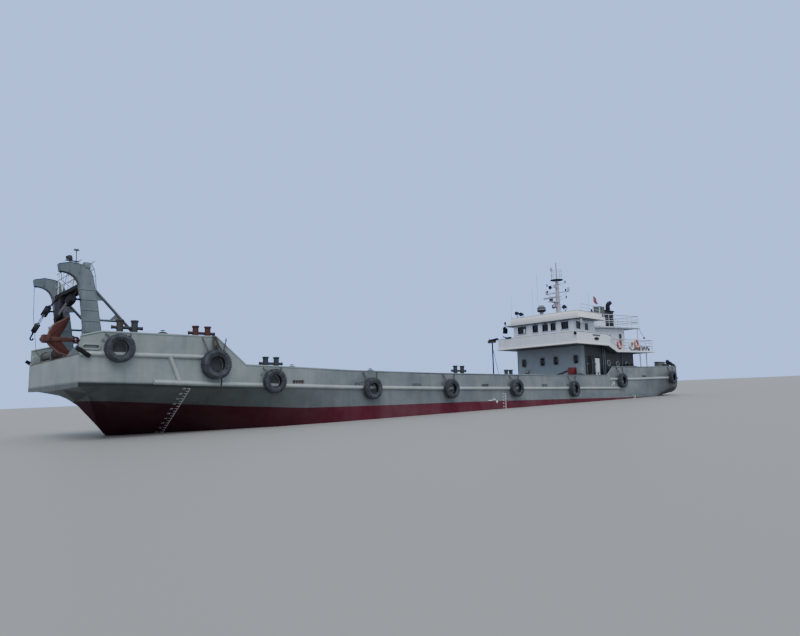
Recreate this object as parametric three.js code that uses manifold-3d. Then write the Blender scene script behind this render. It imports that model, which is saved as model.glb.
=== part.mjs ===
// River deck barge with its own engines, afloat: a 1:2 scale model.
// Sizes below are metres of the real vessel; SCALE turns them into millimetres of the model.
// The ship frame has its origin on the centre line in the plane of the water, +X to the bow, +Y to port.
import * as THREE from "three";
import { mergeVertices } from "three/addons/utils/BufferGeometryUtils.js";
import Module from "manifold-3d";

const wasm = await Module();
wasm.setup();

const SCALE = 500;
const TRIM_DEG = 1.4;
const GAP = 0.3 / SCALE;
const RUNNING = 6 / SCALE;
const BEARING = 0.95 / SCALE;

// Driving dimensions of the hull
const HALF_BEAM = 3.89;
const BOW_X = 25.84;
const STERN_X = -25.4;
const STERN_RADIUS = 2.16;
const STERN_ARC_X = STERN_X + STERN_RADIUS;
const KEEL_Z = -1.46;
const BILGE_RADIUS = 0.65;
const BULWARK = 0.06;
const DECK_PLATE = 0.04;
const FORE_BREAK_X = 19.9;
const AFT_BREAK_X = -12.2;

// Material colours
const paint = (color, roughness = 0.55, metalness = 0.1) =>
  new THREE.MeshStandardMaterial({ color, roughness, metalness });
const HULL_GREY = () => paint(0x6f7c7b);
const ANTIFOULING = () => paint(0x5c2a26, 0.8);
const DECK_RED = () => paint(0x5b4a44, 0.85);
const HOUSE_GREY = () => paint(0x868e8d);
const WHITE = () => paint(0xdfe1dd);
const BLACK = () => paint(0x1a1b1c, 0.7);
const RUST = () => paint(0x8a4a25, 0.9);
const STEEL = () => paint(0x8c8f90, 0.4, 0.8);
const BRONZE = () => paint(0x9c7a45, 0.35, 0.9);
const RUBBER = () => paint(0x161616, 0.95, 0);
const GLASS = () => paint(0x223038, 0.1, 0);
const GREEN = () => paint(0x4c5a4c, 0.7);

// Geometry to solid and back
function solid(geometry) {
  const bare = geometry.clone();
  bare.deleteAttribute("normal");
  bare.deleteAttribute("uv");
  const merged = mergeVertices(bare, 1e-5);
  const mesh = new wasm.Mesh({
    numProp: 3,
    vertProperties: new Float32Array(merged.attributes.position.array),
    triVerts: new Uint32Array(merged.index.array),
  });
  return new wasm.Manifold(mesh);
}

const join = (...parts) => parts.flat().reduce((whole, part) => whole.add(part));
const cut = (body, ...tools) => tools.flat().reduce((rest, tool) => rest.subtract(tool), body);

const ship = new THREE.Group();

function node(name, body, material) {
  const { numProp, vertProperties, triVerts } = body.getMesh();
  const geometry = new THREE.BufferGeometry();
  const position = new Float32Array((vertProperties.length / numProp) * 3);
  for (let i = 0; i < position.length / 3; i += 1) {
    for (let k = 0; k < 3; k += 1) position[3 * i + k] = vertProperties[numProp * i + k] * SCALE;
  }
  geometry.setAttribute("position", new THREE.BufferAttribute(position, 3));
  geometry.setIndex(new THREE.BufferAttribute(new Uint32Array(triVerts), 1));
  geometry.computeVertexNormals();
  const mesh = new THREE.Mesh(geometry, material);
  mesh.name = name;
  ship.add(mesh);
  return mesh;
}

// Basic solids, placed in the ship frame
function box([x0, x1], [y0, y1], [z0, z1]) {
  const geometry = new THREE.BoxGeometry(x1 - x0, y1 - y0, z1 - z0);
  geometry.translate((x0 + x1) / 2, (y0 + y1) / 2, (z0 + z1) / 2);
  return solid(geometry);
}

function bar(from, to, radius, sides = 8, endRadius = radius) {
  const a = new THREE.Vector3(...from);
  const b = new THREE.Vector3(...to);
  const geometry = new THREE.CylinderGeometry(endRadius, radius, a.distanceTo(b), sides);
  const turn = new THREE.Quaternion().setFromUnitVectors(
    new THREE.Vector3(0, 1, 0), b.clone().sub(a).normalize());
  geometry.applyQuaternion(turn);
  geometry.translate(...a.add(b).multiplyScalar(0.5).toArray());
  return solid(geometry);
}

const shapeOf = (outline) => (outline instanceof THREE.Shape ? outline
  : new THREE.Shape(outline.map(([u, v]) => new THREE.Vector2(u, v))));

// A side view outline of (x, z) points, as thick as from y0 to y1
function prism(outline, y0, y1) {
  const geometry = new THREE.ExtrudeGeometry(shapeOf(outline),
    { depth: y1 - y0, bevelEnabled: false, curveSegments: 6 });
  geometry.rotateX(Math.PI / 2);
  geometry.translate(0, y1, 0);
  return solid(geometry);
}

// A plan outline of (x, y) points, from z0 to z1
function slab(outline, z0, z1) {
  const geometry = new THREE.ExtrudeGeometry(shapeOf(outline),
    { depth: z1 - z0, bevelEnabled: false, curveSegments: 6 });
  geometry.translate(0, 0, z0);
  return solid(geometry);
}

// A pipe bent along points
function pipe(points, radius, steps = 10, sides = 8) {
  const path = new THREE.CatmullRomCurve3(points.map((p) => new THREE.Vector3(...p)));
  const round = new THREE.Shape();
  round.absarc(0, 0, radius, 0, 2 * Math.PI);
  const section = new THREE.Shape(round.getPoints(sides).slice(0, -1));
  return solid(new THREE.ExtrudeGeometry(section, { steps, extrudePath: path, bevelEnabled: false }));
}

// A lathed profile of (radius, height) points that closes on itself or on the axis
function turned(profile, centre, axis, segments = 12) {
  const geometry = new THREE.LatheGeometry(profile.map(([r, h]) => new THREE.Vector2(r, h)), segments);
  const turn = new THREE.Quaternion().setFromUnitVectors(
    new THREE.Vector3(0, 1, 0), new THREE.Vector3(...axis).normalize());
  geometry.applyQuaternion(turn);
  geometry.translate(...centre);
  return solid(geometry);
}

// Rings of equal length joined one after another, closed at both ends
function loft(rings) {
  const count = rings[0].length;
  const index = [];
  for (let r = 0; r + 1 < rings.length; r += 1) {
    for (let i = 0; i < count; i += 1) {
      const a = r * count + i;
      const b = r * count + (i + 1) % count;
      index.push(a, b, a + count, b, b + count, a + count);
    }
  }
  const last = (rings.length - 1) * count;
  for (let i = 1; i + 1 < count; i += 1) {
    index.push(0, i + 1, i, last, last + i, last + i + 1);
  }
  const points = rings.flat();
  let volume = 0;
  for (let i = 0; i < index.length; i += 3) {
    const [a, b, c] = [0, 1, 2].map((k) => new THREE.Vector3(...points[index[i + k]]));
    volume += a.dot(b.cross(c));
  }
  if (volume < 0) index.reverse();
  const geometry = new THREE.BufferGeometry();
  geometry.setAttribute("position", new THREE.Float32BufferAttribute(points.flat(), 3));
  geometry.setIndex(index);
  return solid(geometry);
}

const mirrored = (body) => body.mirror([0, 1, 0]);
const both = (body) => join(body, mirrored(body));

// Value at x of a table of [x, value] rows
function along(table, x) {
  const rows = [...table].sort((a, b) => a[0] - b[0]);
  if (x <= rows[0][0]) return rows[0][1];
  for (let i = 1; i < rows.length; i += 1) {
    const [x0, v0] = rows[i - 1];
    const [x1, v1] = rows[i];
    if (x <= x1) return v0 + ((v1 - v0) * (x - x0)) / (x1 - x0);
  }
  return rows[rows.length - 1][1];
}

// Height of the steel under each deck's plating: [x, z]
const QUARTERDECK = [[STERN_X - 0.1, 2.08], [-16.9, 1.93], [AFT_BREAK_X, 1.87]];
const MAIN_DECK = [[AFT_BREAK_X, 1.22], [6.9, 1.22], [13.3, 1.3], [FORE_BREAK_X, 1.45]];
const FOREDECK = [[FORE_BREAK_X, 2.5], [BOW_X, 2.56]];

function deckTop(x) {
  if (x < AFT_BREAK_X) return along(QUARTERDECK, x) + DECK_PLATE;
  if (x < FORE_BREAK_X) return along(MAIN_DECK, x) + DECK_PLATE;
  return along(FOREDECK, x) + DECK_PLATE;
}

const seat = (x) => deckTop(x) + GAP;
const WELD = 0.01;
const welded = (x) => deckTop(x) - WELD;

// Hull sections: [x, keel half breadth, keel z, bilge y, bilge z, bilge radius, side y, knuckle z]
const FORE_SECTIONS = [
  [BOW_X, 0.15, 1.31, 1.95, 1.345, 0.1, HALF_BEAM, 1.38],
  [24.9, 0.1, 0.88, 1.9, 1.15, 0.1, HALF_BEAM, 1.43],
  [24.0, 0.1, -0.11, 1.5, 0.48, 0.1, HALF_BEAM, 1.41],
  [23.6, 0.12, -0.58, 1.2, 0.03, 0.15, HALF_BEAM, 1.39],
  [21.6, 0.3, -0.91, 0.9, -0.66, 0.2, HALF_BEAM, 1.31],
  [19.4, 0.6, -1.35, 2.1, -1.05, 0.4, HALF_BEAM, 1.25],
  [16.7, 1.2, KEEL_Z, 3.4, -1.4, 0.6, HALF_BEAM, 1.2],
  [13.5, 2.0, KEEL_Z, HALF_BEAM, KEEL_Z, BILGE_RADIUS, HALF_BEAM, 1.2],
];
// Counter aft of the parallel body: [x, bottom z, bilge radius]
const AFT_SECTIONS = [
  [-14.0, KEEL_Z, BILGE_RADIUS],
  [-15.8, -1.3, 0.6],
  [-17.5, -0.8, 0.5],
  [-19.0, -0.1, 0.6],
  [-20.3, 0.3, 0.8],
  [-21.8, 0.58, 1.0],
];
// The counter rises from the end of the straight side to a knuckle under the stern strake
const COUNTER_Z = [0.75, 1.85];
const STERN_KNUCKLE_Z = 1.92;
const STERN_STEPS = 6;
const HULL_TOP = 3.2;

function hullRing([x, keelY, keelZ, bilgeY, bilgeZ, radius, sideY, knuckleZ]) {
  const keel = new THREE.Vector2(keelY, keelZ);
  const bilge = new THREE.Vector2(bilgeY, bilgeZ);
  const knuckle = new THREE.Vector2(sideY, knuckleZ);
  const from = keel.clone().sub(bilge).setLength(radius).add(bilge);
  const to = knuckle.clone().sub(bilge).setLength(radius).add(bilge);
  const round = new THREE.QuadraticBezierCurve(from, bilge, to).getPoints(4);
  const half = [keel, ...round, knuckle, new THREE.Vector2(sideY, HULL_TOP)];
  const port = half.map((p) => [x, p.x, p.y]);
  return [...port, ...port.map(([px, py, pz]) => [px, -py, pz]).reverse()];
}

function wholeHull() {
  const aft = AFT_SECTIONS.map(([x, z, radius]) =>
    [x, 2.0, z, HALF_BEAM, z, radius, HALF_BEAM, Math.max(1.2, z + radius + 0.1)]);
  const stern = Array.from({ length: STERN_STEPS + 1 }, (_, i) => {
    const angle = (i / STERN_STEPS) * (Math.PI / 2);
    const y = HALF_BEAM - STERN_RADIUS * (1 - Math.cos(angle));
    const z = COUNTER_Z[1] - (COUNTER_Z[1] - COUNTER_Z[0]) * Math.cos(angle);
    const radius = Math.min(1.0, 0.85 * (STERN_KNUCKLE_Z - z));
    return [STERN_ARC_X - STERN_RADIUS * Math.sin(angle), 0.6, z, y, z, radius, y, STERN_KNUCKLE_Z];
  });
  return loft([...FORE_SECTIONS, ...aft, ...stern].map(hullRing));
}

// The top of the red bottom paint
const PAINT_LINE = [[-26, 0.47], [5, 0.45], [10, 0.4], [16, 0.38], [19, 0.52], [21.6, 0.68], [25, 0.9], [26, 0.9]];
const below = (table, drop, floor) => [...table.map(([x, z]) => [x, z - drop]), [26.2, floor], [-26.2, floor]];

// Engine room: a pocket in the solid hull that holds the two engines
const ENGINE_ROOM = { x: [-13.6, -10.4], y: [-1.8, 1.8], z: [-1.1, 2.2] };
const ENGINE = { length: 2.4, width: 0.9, height: 1.35, y: 0.85, x: -12.0 };

// Propellers, shafts and rudders
const SHAFT = { y: 1.6, z: -0.72, radius: 0.065, tubeRadius: 0.15, tubeFrom: -16.8, tubeTo: -20.4 };
const PROPELLER = { radius: 0.6, hub: 0.15, hubLength: 0.36, blades: 4 };
const RUDDER = { stockX: -22.1, from: -21.75, to: -23.0, top: -0.02, bottom: -1.34, stock: 0.08, up: 1.0 };

const hull = wholeHull();
const engineRoom = box(ENGINE_ROOM.x, ENGINE_ROOM.y, ENGINE_ROOM.z);
const shaftTube = bar([SHAFT.tubeFrom, SHAFT.y, SHAFT.z], [SHAFT.tubeTo, SHAFT.y, SHAFT.z], SHAFT.tubeRadius, 12);
const stockBore = bar([RUDDER.stockX, SHAFT.y, RUDDER.top], [RUDDER.stockX, SHAFT.y, RUDDER.up + RUNNING],
  RUDDER.stock + 3 * GAP, 16);
const tubeSeat = bar([SHAFT.tubeFrom + GAP, SHAFT.y, SHAFT.z], [SHAFT.tubeTo, SHAFT.y, SHAFT.z],
  SHAFT.tubeRadius + 1.1 * GAP, 12);

const bottom = cut(hull.intersect(prism(below(PAINT_LINE, 0, -2), -4, 4)), engineRoom, both(stockBore), both(tubeSeat));
node("hull_bottom", bottom, ANTIFOULING());

const sheer = [
  ...[...QUARTERDECK], ...[...MAIN_DECK], ...[...FOREDECK],
  ...[...PAINT_LINE].reverse().map(([x, z]) => [x, z + GAP]),
];
node("hull_topsides", cut(hull.intersect(prism(sheer, -4, 4)), engineRoom, both(stockBore)), HULL_GREY());

const engineZ = ENGINE_ROOM.z[0] + GAP;
const engineLength = [ENGINE.x - ENGINE.length / 2, ENGINE.x + ENGINE.length / 2];
const engineBed = box(engineLength, [-ENGINE.y - 0.6, ENGINE.y + 0.6], [engineZ, engineZ + 0.12]);
node("main_engines", join(engineBed, both(box(engineLength,
  [ENGINE.y - ENGINE.width / 2, ENGINE.y + ENGINE.width / 2], [engineZ, engineZ + ENGINE.height]))), STEEL());

// Tube and strut, cut by the skin of the hull; the tube keeps its seat inside the skin
function sternTube() {
  const strut = box([-20.3, -20.0], [SHAFT.y - 0.05, SHAFT.y + 0.05], [SHAFT.z, 0.9]);
  const bore = bar([SHAFT.tubeTo - 0.1, SHAFT.y, SHAFT.z], [SHAFT.tubeTo + 0.5, SHAFT.y, SHAFT.z],
    SHAFT.radius + BEARING, 16);
  return cut(join(shaftTube, cut(strut, hull.translate([0, 0, -GAP]))), bore);
}
const tube = sternTube();
node("stern_tube_port", tube, STEEL());
node("stern_tube_starboard", mirrored(tube), STEEL());

function propeller() {
  const x = SHAFT.tubeTo - RUNNING;
  const hub = bar([x, SHAFT.y, SHAFT.z], [x - PROPELLER.hubLength, SHAFT.y, SHAFT.z], PROPELLER.hub, 12, 0.09);
  const stub = bar([x - 0.05, SHAFT.y, SHAFT.z], [SHAFT.tubeTo + 0.45, SHAFT.y, SHAFT.z], SHAFT.radius, 16);
  const blade = new THREE.Shape();
  blade.moveTo(-0.08, 0);
  blade.quadraticCurveTo(-0.32, 0.3, -0.16, 0.52);
  blade.quadraticCurveTo(0, 0.66, 0.16, 0.52);
  blade.quadraticCurveTo(0.32, 0.3, 0.08, 0);
  const blades = [];
  for (let i = 0; i < PROPELLER.blades; i += 1) {
    const geometry = new THREE.ExtrudeGeometry(blade, { depth: 0.035, bevelEnabled: false, curveSegments: 4 });
    geometry.translate(0, 0.05, -0.0175);
    geometry.rotateY(Math.PI / 2 + 0.6);
    geometry.rotateX((i * 2 * Math.PI) / PROPELLER.blades);
    geometry.translate(x - PROPELLER.hubLength / 2, SHAFT.y, SHAFT.z);
    blades.push(solid(geometry));
  }
  return join(hub, stub, blades);
}
const screw = propeller();
node("propeller_port", screw, BRONZE());
node("propeller_starboard", mirrored(screw), BRONZE());

function rudder() {
  const foil = slab([[RUDDER.from, 0], [RUDDER.from - 0.12, 0.07], [RUDDER.from - 0.4, 0.09], [RUDDER.to, 0.015],
    [RUDDER.to, -0.015], [RUDDER.from - 0.4, -0.09], [RUDDER.from - 0.12, -0.07]], RUDDER.bottom, RUDDER.top)
    .translate([0, SHAFT.y, 0]);
  const stock = bar([RUDDER.stockX, SHAFT.y, RUDDER.top - 0.2], [RUDDER.stockX, SHAFT.y, RUDDER.up],
    RUDDER.stock, 16);
  return join(foil, stock);
}
node("rudder_port", rudder(), ANTIFOULING());
node("rudder_starboard", mirrored(rudder()), ANTIFOULING());

// Deck plating
const inner = HALF_BEAM - BULWARK - GAP;
const plate = (table, from, to) => [
  ...table.map(([x, z]) => [Math.min(Math.max(x, from), to), z + GAP]),
  ...[...table].reverse().map(([x, z]) => [Math.min(Math.max(x, from), to), z + DECK_PLATE]),
];
const mainPlating = prism(plate(MAIN_DECK, AFT_BREAK_X + GAP, FORE_BREAK_X - GAP), -inner, inner);
const forePlating = prism(plate(FOREDECK, FORE_BREAK_X, BOW_X), -inner, inner);

function quarterPlating() {
  const inset = BULWARK + GAP;
  const arc = Array.from({ length: STERN_STEPS + 1 }, (_, i) => {
    const angle = (i / STERN_STEPS) * (Math.PI / 2);
    const radius = STERN_RADIUS - inset;
    return [STERN_ARC_X - radius * Math.sin(angle), HALF_BEAM - STERN_RADIUS + radius * Math.cos(angle)];
  });
  const port = [[AFT_BREAK_X, inner], ...arc];
  const outline = [...port, ...port.map(([x, y]) => [x, -y]).reverse()];
  return slab(outline, 1, 3).intersect(prism(plate(QUARTERDECK, STERN_X - 0.1, AFT_BREAK_X), -4, 4));
}

// Everything up to a hair above the plating, to trim the foot of what stands on a deck
const deckEdge = (table) => table.map(([x, z]) => [x, z + DECK_PLATE + GAP]);
const underDecks = prism([[STERN_X - 1, 1], ...deckEdge([[STERN_X - 1, 2.08], ...QUARTERDECK]),
  ...deckEdge(MAIN_DECK), ...deckEdge(FOREDECK), [BOW_X + 0.1, 1]], -4, 4);
const standing = (body) => cut(body, underDecks);

// A strip along the hull's edge: stations of { x, y, nx, ny } with a section of [outward, z] points
function strip(stations, section) {
  return loft(stations.map((s, i) => section(s, i).map(([out, z]) => [s.x + s.nx * out, s.y + s.ny * out, z])));
}
const side = (x) => ({ x, y: HALF_BEAM, nx: 0, ny: 1 });

function sternEdge(from, toY = GAP) {
  const arc = Array.from({ length: STERN_STEPS + 1 }, (_, i) => {
    const angle = (i / STERN_STEPS) * (Math.PI / 2);
    return { x: STERN_ARC_X - STERN_RADIUS * Math.sin(angle), nx: -Math.sin(angle), ny: Math.cos(angle),
      y: HALF_BEAM - STERN_RADIUS * (1 - Math.cos(angle)) };
  });
  return [...from.map(side), ...arc, { x: STERN_X, y: toY, nx: -1, ny: 0 }];
}

// Bulwarks: tops as [x, z]
const FORE_TOP = [[25.8, 3.25], [25.1, 3.44], [20.5, 3.47], [FORE_BREAK_X, 2.98]];
const MAIN_TOP = [[FORE_BREAK_X, 2.96], [19.1, 2.31], [16.25, 2.24], [13.3, 2.15], [6.9, 2.09], [-3.9, 2.08],
  [-10.5, 2.16], [-11.5, 2.16], [AFT_BREAK_X, 2.68]];
const STERN_TOP = [[AFT_BREAK_X, 2.68], [-12.4, 2.83], [-16.9, 2.92], [-21.5, 3.05], [STERN_X, 3.1]];
const wall = (tops, base) => (s) => {
  const z0 = along(base, s.x) + GAP;
  const z1 = along(tops, s.x);
  return [[0, z0], [0, z1], [-BULWARK, z1], [-BULWARK, z0]];
};
// Cutter of a slot that frees the deck of water
const freeingPort = ([x, z], width = 0.6, height = 0.16) => box([x - width / 2, x + width / 2], [HALF_BEAM - 0.2, HALF_BEAM + 0.2],
  [z - height / 2, z + height / 2]);
const FREEING_PORTS = [[16.4, 1.58], [12.75, 1.47], [8.8, 1.42], [3.0, 1.4], [-3.2, 1.4]];
const STERN_PORTS = [[-17.4, 2.14]];
const FAIRLEAD = new THREE.Shape();
FAIRLEAD.absarc(25.23, 2.85, 0.07, Math.PI / 2, 1.5 * Math.PI, false);
FAIRLEAD.absarc(25.66, 2.85, 0.07, -Math.PI / 2, Math.PI / 2, false);

const foreWall = cut(strip(FORE_TOP.map(([x]) => side(x)), wall(FORE_TOP, FOREDECK)), prism(FAIRLEAD, 3.5, 4.2));
const mainWall = cut(strip(MAIN_TOP.map(([x]) => side(x)), wall(MAIN_TOP, MAIN_DECK)),
  FREEING_PORTS.map((row) => freeingPort(row)));
const sternWall = cut(strip(sternEdge(STERN_TOP.slice(0, 4).map(([x]) => x)), wall(STERN_TOP, QUARTERDECK)),
  STERN_PORTS.map((row) => freeingPort(row)));
// The wall clears the steps of the hull under it by a hair
const stepClearance = [
  box([FORE_BREAK_X - GAP, FORE_BREAK_X + 0.01], [3.5, 4], [1, along(FOREDECK, FORE_BREAK_X) + GAP]),
  box([AFT_BREAK_X - 0.01, AFT_BREAK_X + GAP], [3.5, 4], [1, along(QUARTERDECK, AFT_BREAK_X) + GAP]),
];
const bulwark = cut(join(foreWall, mainWall, sternWall), stepClearance);
node("bulwark_port", bulwark, HULL_GREY());
node("bulwark_starboard", mirrored(bulwark), HULL_GREY());

// Rubbing strakes: half-round pipe
const STRAKE = 0.1;
const LOWER_STRAKE = [[23.1, 1.56], [21.2, 1.5], [18.9, 1.45], [13.3, 1.32], [6.9, 1.25], [-3.8, 1.21], [-13.45, 1.2]];
const STERN_STRAKE = [[-11.82, 1.88], [-15.9, 1.92], [-20.3, 2.04], [STERN_X, 2.1]];
const UPPER_STRAKE = [[25.8, 2.6], [22.4, 2.6], [20.9, 2.6]];
const halfRound = (table) => (s) => Array.from({ length: 6 }, (_, i) => {
  const angle = Math.PI / 2 - (i / 5) * Math.PI;
  return [GAP + STRAKE * Math.cos(angle), along(table, s.x) + STRAKE * Math.sin(angle)];
});
function strakes() {
  const lower = strip(LOWER_STRAKE.map(([x]) => side(x)), halfRound(LOWER_STRAKE));
  const upper = strip(UPPER_STRAKE.map(([x]) => side(x)), halfRound(UPPER_STRAKE));
  const stern = strip(sternEdge([-11.82, -15.9, -20.3], 2 * GAP), halfRound(STERN_STRAKE));
  const riser = (x0, z0, x1, z1) => bar([x0, HALF_BEAM, z0], [x1, HALF_BEAM, z1], STRAKE, 10)
    .intersect(box([x1 - 2, x0 + 2], [HALF_BEAM + GAP, 5], [-1, 4]));
  // The aft riser joins the two strakes behind a tyre
  return join(lower, upper, stern, riser(22.5, 2.6, 22.05, 1.52), riser(-13.42, 1.22, -13.85, 1.9));
}

// Tyre fenders hung against the strakes: [x, z, outer radius]
const TYRES = [[24.5, 2.82, 0.54], [20.6, 2.3, 0.62], [17.8, 1.61, 0.54], [12.1, 1.26, 0.54],
  [6.25, 1.22, 0.54], [0.16, 1.24, 0.54], [-6.5, 1.16, 0.54], [-13.4, 1.78, 0.54], [-22.3, 2.1, 0.54]];
const TYRE_WIDTH = 0.3;
function tyre(radius) {
  const half = TYRE_WIDTH / 2;
  return [[radius * 0.56, -half * 0.8], [radius * 0.8, -half], [radius, -half * 0.6], [radius, half * 0.6],
    [radius * 0.8, half], [radius * 0.56, half * 0.8], [radius * 0.56, -half * 0.8]];
}
const tyres = TYRES.map(([x, z, radius]) =>
  turned(tyre(radius), [x, HALF_BEAM + STRAKE + TYRE_WIDTH / 2 - WELD, z], [0, 1, 0], 12));
// Short black fender along each bow corner, below the fairlead
const cornerFender = cut(bar([25.98, HALF_BEAM + 0.12, 2.9], [25.5, HALF_BEAM + 0.12, 2.42], 0.12, 12),
  box([20, 27], [0, HALF_BEAM + GAP], [0, 5]));
const fenderBelt = join(strakes(), tyres, cornerFender);
node("fender_belt_port", fenderBelt, RUBBER());
node("fender_belt_starboard", mirrored(fenderBelt), RUBBER());

// Gantry over the bow
const ARM_Y = 2.0;
const ARM_WIDTH = 0.26;
function gantryArm() {
  const outline = new THREE.Shape();
  outline.moveTo(24.45, seat(24.45));
  outline.lineTo(24.6, 3.68);
  outline.lineTo(24.8, 4.93);
  outline.lineTo(24.96, 5.73);
  outline.quadraticCurveTo(25.05, 6.25, 25.5, 6.31);
  outline.lineTo(25.83, 6.34);
  outline.lineTo(26.24, 6.24);
  outline.lineTo(26.19, 5.95);
  outline.quadraticCurveTo(25.62, 5.98, 25.47, 5.47);
  outline.lineTo(25.37, 4.88);
  outline.lineTo(25.23, 3.68);
  outline.lineTo(25.4, seat(25.4));
  return prism(outline, ARM_Y - ARM_WIDTH / 2, ARM_Y + ARM_WIDTH / 2);
}

function gantryStay() {
  const z0 = welded(22.0);
  const stay = bar([22.1, ARM_Y, 2.4], [25.0, ARM_Y, 5.48], 0.065, 8);
  const strut = bar([23.72, ARM_Y, 4.12], [24.9, ARM_Y, 4.12], 0.05, 8);
  const pad = box([22.05, 22.55], [ARM_Y - 0.15, ARM_Y + 0.15], [z0, z0 + 0.05]);
  return standing(join(stay, strut, pad));
}
const arm = join(gantryArm(), gantryStay());
node("gantry_arm_port", arm, HULL_GREY());
node("gantry_arm_starboard", mirrored(arm), HULL_GREY());

const CATWALK = { x: [24.84, 25.4], z: [5.44, 5.6], rail: 0.95 };
function catwalk() {
  const reach = ARM_Y - ARM_WIDTH / 2 - GAP;
  const deck = box(CATWALK.x, [-reach, reach], CATWALK.z);
  const rails = [];
  for (const x of [CATWALK.x[0] + 0.03, CATWALK.x[1] - 0.03]) {
    for (const rise of [CATWALK.rail / 2, CATWALK.rail]) {
      rails.push(bar([x, -reach, CATWALK.z[1] + rise], [x, reach, CATWALK.z[1] + rise], 0.02, 4));
    }
    for (const y of [-1.5, -0.75, 0, 0.75, 1.5]) {
      rails.push(bar([x, y, CATWALK.z[1] - 0.05], [x, y, CATWALK.z[1] + CATWALK.rail], 0.02, 4));
    }
  }
  return join(deck, rails);
}
node("gantry_catwalk", catwalk(), WHITE());

// Tackles hung from the catwalk; the port one holds the anchor by its crown
const ANCHOR = { y: 0.55, crown: 26.36, z: 3.42, shackle: 25.1, thick: 0.22 };
function tackle([top, upper, lower, end]) {
  const block = ([x, y, z], size) => box([x - 0.09, x + 0.09], [y - 0.12, y + 0.12], [z - size, z + size]);
  return join(bar(top, upper, 0.03, 6), block(upper, 0.2), bar(upper, lower, 0.035, 6), block(lower, 0.18),
    bar(lower, end, 0.03, 6));
}
const hang = CATWALK.z[0] - GAP;
const TACKLE_LOW = [25.92, 0.74, 4.42];
const TACKLE_END = [26.06, ANCHOR.y, 3.86];
const tacklePort = tackle([[25.3, 1.0, hang + 0.1], [25.5, 0.92, 4.92], TACKLE_LOW, TACKLE_END]);
const tackleStarboard = tackle([[25.3, -1.35, hang + 0.1], [25.83, -1.4, 4.77], [26.18, -1.4, 4.01], [26.36, -1.4, 3.6]]);
const trimTop = box([24, 27], [-3, 3], [hang, 6]);
node("tackle_port", cut(tacklePort, trimTop), BLACK());
node("tackle_starboard", cut(tackleStarboard, trimTop), BLACK());

// Two broad flukes point back along the shank from the crown
function anchor() {
  const { y, z, crown, shackle, thick } = ANCHOR;
  const fluke = (up) => prism([[crown + 0.06, z], [crown - 0.12, z + up * 0.3], [crown - 0.42, z + up * 0.64],
    [shackle + 0.28, z + up * 0.93], [shackle + 0.42, z + up * 0.5], [shackle + 0.66, z + up * 0.2],
    [crown - 0.36, z]], y - thick / 2, y + thick / 2);
  const shank = bar([crown - 0.1, y, z], [shackle + 0.1, y, z], 0.09, 8, 0.075);
  const eye = turned([[0.07, -0.04], [0.14, -0.04], [0.14, 0.04], [0.07, 0.04], [0.07, -0.04]],
    [shackle, y, z], [0, 1, 0], 10);
  const pin = bar([crown - 0.1, y - 0.3, z], [crown - 0.1, y + 0.3, z], 0.12, 10);
  return join(shank, eye, fluke(1), fluke(-1), pin);
}
// The fluke leaves room for the end of the tackle
const beyond = new THREE.Vector3(...TACKLE_LOW).lerp(new THREE.Vector3(...TACKLE_END), 1.003).toArray();
const tackleEnd = bar(TACKLE_LOW, beyond, 0.032, 6);
node("anchor", cut(standing(anchor()), tackleEnd), RUST());

// Bow roller for the anchor cable, and the windlass behind it
const ROLLER = { x: 25.62, y: [-1.9, -0.3], z: 2.86, radius: 0.16 };
function rollerStands() {
  const stand = (y0, y1) => {
    const outline = new THREE.Shape();
    outline.moveTo(ROLLER.x - 0.22, 2.5);
    outline.lineTo(BOW_X, 2.5);
    outline.lineTo(BOW_X, 2.8);
    outline.absarc(ROLLER.x, ROLLER.z, 0.22, 0, Math.PI, false);
    return prism(outline, y0, y1);
  };
  const bore = bar([ROLLER.x, -3, ROLLER.z], [ROLLER.x, 1, ROLLER.z], 0.05 + BEARING, 16);
  const sole = box([ROLLER.x - 0.22, BOW_X], [ROLLER.y[0] - 0.12, ROLLER.y[1] + 0.12],
    [2.5, seat(BOW_X) + 0.04]);
  return cut(standing(join(stand(ROLLER.y[0] - 0.12, ROLLER.y[0]), stand(ROLLER.y[1], ROLLER.y[1] + 0.12), sole)), bore);
}
node("roller_stand", rollerStands(), RUST());
node("bow_roller", join(
  bar([ROLLER.x, ROLLER.y[0] + RUNNING, ROLLER.z], [ROLLER.x, ROLLER.y[1] - RUNNING, ROLLER.z], ROLLER.radius, 14),
  bar([ROLLER.x, ROLLER.y[0] - 0.1, ROLLER.z], [ROLLER.x, ROLLER.y[1] + 0.1, ROLLER.z], 0.05, 16)), STEEL());

const WINCH = { x: 21.4, z: 3.22, y: 0.75, radius: 0.28, flange: 0.42 };
function windlassFrame() {
  const z0 = welded(WINCH.x - 0.6);
  const cheek = (y0, y1) => prism([[WINCH.x - 0.6, z0], [WINCH.x + 0.6, z0], [WINCH.x + 0.2, WINCH.z + 0.2],
    [WINCH.x - 0.2, WINCH.z + 0.2]], y0, y1);
  const bed = box([WINCH.x - 0.6, WINCH.x + 0.6], [-WINCH.y - 0.2, WINCH.y + 0.2], [z0, z0 + 0.1]);
  const gearbox = box([WINCH.x - 0.45, WINCH.x + 0.35], [-WINCH.y - 0.75, -WINCH.y - 0.2], [z0, z0 + 0.75]);
  const bore = bar([WINCH.x, -3, WINCH.z], [WINCH.x, 3, WINCH.z], 0.07 + BEARING, 16)
    .intersect(box([20, 23], [-WINCH.y - 0.15, 3], [2, 4]));
  return cut(standing(join(bed, cheek(-WINCH.y - 0.2, -WINCH.y), cheek(WINCH.y, WINCH.y + 0.2), gearbox)), bore);
}
node("windlass_frame", windlassFrame(), GREEN());
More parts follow.
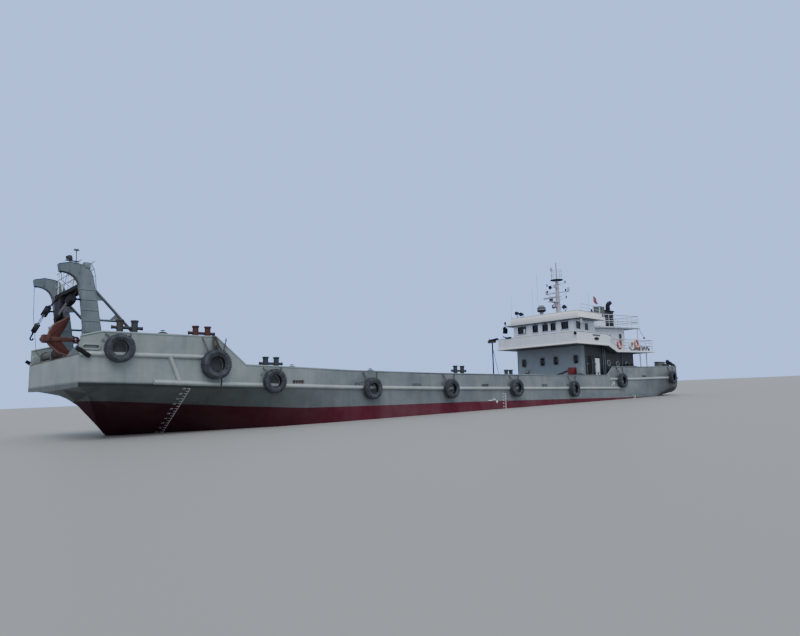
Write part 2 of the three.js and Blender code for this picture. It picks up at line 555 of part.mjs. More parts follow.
node("windlass_drum", join(
  bar([WINCH.x, -WINCH.y + RUNNING, WINCH.z], [WINCH.x, WINCH.y - RUNNING, WINCH.z], WINCH.radius, 16),
  bar([WINCH.x, -WINCH.y + RUNNING, WINCH.z], [WINCH.x, -WINCH.y + 0.08, WINCH.z], WINCH.flange, 16),
  bar([WINCH.x, WINCH.y - 0.08, WINCH.z], [WINCH.x, WINCH.y - RUNNING, WINCH.z], WINCH.flange, 16),
  bar([WINCH.x, -WINCH.y - 0.13, WINCH.z], [WINCH.x, WINCH.y + 0.55, WINCH.z], 0.07, 16),
  bar([WINCH.x, WINCH.y + 0.25, WINCH.z], [WINCH.x, WINCH.y + 0.5, WINCH.z], 0.2, 14)), STEEL());

// Double bitts inside the bulwarks: [middle x, half spacing, top z, has a cross bar]
const BITTS = [[24.02, 0.28, 4.0, 1], [20.95, 0.27, 3.95, 1], [17.58, 0.28, 2.74, 1], [4.8, 0.3, 2.6, 1],
  [0.03, 0.24, 2.44, 0], [-16.2, 0.28, 3.2, 1], [-22.6, 0.28, 3.3, 1]];
const BITT_Y = 3.4;
const BITT_RADIUS = 0.12;
function bitts([x, half, top, barred]) {
  const base = Math.min(welded(x - 0.6), welded(x + 0.6));
  const post = (px) => bar([px, BITT_Y, base + 0.02], [px, BITT_Y, top], BITT_RADIUS, 8);
  const foot = box([x - half - 0.25, x + half + 0.25], [BITT_Y - 0.2, BITT_Y + 0.2], [base, base + 0.06]);
  const crossbar = bar([x - half - 0.3, BITT_Y, top - 0.3], [x + half + 0.3, BITT_Y, top - 0.3], 0.06, 8);
  return join(post(x - half), post(x + half), foot, barred ? crossbar : foot);
}

// Mushroom ventilators: [x, top z]
const VENTS = [[22.3, 3.7], [15.95, 2.4], [11.0, 2.3], [-7.4, 2.2]];
function upright(profile, [x, y], segments = 12) {
  const geometry = new THREE.LatheGeometry(profile.map(([r, z]) => new THREE.Vector2(r, z)), segments);
  geometry.rotateX(Math.PI / 2);
  geometry.translate(x, y, 0);
  return solid(geometry);
}
function ventilator([x, top]) {
  const base = Math.min(welded(x - 0.2), welded(x + 0.2));
  return upright([[0, base], [0.11, base], [0.11, top - 0.2], [0.24, top - 0.18], [0.2, top - 0.05], [0, top]],
    [x, 2.6], 8);
}

// Deck hatches: a coaming and a hinged lid, [fore edge x, length]
const HATCHES = [[13.6, 1.6], [-1.2, 1.6]];
const HATCH = { half: 0.9, height: 0.45, wall: 0.06, lid: 0.06 };
const coamings = [];
HATCHES.forEach(([x1, length], i) => {
  const x0 = x1 - length;
  const top = seat(x1) + HATCH.height;
  const coaming = cut(box([x0, x1], [-HATCH.half, HATCH.half], [welded(x0), top]),
    box([x0 + HATCH.wall, x1 - HATCH.wall], [HATCH.wall - HATCH.half, HATCH.half - HATCH.wall], [0, 4]));
  const knuckle = (y) => bar([x0 - 0.05, y, top + 0.03], [x0 - 0.05, y + 0.2, top + 0.03], 0.03, 10);
  const lug = (y) => box([x0 - 0.08, x0], [y, y + 0.2], [top - 0.1, top + 0.03]);
  const fixed = [-0.7, 0.5].map((y) => join(knuckle(y), cut(lug(y), box([x0 - 0.02, x0], [-1, 1], [top, 9]))));
  const lid = box([x0 + 0.02, x1 + 0.03], [-HATCH.half - 0.03, HATCH.half + 0.03], [top + GAP, top + HATCH.lid]);
  const moving = [-0.7 + 0.2 + GAP, 0.5 - 0.2 - GAP].map((y) => join(knuckle(y),
    box([x0 - 0.05, x0 + 0.05], [y, y + 0.2], [top + 0.01, top + 0.05])));
  coamings.push(join(coaming, fixed));
  node(`hatch_lid_${i + 1}`, join(lid, moving), DECK_RED());
});

// Floodlight on a pole ahead of the house, starboard side
const POLE = { x: -6.2, y: -2.9 };
const floodlight = join(bar([POLE.x, POLE.y, welded(POLE.x)], [POLE.x, POLE.y, 5.1], 0.05, 8),
  bar([POLE.x, POLE.y, welded(POLE.x)], [POLE.x, POLE.y, welded(POLE.x) + 0.05], 0.16, 10),
  box([POLE.x - 0.12, POLE.x + 0.16], [POLE.y - 0.28, POLE.y + 0.28], [5.0, 5.3]));

// Ladder of rungs between two stringers, leaning from its foot to its top
function ladder(x0, y, z0, x1, z1) {
  const half = 0.22;
  const stringers = [-half, half].map((d) => bar([x0, y + d, z0], [x1, y + d, z1], 0.03, 6));
  const count = Math.round((z1 - z0) / 0.3);
  const rungs = Array.from({ length: count - 1 }, (_, i) => {
    const t = (i + 1) / count;
    const [x, z] = [x0 + (x1 - x0) * t, z0 + (z1 - z0) * t];
    return bar([x, y - half, z], [x, y + half, z], 0.02, 6);
  });
  return join(stringers, rungs);
}
const foreLadder = ladder(FORE_BREAK_X - 0.3, 2.6, welded(FORE_BREAK_X - 0.3), FORE_BREAK_X - 0.05, 2.5);

// Capstan bed on the quarterdeck
const CAPSTAN = { x: -23.4, bed: 0.16, height: 0.8 };
const capstanZ = deckTop(CAPSTAN.x - 0.3);
const capstanBed = upright([[0, capstanZ - 0.03], [0.34, capstanZ - 0.03], [0.34, capstanZ + CAPSTAN.bed],
  [0, capstanZ + CAPSTAN.bed]], [CAPSTAN.x, 0], 16);

// Each deck with the fittings welded to it
const onDeck = (rows, from, to) => rows.filter(([x]) => x > from && x < to);
const fittings = (from, to) => [
  ...onDeck(BITTS, from, to).map((row) => both(bitts(row))),
  ...onDeck(VENTS, from, to).map((row) => both(ventilator(row))),
];
node("main_deck", join(mainPlating, fittings(AFT_BREAK_X, FORE_BREAK_X), coamings, floodlight, both(foreLadder)),
  DECK_RED());
node("foredeck", join(forePlating, fittings(FORE_BREAK_X, BOW_X)), DECK_RED());
node("quarterdeck", join(quarterPlating(), fittings(STERN_X, AFT_BREAK_X), capstanBed), DECK_RED());

// Deckhouse on the main deck and quarterdeck
const PLATE = 0.08;
const HOUSE = { x: [-17.25, -9.72], y: 3.13 };
const BRIDGE_DECK_UNDER = [[-19.95, 4.22], [-13.6, 4.04], [-12.3, 4.5], [-7.86, 4.5]];
const BRIDGE_DECK_THICK = 0.14;
const BRIDGE_DECK_Y = 3.72;

function between(xs, lower, upper, y) {
  const under = xs.map((x) => [x, lower(x)]);
  const over = [...xs].reverse().map((x) => [x, upper(x)]);
  return prism([...under, ...over], -y, y);
}
function houseShell() {
  const ceiling = (x) => along(BRIDGE_DECK_UNDER, x) - GAP;
  const over = [HOUSE.x[1], -12.3, -13.6, HOUSE.x[0]].map((x) => [x, ceiling(x)]);
  const outer = prism([[HOUSE.x[0], 1], [HOUSE.x[1], 1], ...over], -HOUSE.y, HOUSE.y);
  const step = box([AFT_BREAK_X - 1, AFT_BREAK_X + GAP], [-4, 4], [0, along(QUARTERDECK, AFT_BREAK_X) + DECK_PLATE]);
  return cut(standing(outer), step, box([HOUSE.x[0] + PLATE, HOUSE.x[1] - PLATE], [PLATE - HOUSE.y, HOUSE.y - PLATE], [0, 6]));
}
// A leaf hinged at its fore edge in the port wall at y: x = [aft, fore], z = [sill, head]
const LEAF_GAP = RUNNING;
const BARREL = 0.035;
function doorway({ x, z, y, window }) {
  const hole = box([x[0], x[1]], [y - PLATE - 0.1, y + 0.1], z);
  const pinX = x[1] + 0.02;
  const pinY = y + BARREL + 0.01;
  const leaf = box([x[0] + LEAF_GAP, x[1] - LEAF_GAP], [y - 0.06, y], [z[0] + LEAF_GAP, z[1] - LEAF_GAP]);
  const barrels = [0.2, 0.8].map((t) => z[0] + t * (z[1] - z[0]));
  const length = 0.12;
  const moving = barrels.map((h) => join(bar([pinX, pinY, h], [pinX, pinY, h + length], BARREL, 10),
    box([x[1] - 0.12, pinX], [y + 2 * GAP, y + 0.035], [h + 0.01, h + length - 0.01]),
    box([x[1] - 0.12, x[1] - LEAF_GAP], [y - 0.01, y + 0.035], [h + 0.01, h + length - 0.01])));
  const fixed = barrels.map((h) => join(
    bar([pinX, pinY, h - GAP - length], [pinX, pinY, h - GAP], BARREL, 10),
    box([pinX, pinX + 0.1], [y - 0.01, y + 0.035], [h - GAP - length, h - GAP])));
  const whole = join(leaf, moving);
  const light = window && box([x[0] + 0.1, x[1] - 0.1], [y - 0.1, y + 0.1], window);
  return { hole, fixed, leaf: light ? cut(whole, light) : whole };
}
const DOORS = {
  house_door_fore: doorway({ x: [-10.72, -10.1], z: [1.5, 3.55], y: HOUSE.y }),
  house_door_aft: doorway({ x: [-11.82, -11.2], z: [1.5, 3.55], y: HOUSE.y }),
};

// Portholes in the front wall: [y, z]
const PORTHOLE = 0.25;
const FRONT_PORTHOLES = [[-2.5, 3.42], [-0.68, 3.42], [0.57, 3.45], [2.37, 3.45]];
const SIDE_PORTHOLES = [[-13.2, 3.2], [-14.6, 3.15], [-16.1, 3.15]];
const portholes = [
  ...FRONT_PORTHOLES.map(([y, z]) => bar([HOUSE.x[1] - 0.3, y, z], [HOUSE.x[1] + 0.3, y, z], PORTHOLE, 14)),
  ...SIDE_PORTHOLES.map(([x, z]) => both(bar([x, HOUSE.y - 0.3, z], [x, HOUSE.y + 0.3, z], PORTHOLE * 0.8, 14))),
];
const houseDoors = [DOORS.house_door_fore, DOORS.house_door_aft];
const aftDoor = box([HOUSE.x[0] - 0.1, HOUSE.x[0] + 0.2], [-0.4, 0.4], [2.2, 3.85]);
const starboardDoor = DOORS.house_door_aft;
node("deckhouse_walls", join(
  cut(houseShell(), portholes, houseDoors.map((d) => d.hole), mirrored(starboardDoor.hole), aftDoor),
  houseDoors.flatMap((d) => d.fixed), starboardDoor.fixed.map(mirrored)), HOUSE_GREY());
node("house_door_fore", DOORS.house_door_fore.leaf, HOUSE_GREY());
node("house_door_aft", DOORS.house_door_aft.leaf, WHITE());
node("house_door_starboard", mirrored(DOORS.house_door_aft.leaf), WHITE());

// Bridge deck, dropping to the boat deck aft, on pillars that stand on the quarterdeck
const bridgeDeckTop = (x) => along(BRIDGE_DECK_UNDER, x) + BRIDGE_DECK_THICK;
const BOAT_DECK_END = -19.95;
function pillar(x, y, z0, z1) {
  return join(bar([x, y, z0], [x, y, z1], 0.05, 8), bar([x, y, z0], [x, y, z0 + 0.03], 0.1, 8));
}
const deckSlab = between([BOAT_DECK_END, -13.6, -12.3, -7.86], (x) => along(BRIDGE_DECK_UNDER, x), bridgeDeckTop,
  BRIDGE_DECK_Y);
const quarterPillars = [-18.6, -19.75].map((x) =>
  pillar(x, 3.1, seat(x - 0.1), along(BRIDGE_DECK_UNDER, x) + WELD));
const houseLadder = ladder(HOUSE.x[0] - 0.45, -2.2, seat(-17.9) + 0.02, HOUSE.x[0] - 0.08, 4.19);
node("bridge_deck", join(deckSlab, both(join(quarterPillars)), houseLadder), WHITE());

// Wheelhouse
const WHEELHOUSE = { x: [-12.0, -8.95], y: 2.8, top: 6.5 };
const WINDOW_Z = [5.78, 6.34];
const FRONT_WINDOWS = [[-1.98, 0.86], [-0.68, 0.56], [0.26, 0.56], [1.0, 0.5], [2.06, 0.66]];
const SIDE_WINDOWS = [[-9.95, -9.3]];
const wheelDoor = doorway({ x: [-11.15, -10.45], z: [4.8, 6.42], y: WHEELHOUSE.y, window: [5.75, 6.28] });
function wheelhouseShell() {
  const floor = bridgeDeckTop(-10) + GAP;
  const outer = box(WHEELHOUSE.x, [-WHEELHOUSE.y, WHEELHOUSE.y], [floor, WHEELHOUSE.top - GAP]);
  const inside = box([WHEELHOUSE.x[0] + PLATE, WHEELHOUSE.x[1] - PLATE], [PLATE - WHEELHOUSE.y, WHEELHOUSE.y - PLATE],
    [4, 7]);
  const front = FRONT_WINDOWS.map(([y, width]) =>
    box([WHEELHOUSE.x[1] - 0.2, WHEELHOUSE.x[1] + 0.1], [y - width / 2, y + width / 2], WINDOW_Z));
  const sides = SIDE_WINDOWS.map((x) => both(box(x, [WHEELHOUSE.y - 0.2, WHEELHOUSE.y + 0.1], WINDOW_Z)));
  return cut(outer, inside, front, sides, both(wheelDoor.hole));
}
node("wheelhouse_walls", join(wheelhouseShell(), wheelDoor.fixed.map(both)), WHITE());
node("wheelhouse_door_port", wheelDoor.leaf, WHITE());
node("wheelhouse_door_starboard", mirrored(wheelDoor.leaf), WHITE());
const glassX = WHEELHOUSE.x[1] - PLATE - GAP;
node("wheelhouse_front_glass", box([glassX - 0.03, glassX], [-2.55, 2.55], [WINDOW_Z[0] - 0.08, WINDOW_Z[1] + 0.08]),
  GLASS());

// Cabin aft of the wheelhouse, on the boat deck
const CABIN = { x: [-16.9, WHEELHOUSE.x[0] - GAP], y: 2.7 };
const TOP_DECK_UNDER = [[-18.6, 6.26], [-12.1, 5.97]];
const topDeckUnder = (x) => along(TOP_DECK_UNDER, x);
const CABIN_WINDOWS = [[-16.4, -15.9]];
const CABIN_WINDOW_Z = [4.95, 5.72];
function cabinShell() {
  const xs = [CABIN.x[0], -13.6, -12.3, -12.1, CABIN.x[1]];
  const outer = between(xs, (x) => bridgeDeckTop(x) + GAP, (x) => topDeckUnder(x) - GAP, CABIN.y);
  const inside = box([CABIN.x[0] + PLATE, CABIN.x[1] - PLATE], [PLATE - CABIN.y, CABIN.y - PLATE], [3, 7]);
  const windows = CABIN_WINDOWS.map((x) => both(box(x, [CABIN.y - 0.2, CABIN.y + 0.1], CABIN_WINDOW_Z)));
  const doorHole = box([CABIN.x[0] - 0.1, CABIN.x[0] + 0.2], [0.9, 1.7], [4.4, 5.85]);
  return cut(outer, inside, windows, doorHole);
}
node("cabin_walls", cabinShell(), WHITE());
// Roof slab with a wide overhang, and its searchlights
const ROOF = { x: [-12.1, -8.67], y: 3.6, under: 6.5, brow: 6.75, aftTop: 6.95, foreTop: 7.05 };
const roofTop = (x) => along([[ROOF.x[0], ROOF.aftTop], [ROOF.x[1] - 0.2, ROOF.foreTop]], x);
const roofSlab = prism([[ROOF.x[0], ROOF.under], [ROOF.x[1], ROOF.under], [ROOF.x[1] + 0.1, ROOF.brow],
  [ROOF.x[1] - 0.2, ROOF.foreTop], [ROOF.x[0], ROOF.aftTop]], -ROOF.y, ROOF.y);
// Searchlights: [x, y, z]
const SEARCHLIGHTS = [[-9.3, -2.6, 7.58], [-9.3, -2.16, 7.45], [-9.3, 1.95, 7.54]];
const searchlight = ([x, y, z]) => join(bar([x, y, roofTop(x) - WELD], [x, y, z], 0.04, 8),
  bar([x - 0.14, y, z], [x + 0.16, y, z], 0.1, 12, 0.14));
node("wheelhouse_roof", join(roofSlab, SEARCHLIGHTS.map(searchlight)), WHITE());

// Top deck over the cabin, with its pillars and its ladder
const TOP_DECK = { x: [-18.6, ROOF.x[0] - GAP], y: 3.24 };
const topDeckTop = (x) => topDeckUnder(x) + 0.12;
const topPillar = pillar(-18.45, 3.1, bridgeDeckTop(-18.55) + GAP, topDeckUnder(-18.4) + WELD);
const cabinLadder = ladder(CABIN.x[0] - 0.45, -1.8, bridgeDeckTop(CABIN.x[0] - 0.5) + 0.03, CABIN.x[0] - 0.08,
  topDeckUnder(CABIN.x[0]) + 0.04);
const topDeckSlab = between(TOP_DECK.x, topDeckUnder, topDeckTop, TOP_DECK.y);
node("top_deck", join(topDeckSlab, both(topPillar), cabinLadder), WHITE());

// Railing: posts and rails along [x, y, deck height] corners
const RAIL = { radius: 0.03, bay: 1.9 };
function railing(corners, height, rows) {
  const parts = [];
  const post = ([x, y, z]) => parts.push(bar([x, y, z - 0.02], [x, y, z + height], RAIL.radius, 4));
  for (let i = 0; i + 1 < corners.length; i += 1) {
    const [a, b] = [new THREE.Vector3(...corners[i]), new THREE.Vector3(...corners[i + 1])];
    const bays = Math.max(1, Math.round(a.distanceTo(b) / RAIL.bay));
    for (let k = 0; k < bays; k += 1) post(a.clone().lerp(b, k / bays).toArray());
    for (let row = 1; row <= rows; row += 1) {
      const rise = new THREE.Vector3(0, 0, (height * row) / rows - RAIL.radius);
      parts.push(bar(a.clone().add(rise).toArray(), b.clone().add(rise).toArray(), RAIL.radius, 4));
    }
  }
  post(corners[corners.length - 1]);
  return join(parts);
}
const railY = BRIDGE_DECK_Y - 0.08;
const railFoot = (x) => bridgeDeckTop(x) + GAP;
const railXs = [-12.55, -13.6, BOAT_DECK_END + 0.08];
const railLine = (y) => railXs.map((x) => [x, y, railFoot(x)]);
// Solid dodger round the bridge wings, with a sloping aft end
const DODGER = { from: -7.9, to: -12.7, high: 0.78, thick: 0.06 };
function dodger() {
  const foot = railFoot(-8) - 0.02;
  const top = railFoot(-8) + DODGER.high;
  const sideOutline = [[DODGER.from, foot], [DODGER.from, top], [-12.3, top],
    [DODGER.to, top - 0.12], [DODGER.to, railFoot(DODGER.to) - 0.02], [-12.3, foot]];
  const y = BRIDGE_DECK_Y - 0.04;
  return join(both(prism(sideOutline, y - DODGER.thick, y)),
    box([DODGER.from - DODGER.thick, DODGER.from], [-y, y], [foot, top]));
}
const bridgeRail = join(railing([...railLine(railY), ...railLine(-railY).reverse()], 0.95, 2), dodger());
// Lifebuoys hang on the railing: [x, z]
const BUOYS = [[-14.05, 4.67], [-16.0, 4.66], [-16.86, 4.82]];
const BUOY = [[0.24, -0.05], [0.38, -0.05], [0.38, 0.05], [0.24, 0.05], [0.24, -0.05]];
const buoys = BUOYS.map(([x, z]) => both(turned(BUOY, [x, railY + RAIL.radius + 0.04, z], [0, 1, 0], 12)));
node("bridge_deck_railing", join(cut(bridgeRail, deckSlab.translate([0, 0, GAP])), buoys), WHITE());
const topRailY = TOP_DECK.y - 0.06;
const topRailEnds = [TOP_DECK.x[1] - 0.4, TOP_DECK.x[0] + 0.06];
const topFoot = (x) => topDeckTop(x) + GAP;
const topRail = railing([[0, topRailY], [1, topRailY], [1, -topRailY], [0, -topRailY]].map(([end, y]) =>
  [topRailEnds[end], y, topFoot(topRailEnds[end])]), 1.0, 2);
// Clears the deck plate under whatever stands on the top deck
const offTopDeck = (body) => cut(body, topDeckSlab.translate([0, 0, GAP]));
node("top_deck_railing", offTopDeck(topRail), WHITE());

// Funnel with rounded corners, its bent exhaust pipe, and the ventilation casing beside it
const FUNNEL = { x: [-18.3, -16.3], y: 1.2, top: 7.95, corner: 0.35 };
function funnel() {
  const { x: [x0, x1], y, corner } = FUNNEL;
  const outline = new THREE.Shape();
  outline.absarc(x1 - corner, y - corner, corner, 0, Math.PI / 2);
  outline.absarc(x0 + corner, y - corner, corner, Math.PI / 2, Math.PI);
  outline.absarc(x0 + corner, corner - y, corner, Math.PI, 1.5 * Math.PI);
  outline.absarc(x1 - corner, corner - y, corner, 1.5 * Math.PI, 2 * Math.PI);
  return offTopDeck(slab(outline, topFoot(x1), FUNNEL.top));
}
node("funnel", funnel(), BLACK());
const pipeFoot = FUNNEL.top + GAP;
const exhaust = pipe([[-17.7, 0.9, pipeFoot - 0.1], [-17.7, 0.9, 8.4], [-17.8, 0.9, 8.68], [-18.15, 0.9, 8.8]],
  0.17, 8, 10);
node("exhaust_pipe", cut(exhaust, box([-19, -17], [0, 2], [7, pipeFoot])), BLACK());
node("vent_casing", offTopDeck(join(box([-15.1, -14.3], [1.45, 2.0], [topFoot(-14.3), 8.0]),
  box([-15.14, -14.26], [1.41, 2.04], [7.98, 8.05]))), GREEN());

// Mast on the wheelhouse roof, with lamps, yard, radar shelf and horn
const MAST = { x: -11.35, platform: 10.2, top: 11.7, radarShelf: 8.36, radarForward: 0.95 };
const radarX = MAST.x + MAST.radarForward;
const PEDESTAL_TOP = MAST.radarShelf + 0.2;
function mast() {
  const z0 = roofTop(MAST.x + 0.28) + GAP;
  return join(
    box([MAST.x - 0.28, MAST.x + 0.28], [-0.28, 0.28], [z0, z0 + 0.06]),
    bar([MAST.x, 0, z0 + 0.02], [MAST.x, 0, MAST.platform], 0.22, 10, 0.13),
    bar([MAST.x, 0, MAST.platform], [MAST.x, 0, MAST.platform + 0.06], 0.5, 12),
    bar([MAST.x, 0, MAST.platform], [MAST.x, 0, MAST.top], 0.05, 8),
    bar([MAST.x + 0.35, -0.25, MAST.platform], [MAST.x + 0.35, -0.25, 11.1], 0.03, 6),
    bar([MAST.x + 0.35, -0.25, 11.0], [MAST.x + 0.35, -0.25, 11.25], 0.09, 10),
    bar([MAST.x, -1.1, 9.15], [MAST.x, 1.1, 9.15], 0.04, 6),
    [-1.05, 1.05].map((y) => bar([MAST.x, y, 9.12], [MAST.x, y, 9.45], 0.09, 10)),
    box([MAST.x, radarX + 0.2], [-0.2, 0.2], [MAST.radarShelf - 0.06, MAST.radarShelf]),
    prism([[MAST.x, 7.9], [MAST.x + 0.7, 8.32], [MAST.x, 8.32]], -0.03, 0.03),
    bar([MAST.x + 0.1, 0, 8.0], [MAST.x + 0.75, 0.1, 8.0], 0.04, 8, 0.13),
    box([MAST.x, MAST.x + 0.35], [-0.12, 0.12], [9.55, 9.8]),
    bar([radarX, 0, MAST.radarShelf - 0.03], [radarX, 0, PEDESTAL_TOP], 0.14, 12));
}
node("mast", mast(), WHITE());
node("radar_scanner", join(box([radarX - 0.06, radarX + 0.06], [-0.7, 0.7], [PEDESTAL_TOP + RUNNING, PEDESTAL_TOP + 0.14]),
  bar([radarX, 0, PEDESTAL_TOP + GAP], [radarX, 0, PEDESTAL_TOP + 0.08], 0.07, 12)), WHITE());

const DOME = { x: -10.7, y: -1.2 };
const domeFoot = roofTop(DOME.x + 0.16) + GAP;
node("antenna_dome", upright([[0, domeFoot], [0.16, domeFoot], [0.16, 7.6], [0.36, 7.7], [0.36, 7.95],
  [0.2, 8.18], [0, 8.22]], [DOME.x, DOME.y], 14), WHITE());

// Liferaft canister fixed to its cradle on the boat deck
const RAFT = { x: [-19.6, -18.4], y: 2.55, z: 4.78, radius: 0.3 };
const cradle = [-19.3, -18.7].map((x) => box([x - 0.05, x + 0.05], [RAFT.y - 0.3, RAFT.y + 0.3],
  [bridgeDeckTop(x - 0.05) + GAP, RAFT.z - 0.1]));
node("liferaft", join(cradle, bar([RAFT.x[0], RAFT.y, RAFT.z], [RAFT.x[1], RAFT.y, RAFT.z], RAFT.radius, 16)), WHITE());

// Stern: the capstan's barrel, and a locker by the port quarter
const barrelZ = capstanZ + CAPSTAN.bed;
node("stern_capstan", upright([[0, barrelZ + GAP], [0.3, barrelZ + GAP], [0.17, capstanZ + 0.4],
  [0.19, capstanZ + 0.65], [0.26, capstanZ + CAPSTAN.height], [0, capstanZ + CAPSTAN.height]], [CAPSTAN.x, 0], 16),
STEEL());
node("stern_locker", box([-24.4, -23.2], [2.1, 2.5], [seat(-24.4), 3.6]), GREEN());

// The whole vessel floats down by the stern
ship.rotation.y = THREE.MathUtils.degToRad(-TRIM_DEG);
const barge = new THREE.Group();
barge.name = "river_barge";
barge.add(ship);

export default barge;
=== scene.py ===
import math
import random

import bpy
from mathutils import Matrix, Vector


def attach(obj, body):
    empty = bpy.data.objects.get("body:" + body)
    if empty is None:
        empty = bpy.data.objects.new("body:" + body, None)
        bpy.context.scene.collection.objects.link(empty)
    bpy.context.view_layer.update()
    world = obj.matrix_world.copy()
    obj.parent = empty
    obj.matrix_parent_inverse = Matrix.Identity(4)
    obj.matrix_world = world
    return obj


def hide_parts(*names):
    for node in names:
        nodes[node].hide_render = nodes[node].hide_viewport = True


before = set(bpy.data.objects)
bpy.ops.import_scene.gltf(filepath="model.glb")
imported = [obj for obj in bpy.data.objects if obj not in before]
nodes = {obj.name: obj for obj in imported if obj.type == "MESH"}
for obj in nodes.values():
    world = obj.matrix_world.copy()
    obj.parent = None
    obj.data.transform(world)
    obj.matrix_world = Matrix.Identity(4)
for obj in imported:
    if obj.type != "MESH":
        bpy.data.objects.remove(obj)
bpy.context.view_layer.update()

chance = random.Random(7)

# Camera at the photograph's viewpoint
CAMERA_PLACE = (16.2, 14.256, 0.691)
CAMERA_TURN = (96.692, 2.389, 137.709)
FOCAL_PIXELS = 620
PHOTO_WIDTH = 800


def set_camera():
    """The camera of the photograph."""
    lens = bpy.data.cameras.new("camera")
    camera = bpy.data.objects.new("camera", lens)
    bpy.context.scene.collection.objects.link(camera)
    camera.location = CAMERA_PLACE
    camera.rotation_euler = [math.radians(turn) for turn in CAMERA_TURN]
    lens.sensor_width = 36
    lens.lens = 36 * FOCAL_PIXELS / PHOTO_WIDTH
    lens.clip_end = 500
    bpy.context.scene.camera = camera


set_camera()

# Pieces are shaped in metres of the real vessel, on even keel, with +X to the bow and +Y to port.
# This turns them into the half-size model, which floats down by the stern.
TRIM = math.radians(1.4)
TO_MODEL = Matrix.Rotation(-TRIM, 4, "Y") @ Matrix.Scale(0.5, 4)


# Shader groups
COLOUR = "NodeSocketColor"
VALUE = "NodeSocketFloat"
VECTOR = "NodeSocketVector"


def new_group(name, inputs, outputs):
    """An empty group, the inputs that it reads and the outputs that it feeds."""
    group = bpy.data.node_groups.new(name, "ShaderNodeTree")
    for kind, label, value in inputs:
        socket = group.interface.new_socket(label, in_out="INPUT", socket_type=kind)
        if value is not None:
            socket.default_value = value
    for kind, label in outputs:
        group.interface.new_socket(label, in_out="OUTPUT", socket_type=kind)
    return group, group.nodes.new("NodeGroupInput").outputs, group.nodes.new("NodeGroupOutput").inputs


class Tree:
    """Adds nodes to one tree and wires them: a socket given as a value is wired, anything else is set."""

    def __init__(self, tree):
        self.tree = tree

    def feed(self, socket, value):
        if isinstance(value, bpy.types.NodeSocket):
            self.tree.links.new(value, socket)
        else:
            socket.default_value = value

    def feed_all(self, node, **inputs):
        """An input's name has underscores in place of its spaces."""
        for label, value in inputs.items():
            self.feed(node.inputs[label.replace("_", " ")], value)

    def add(self, kind, settings=None, **inputs):
        node = self.tree.nodes.new(kind)
        for key, value in (settings or {}).items():
            setattr(node, key, value)
        self.feed_all(node, **inputs)
        return node

    def group(self, group, **inputs):
        return self.add("ShaderNodeGroup", {"node_tree": group}, **inputs).outputs

    def place(self):
        return self.add("ShaderNodeTexCoord").outputs["Object"]

    def facing(self):
        return self.add("ShaderNodeNewGeometry").outputs["Normal"]

    def axes(self, vector):
        """The vector's X, Y and Z."""
        return self.add("ShaderNodeSeparateXYZ", Vector=vector).outputs

    def noise(self, vector, scale, detail=3.0, roughness=0.55):
        return self.add("ShaderNodeTexNoise", Vector=vector, Scale=scale, Detail=detail,
                        Roughness=roughness).outputs["Fac"]

    def stretched(self, vector, scale):
        return self.add("ShaderNodeMapping", Vector=vector, Scale=scale).outputs["Vector"]

    def ramp(self, value, low, high):
        return self.add("ShaderNodeMapRange", Value=value, From_Min=low, From_Max=high).outputs["Result"]

    def math(self, kind, a, b=0.0):
        node = self.add("ShaderNodeMath", {"operation": kind})
        self.feed(node.inputs[0], a)
        self.feed(node.inputs[1], b)
        return node.outputs["Value"]

    def times(self, a, b):
        return self.math("MULTIPLY", a, b)

    def plus(self, a, b):
        return self.math("ADD", a, b)

    def minus(self, a, b):
        return self.math("SUBTRACT", a, b)

    def larger(self, a, b):
        return self.math("MAXIMUM", a, b)

    def mix(self, share, a, b):
        node = self.add("ShaderNodeMix", {"data_type": "RGBA"})
        self.feed(node.inputs[0], share)
        self.feed(node.inputs[6], a)
        self.feed(node.inputs[7], b)
        return node.outputs[2]


def rgb(red, green, blue):
    """A colour named by its screen values from 0 to 255."""
    linear = []
    for part in (red, green, blue):
        part /= 255
        linear.append(part / 12.92 if part <= 0.04045 else ((part + 0.055) / 1.055) ** 2.4)
    return (*linear, 1.0)


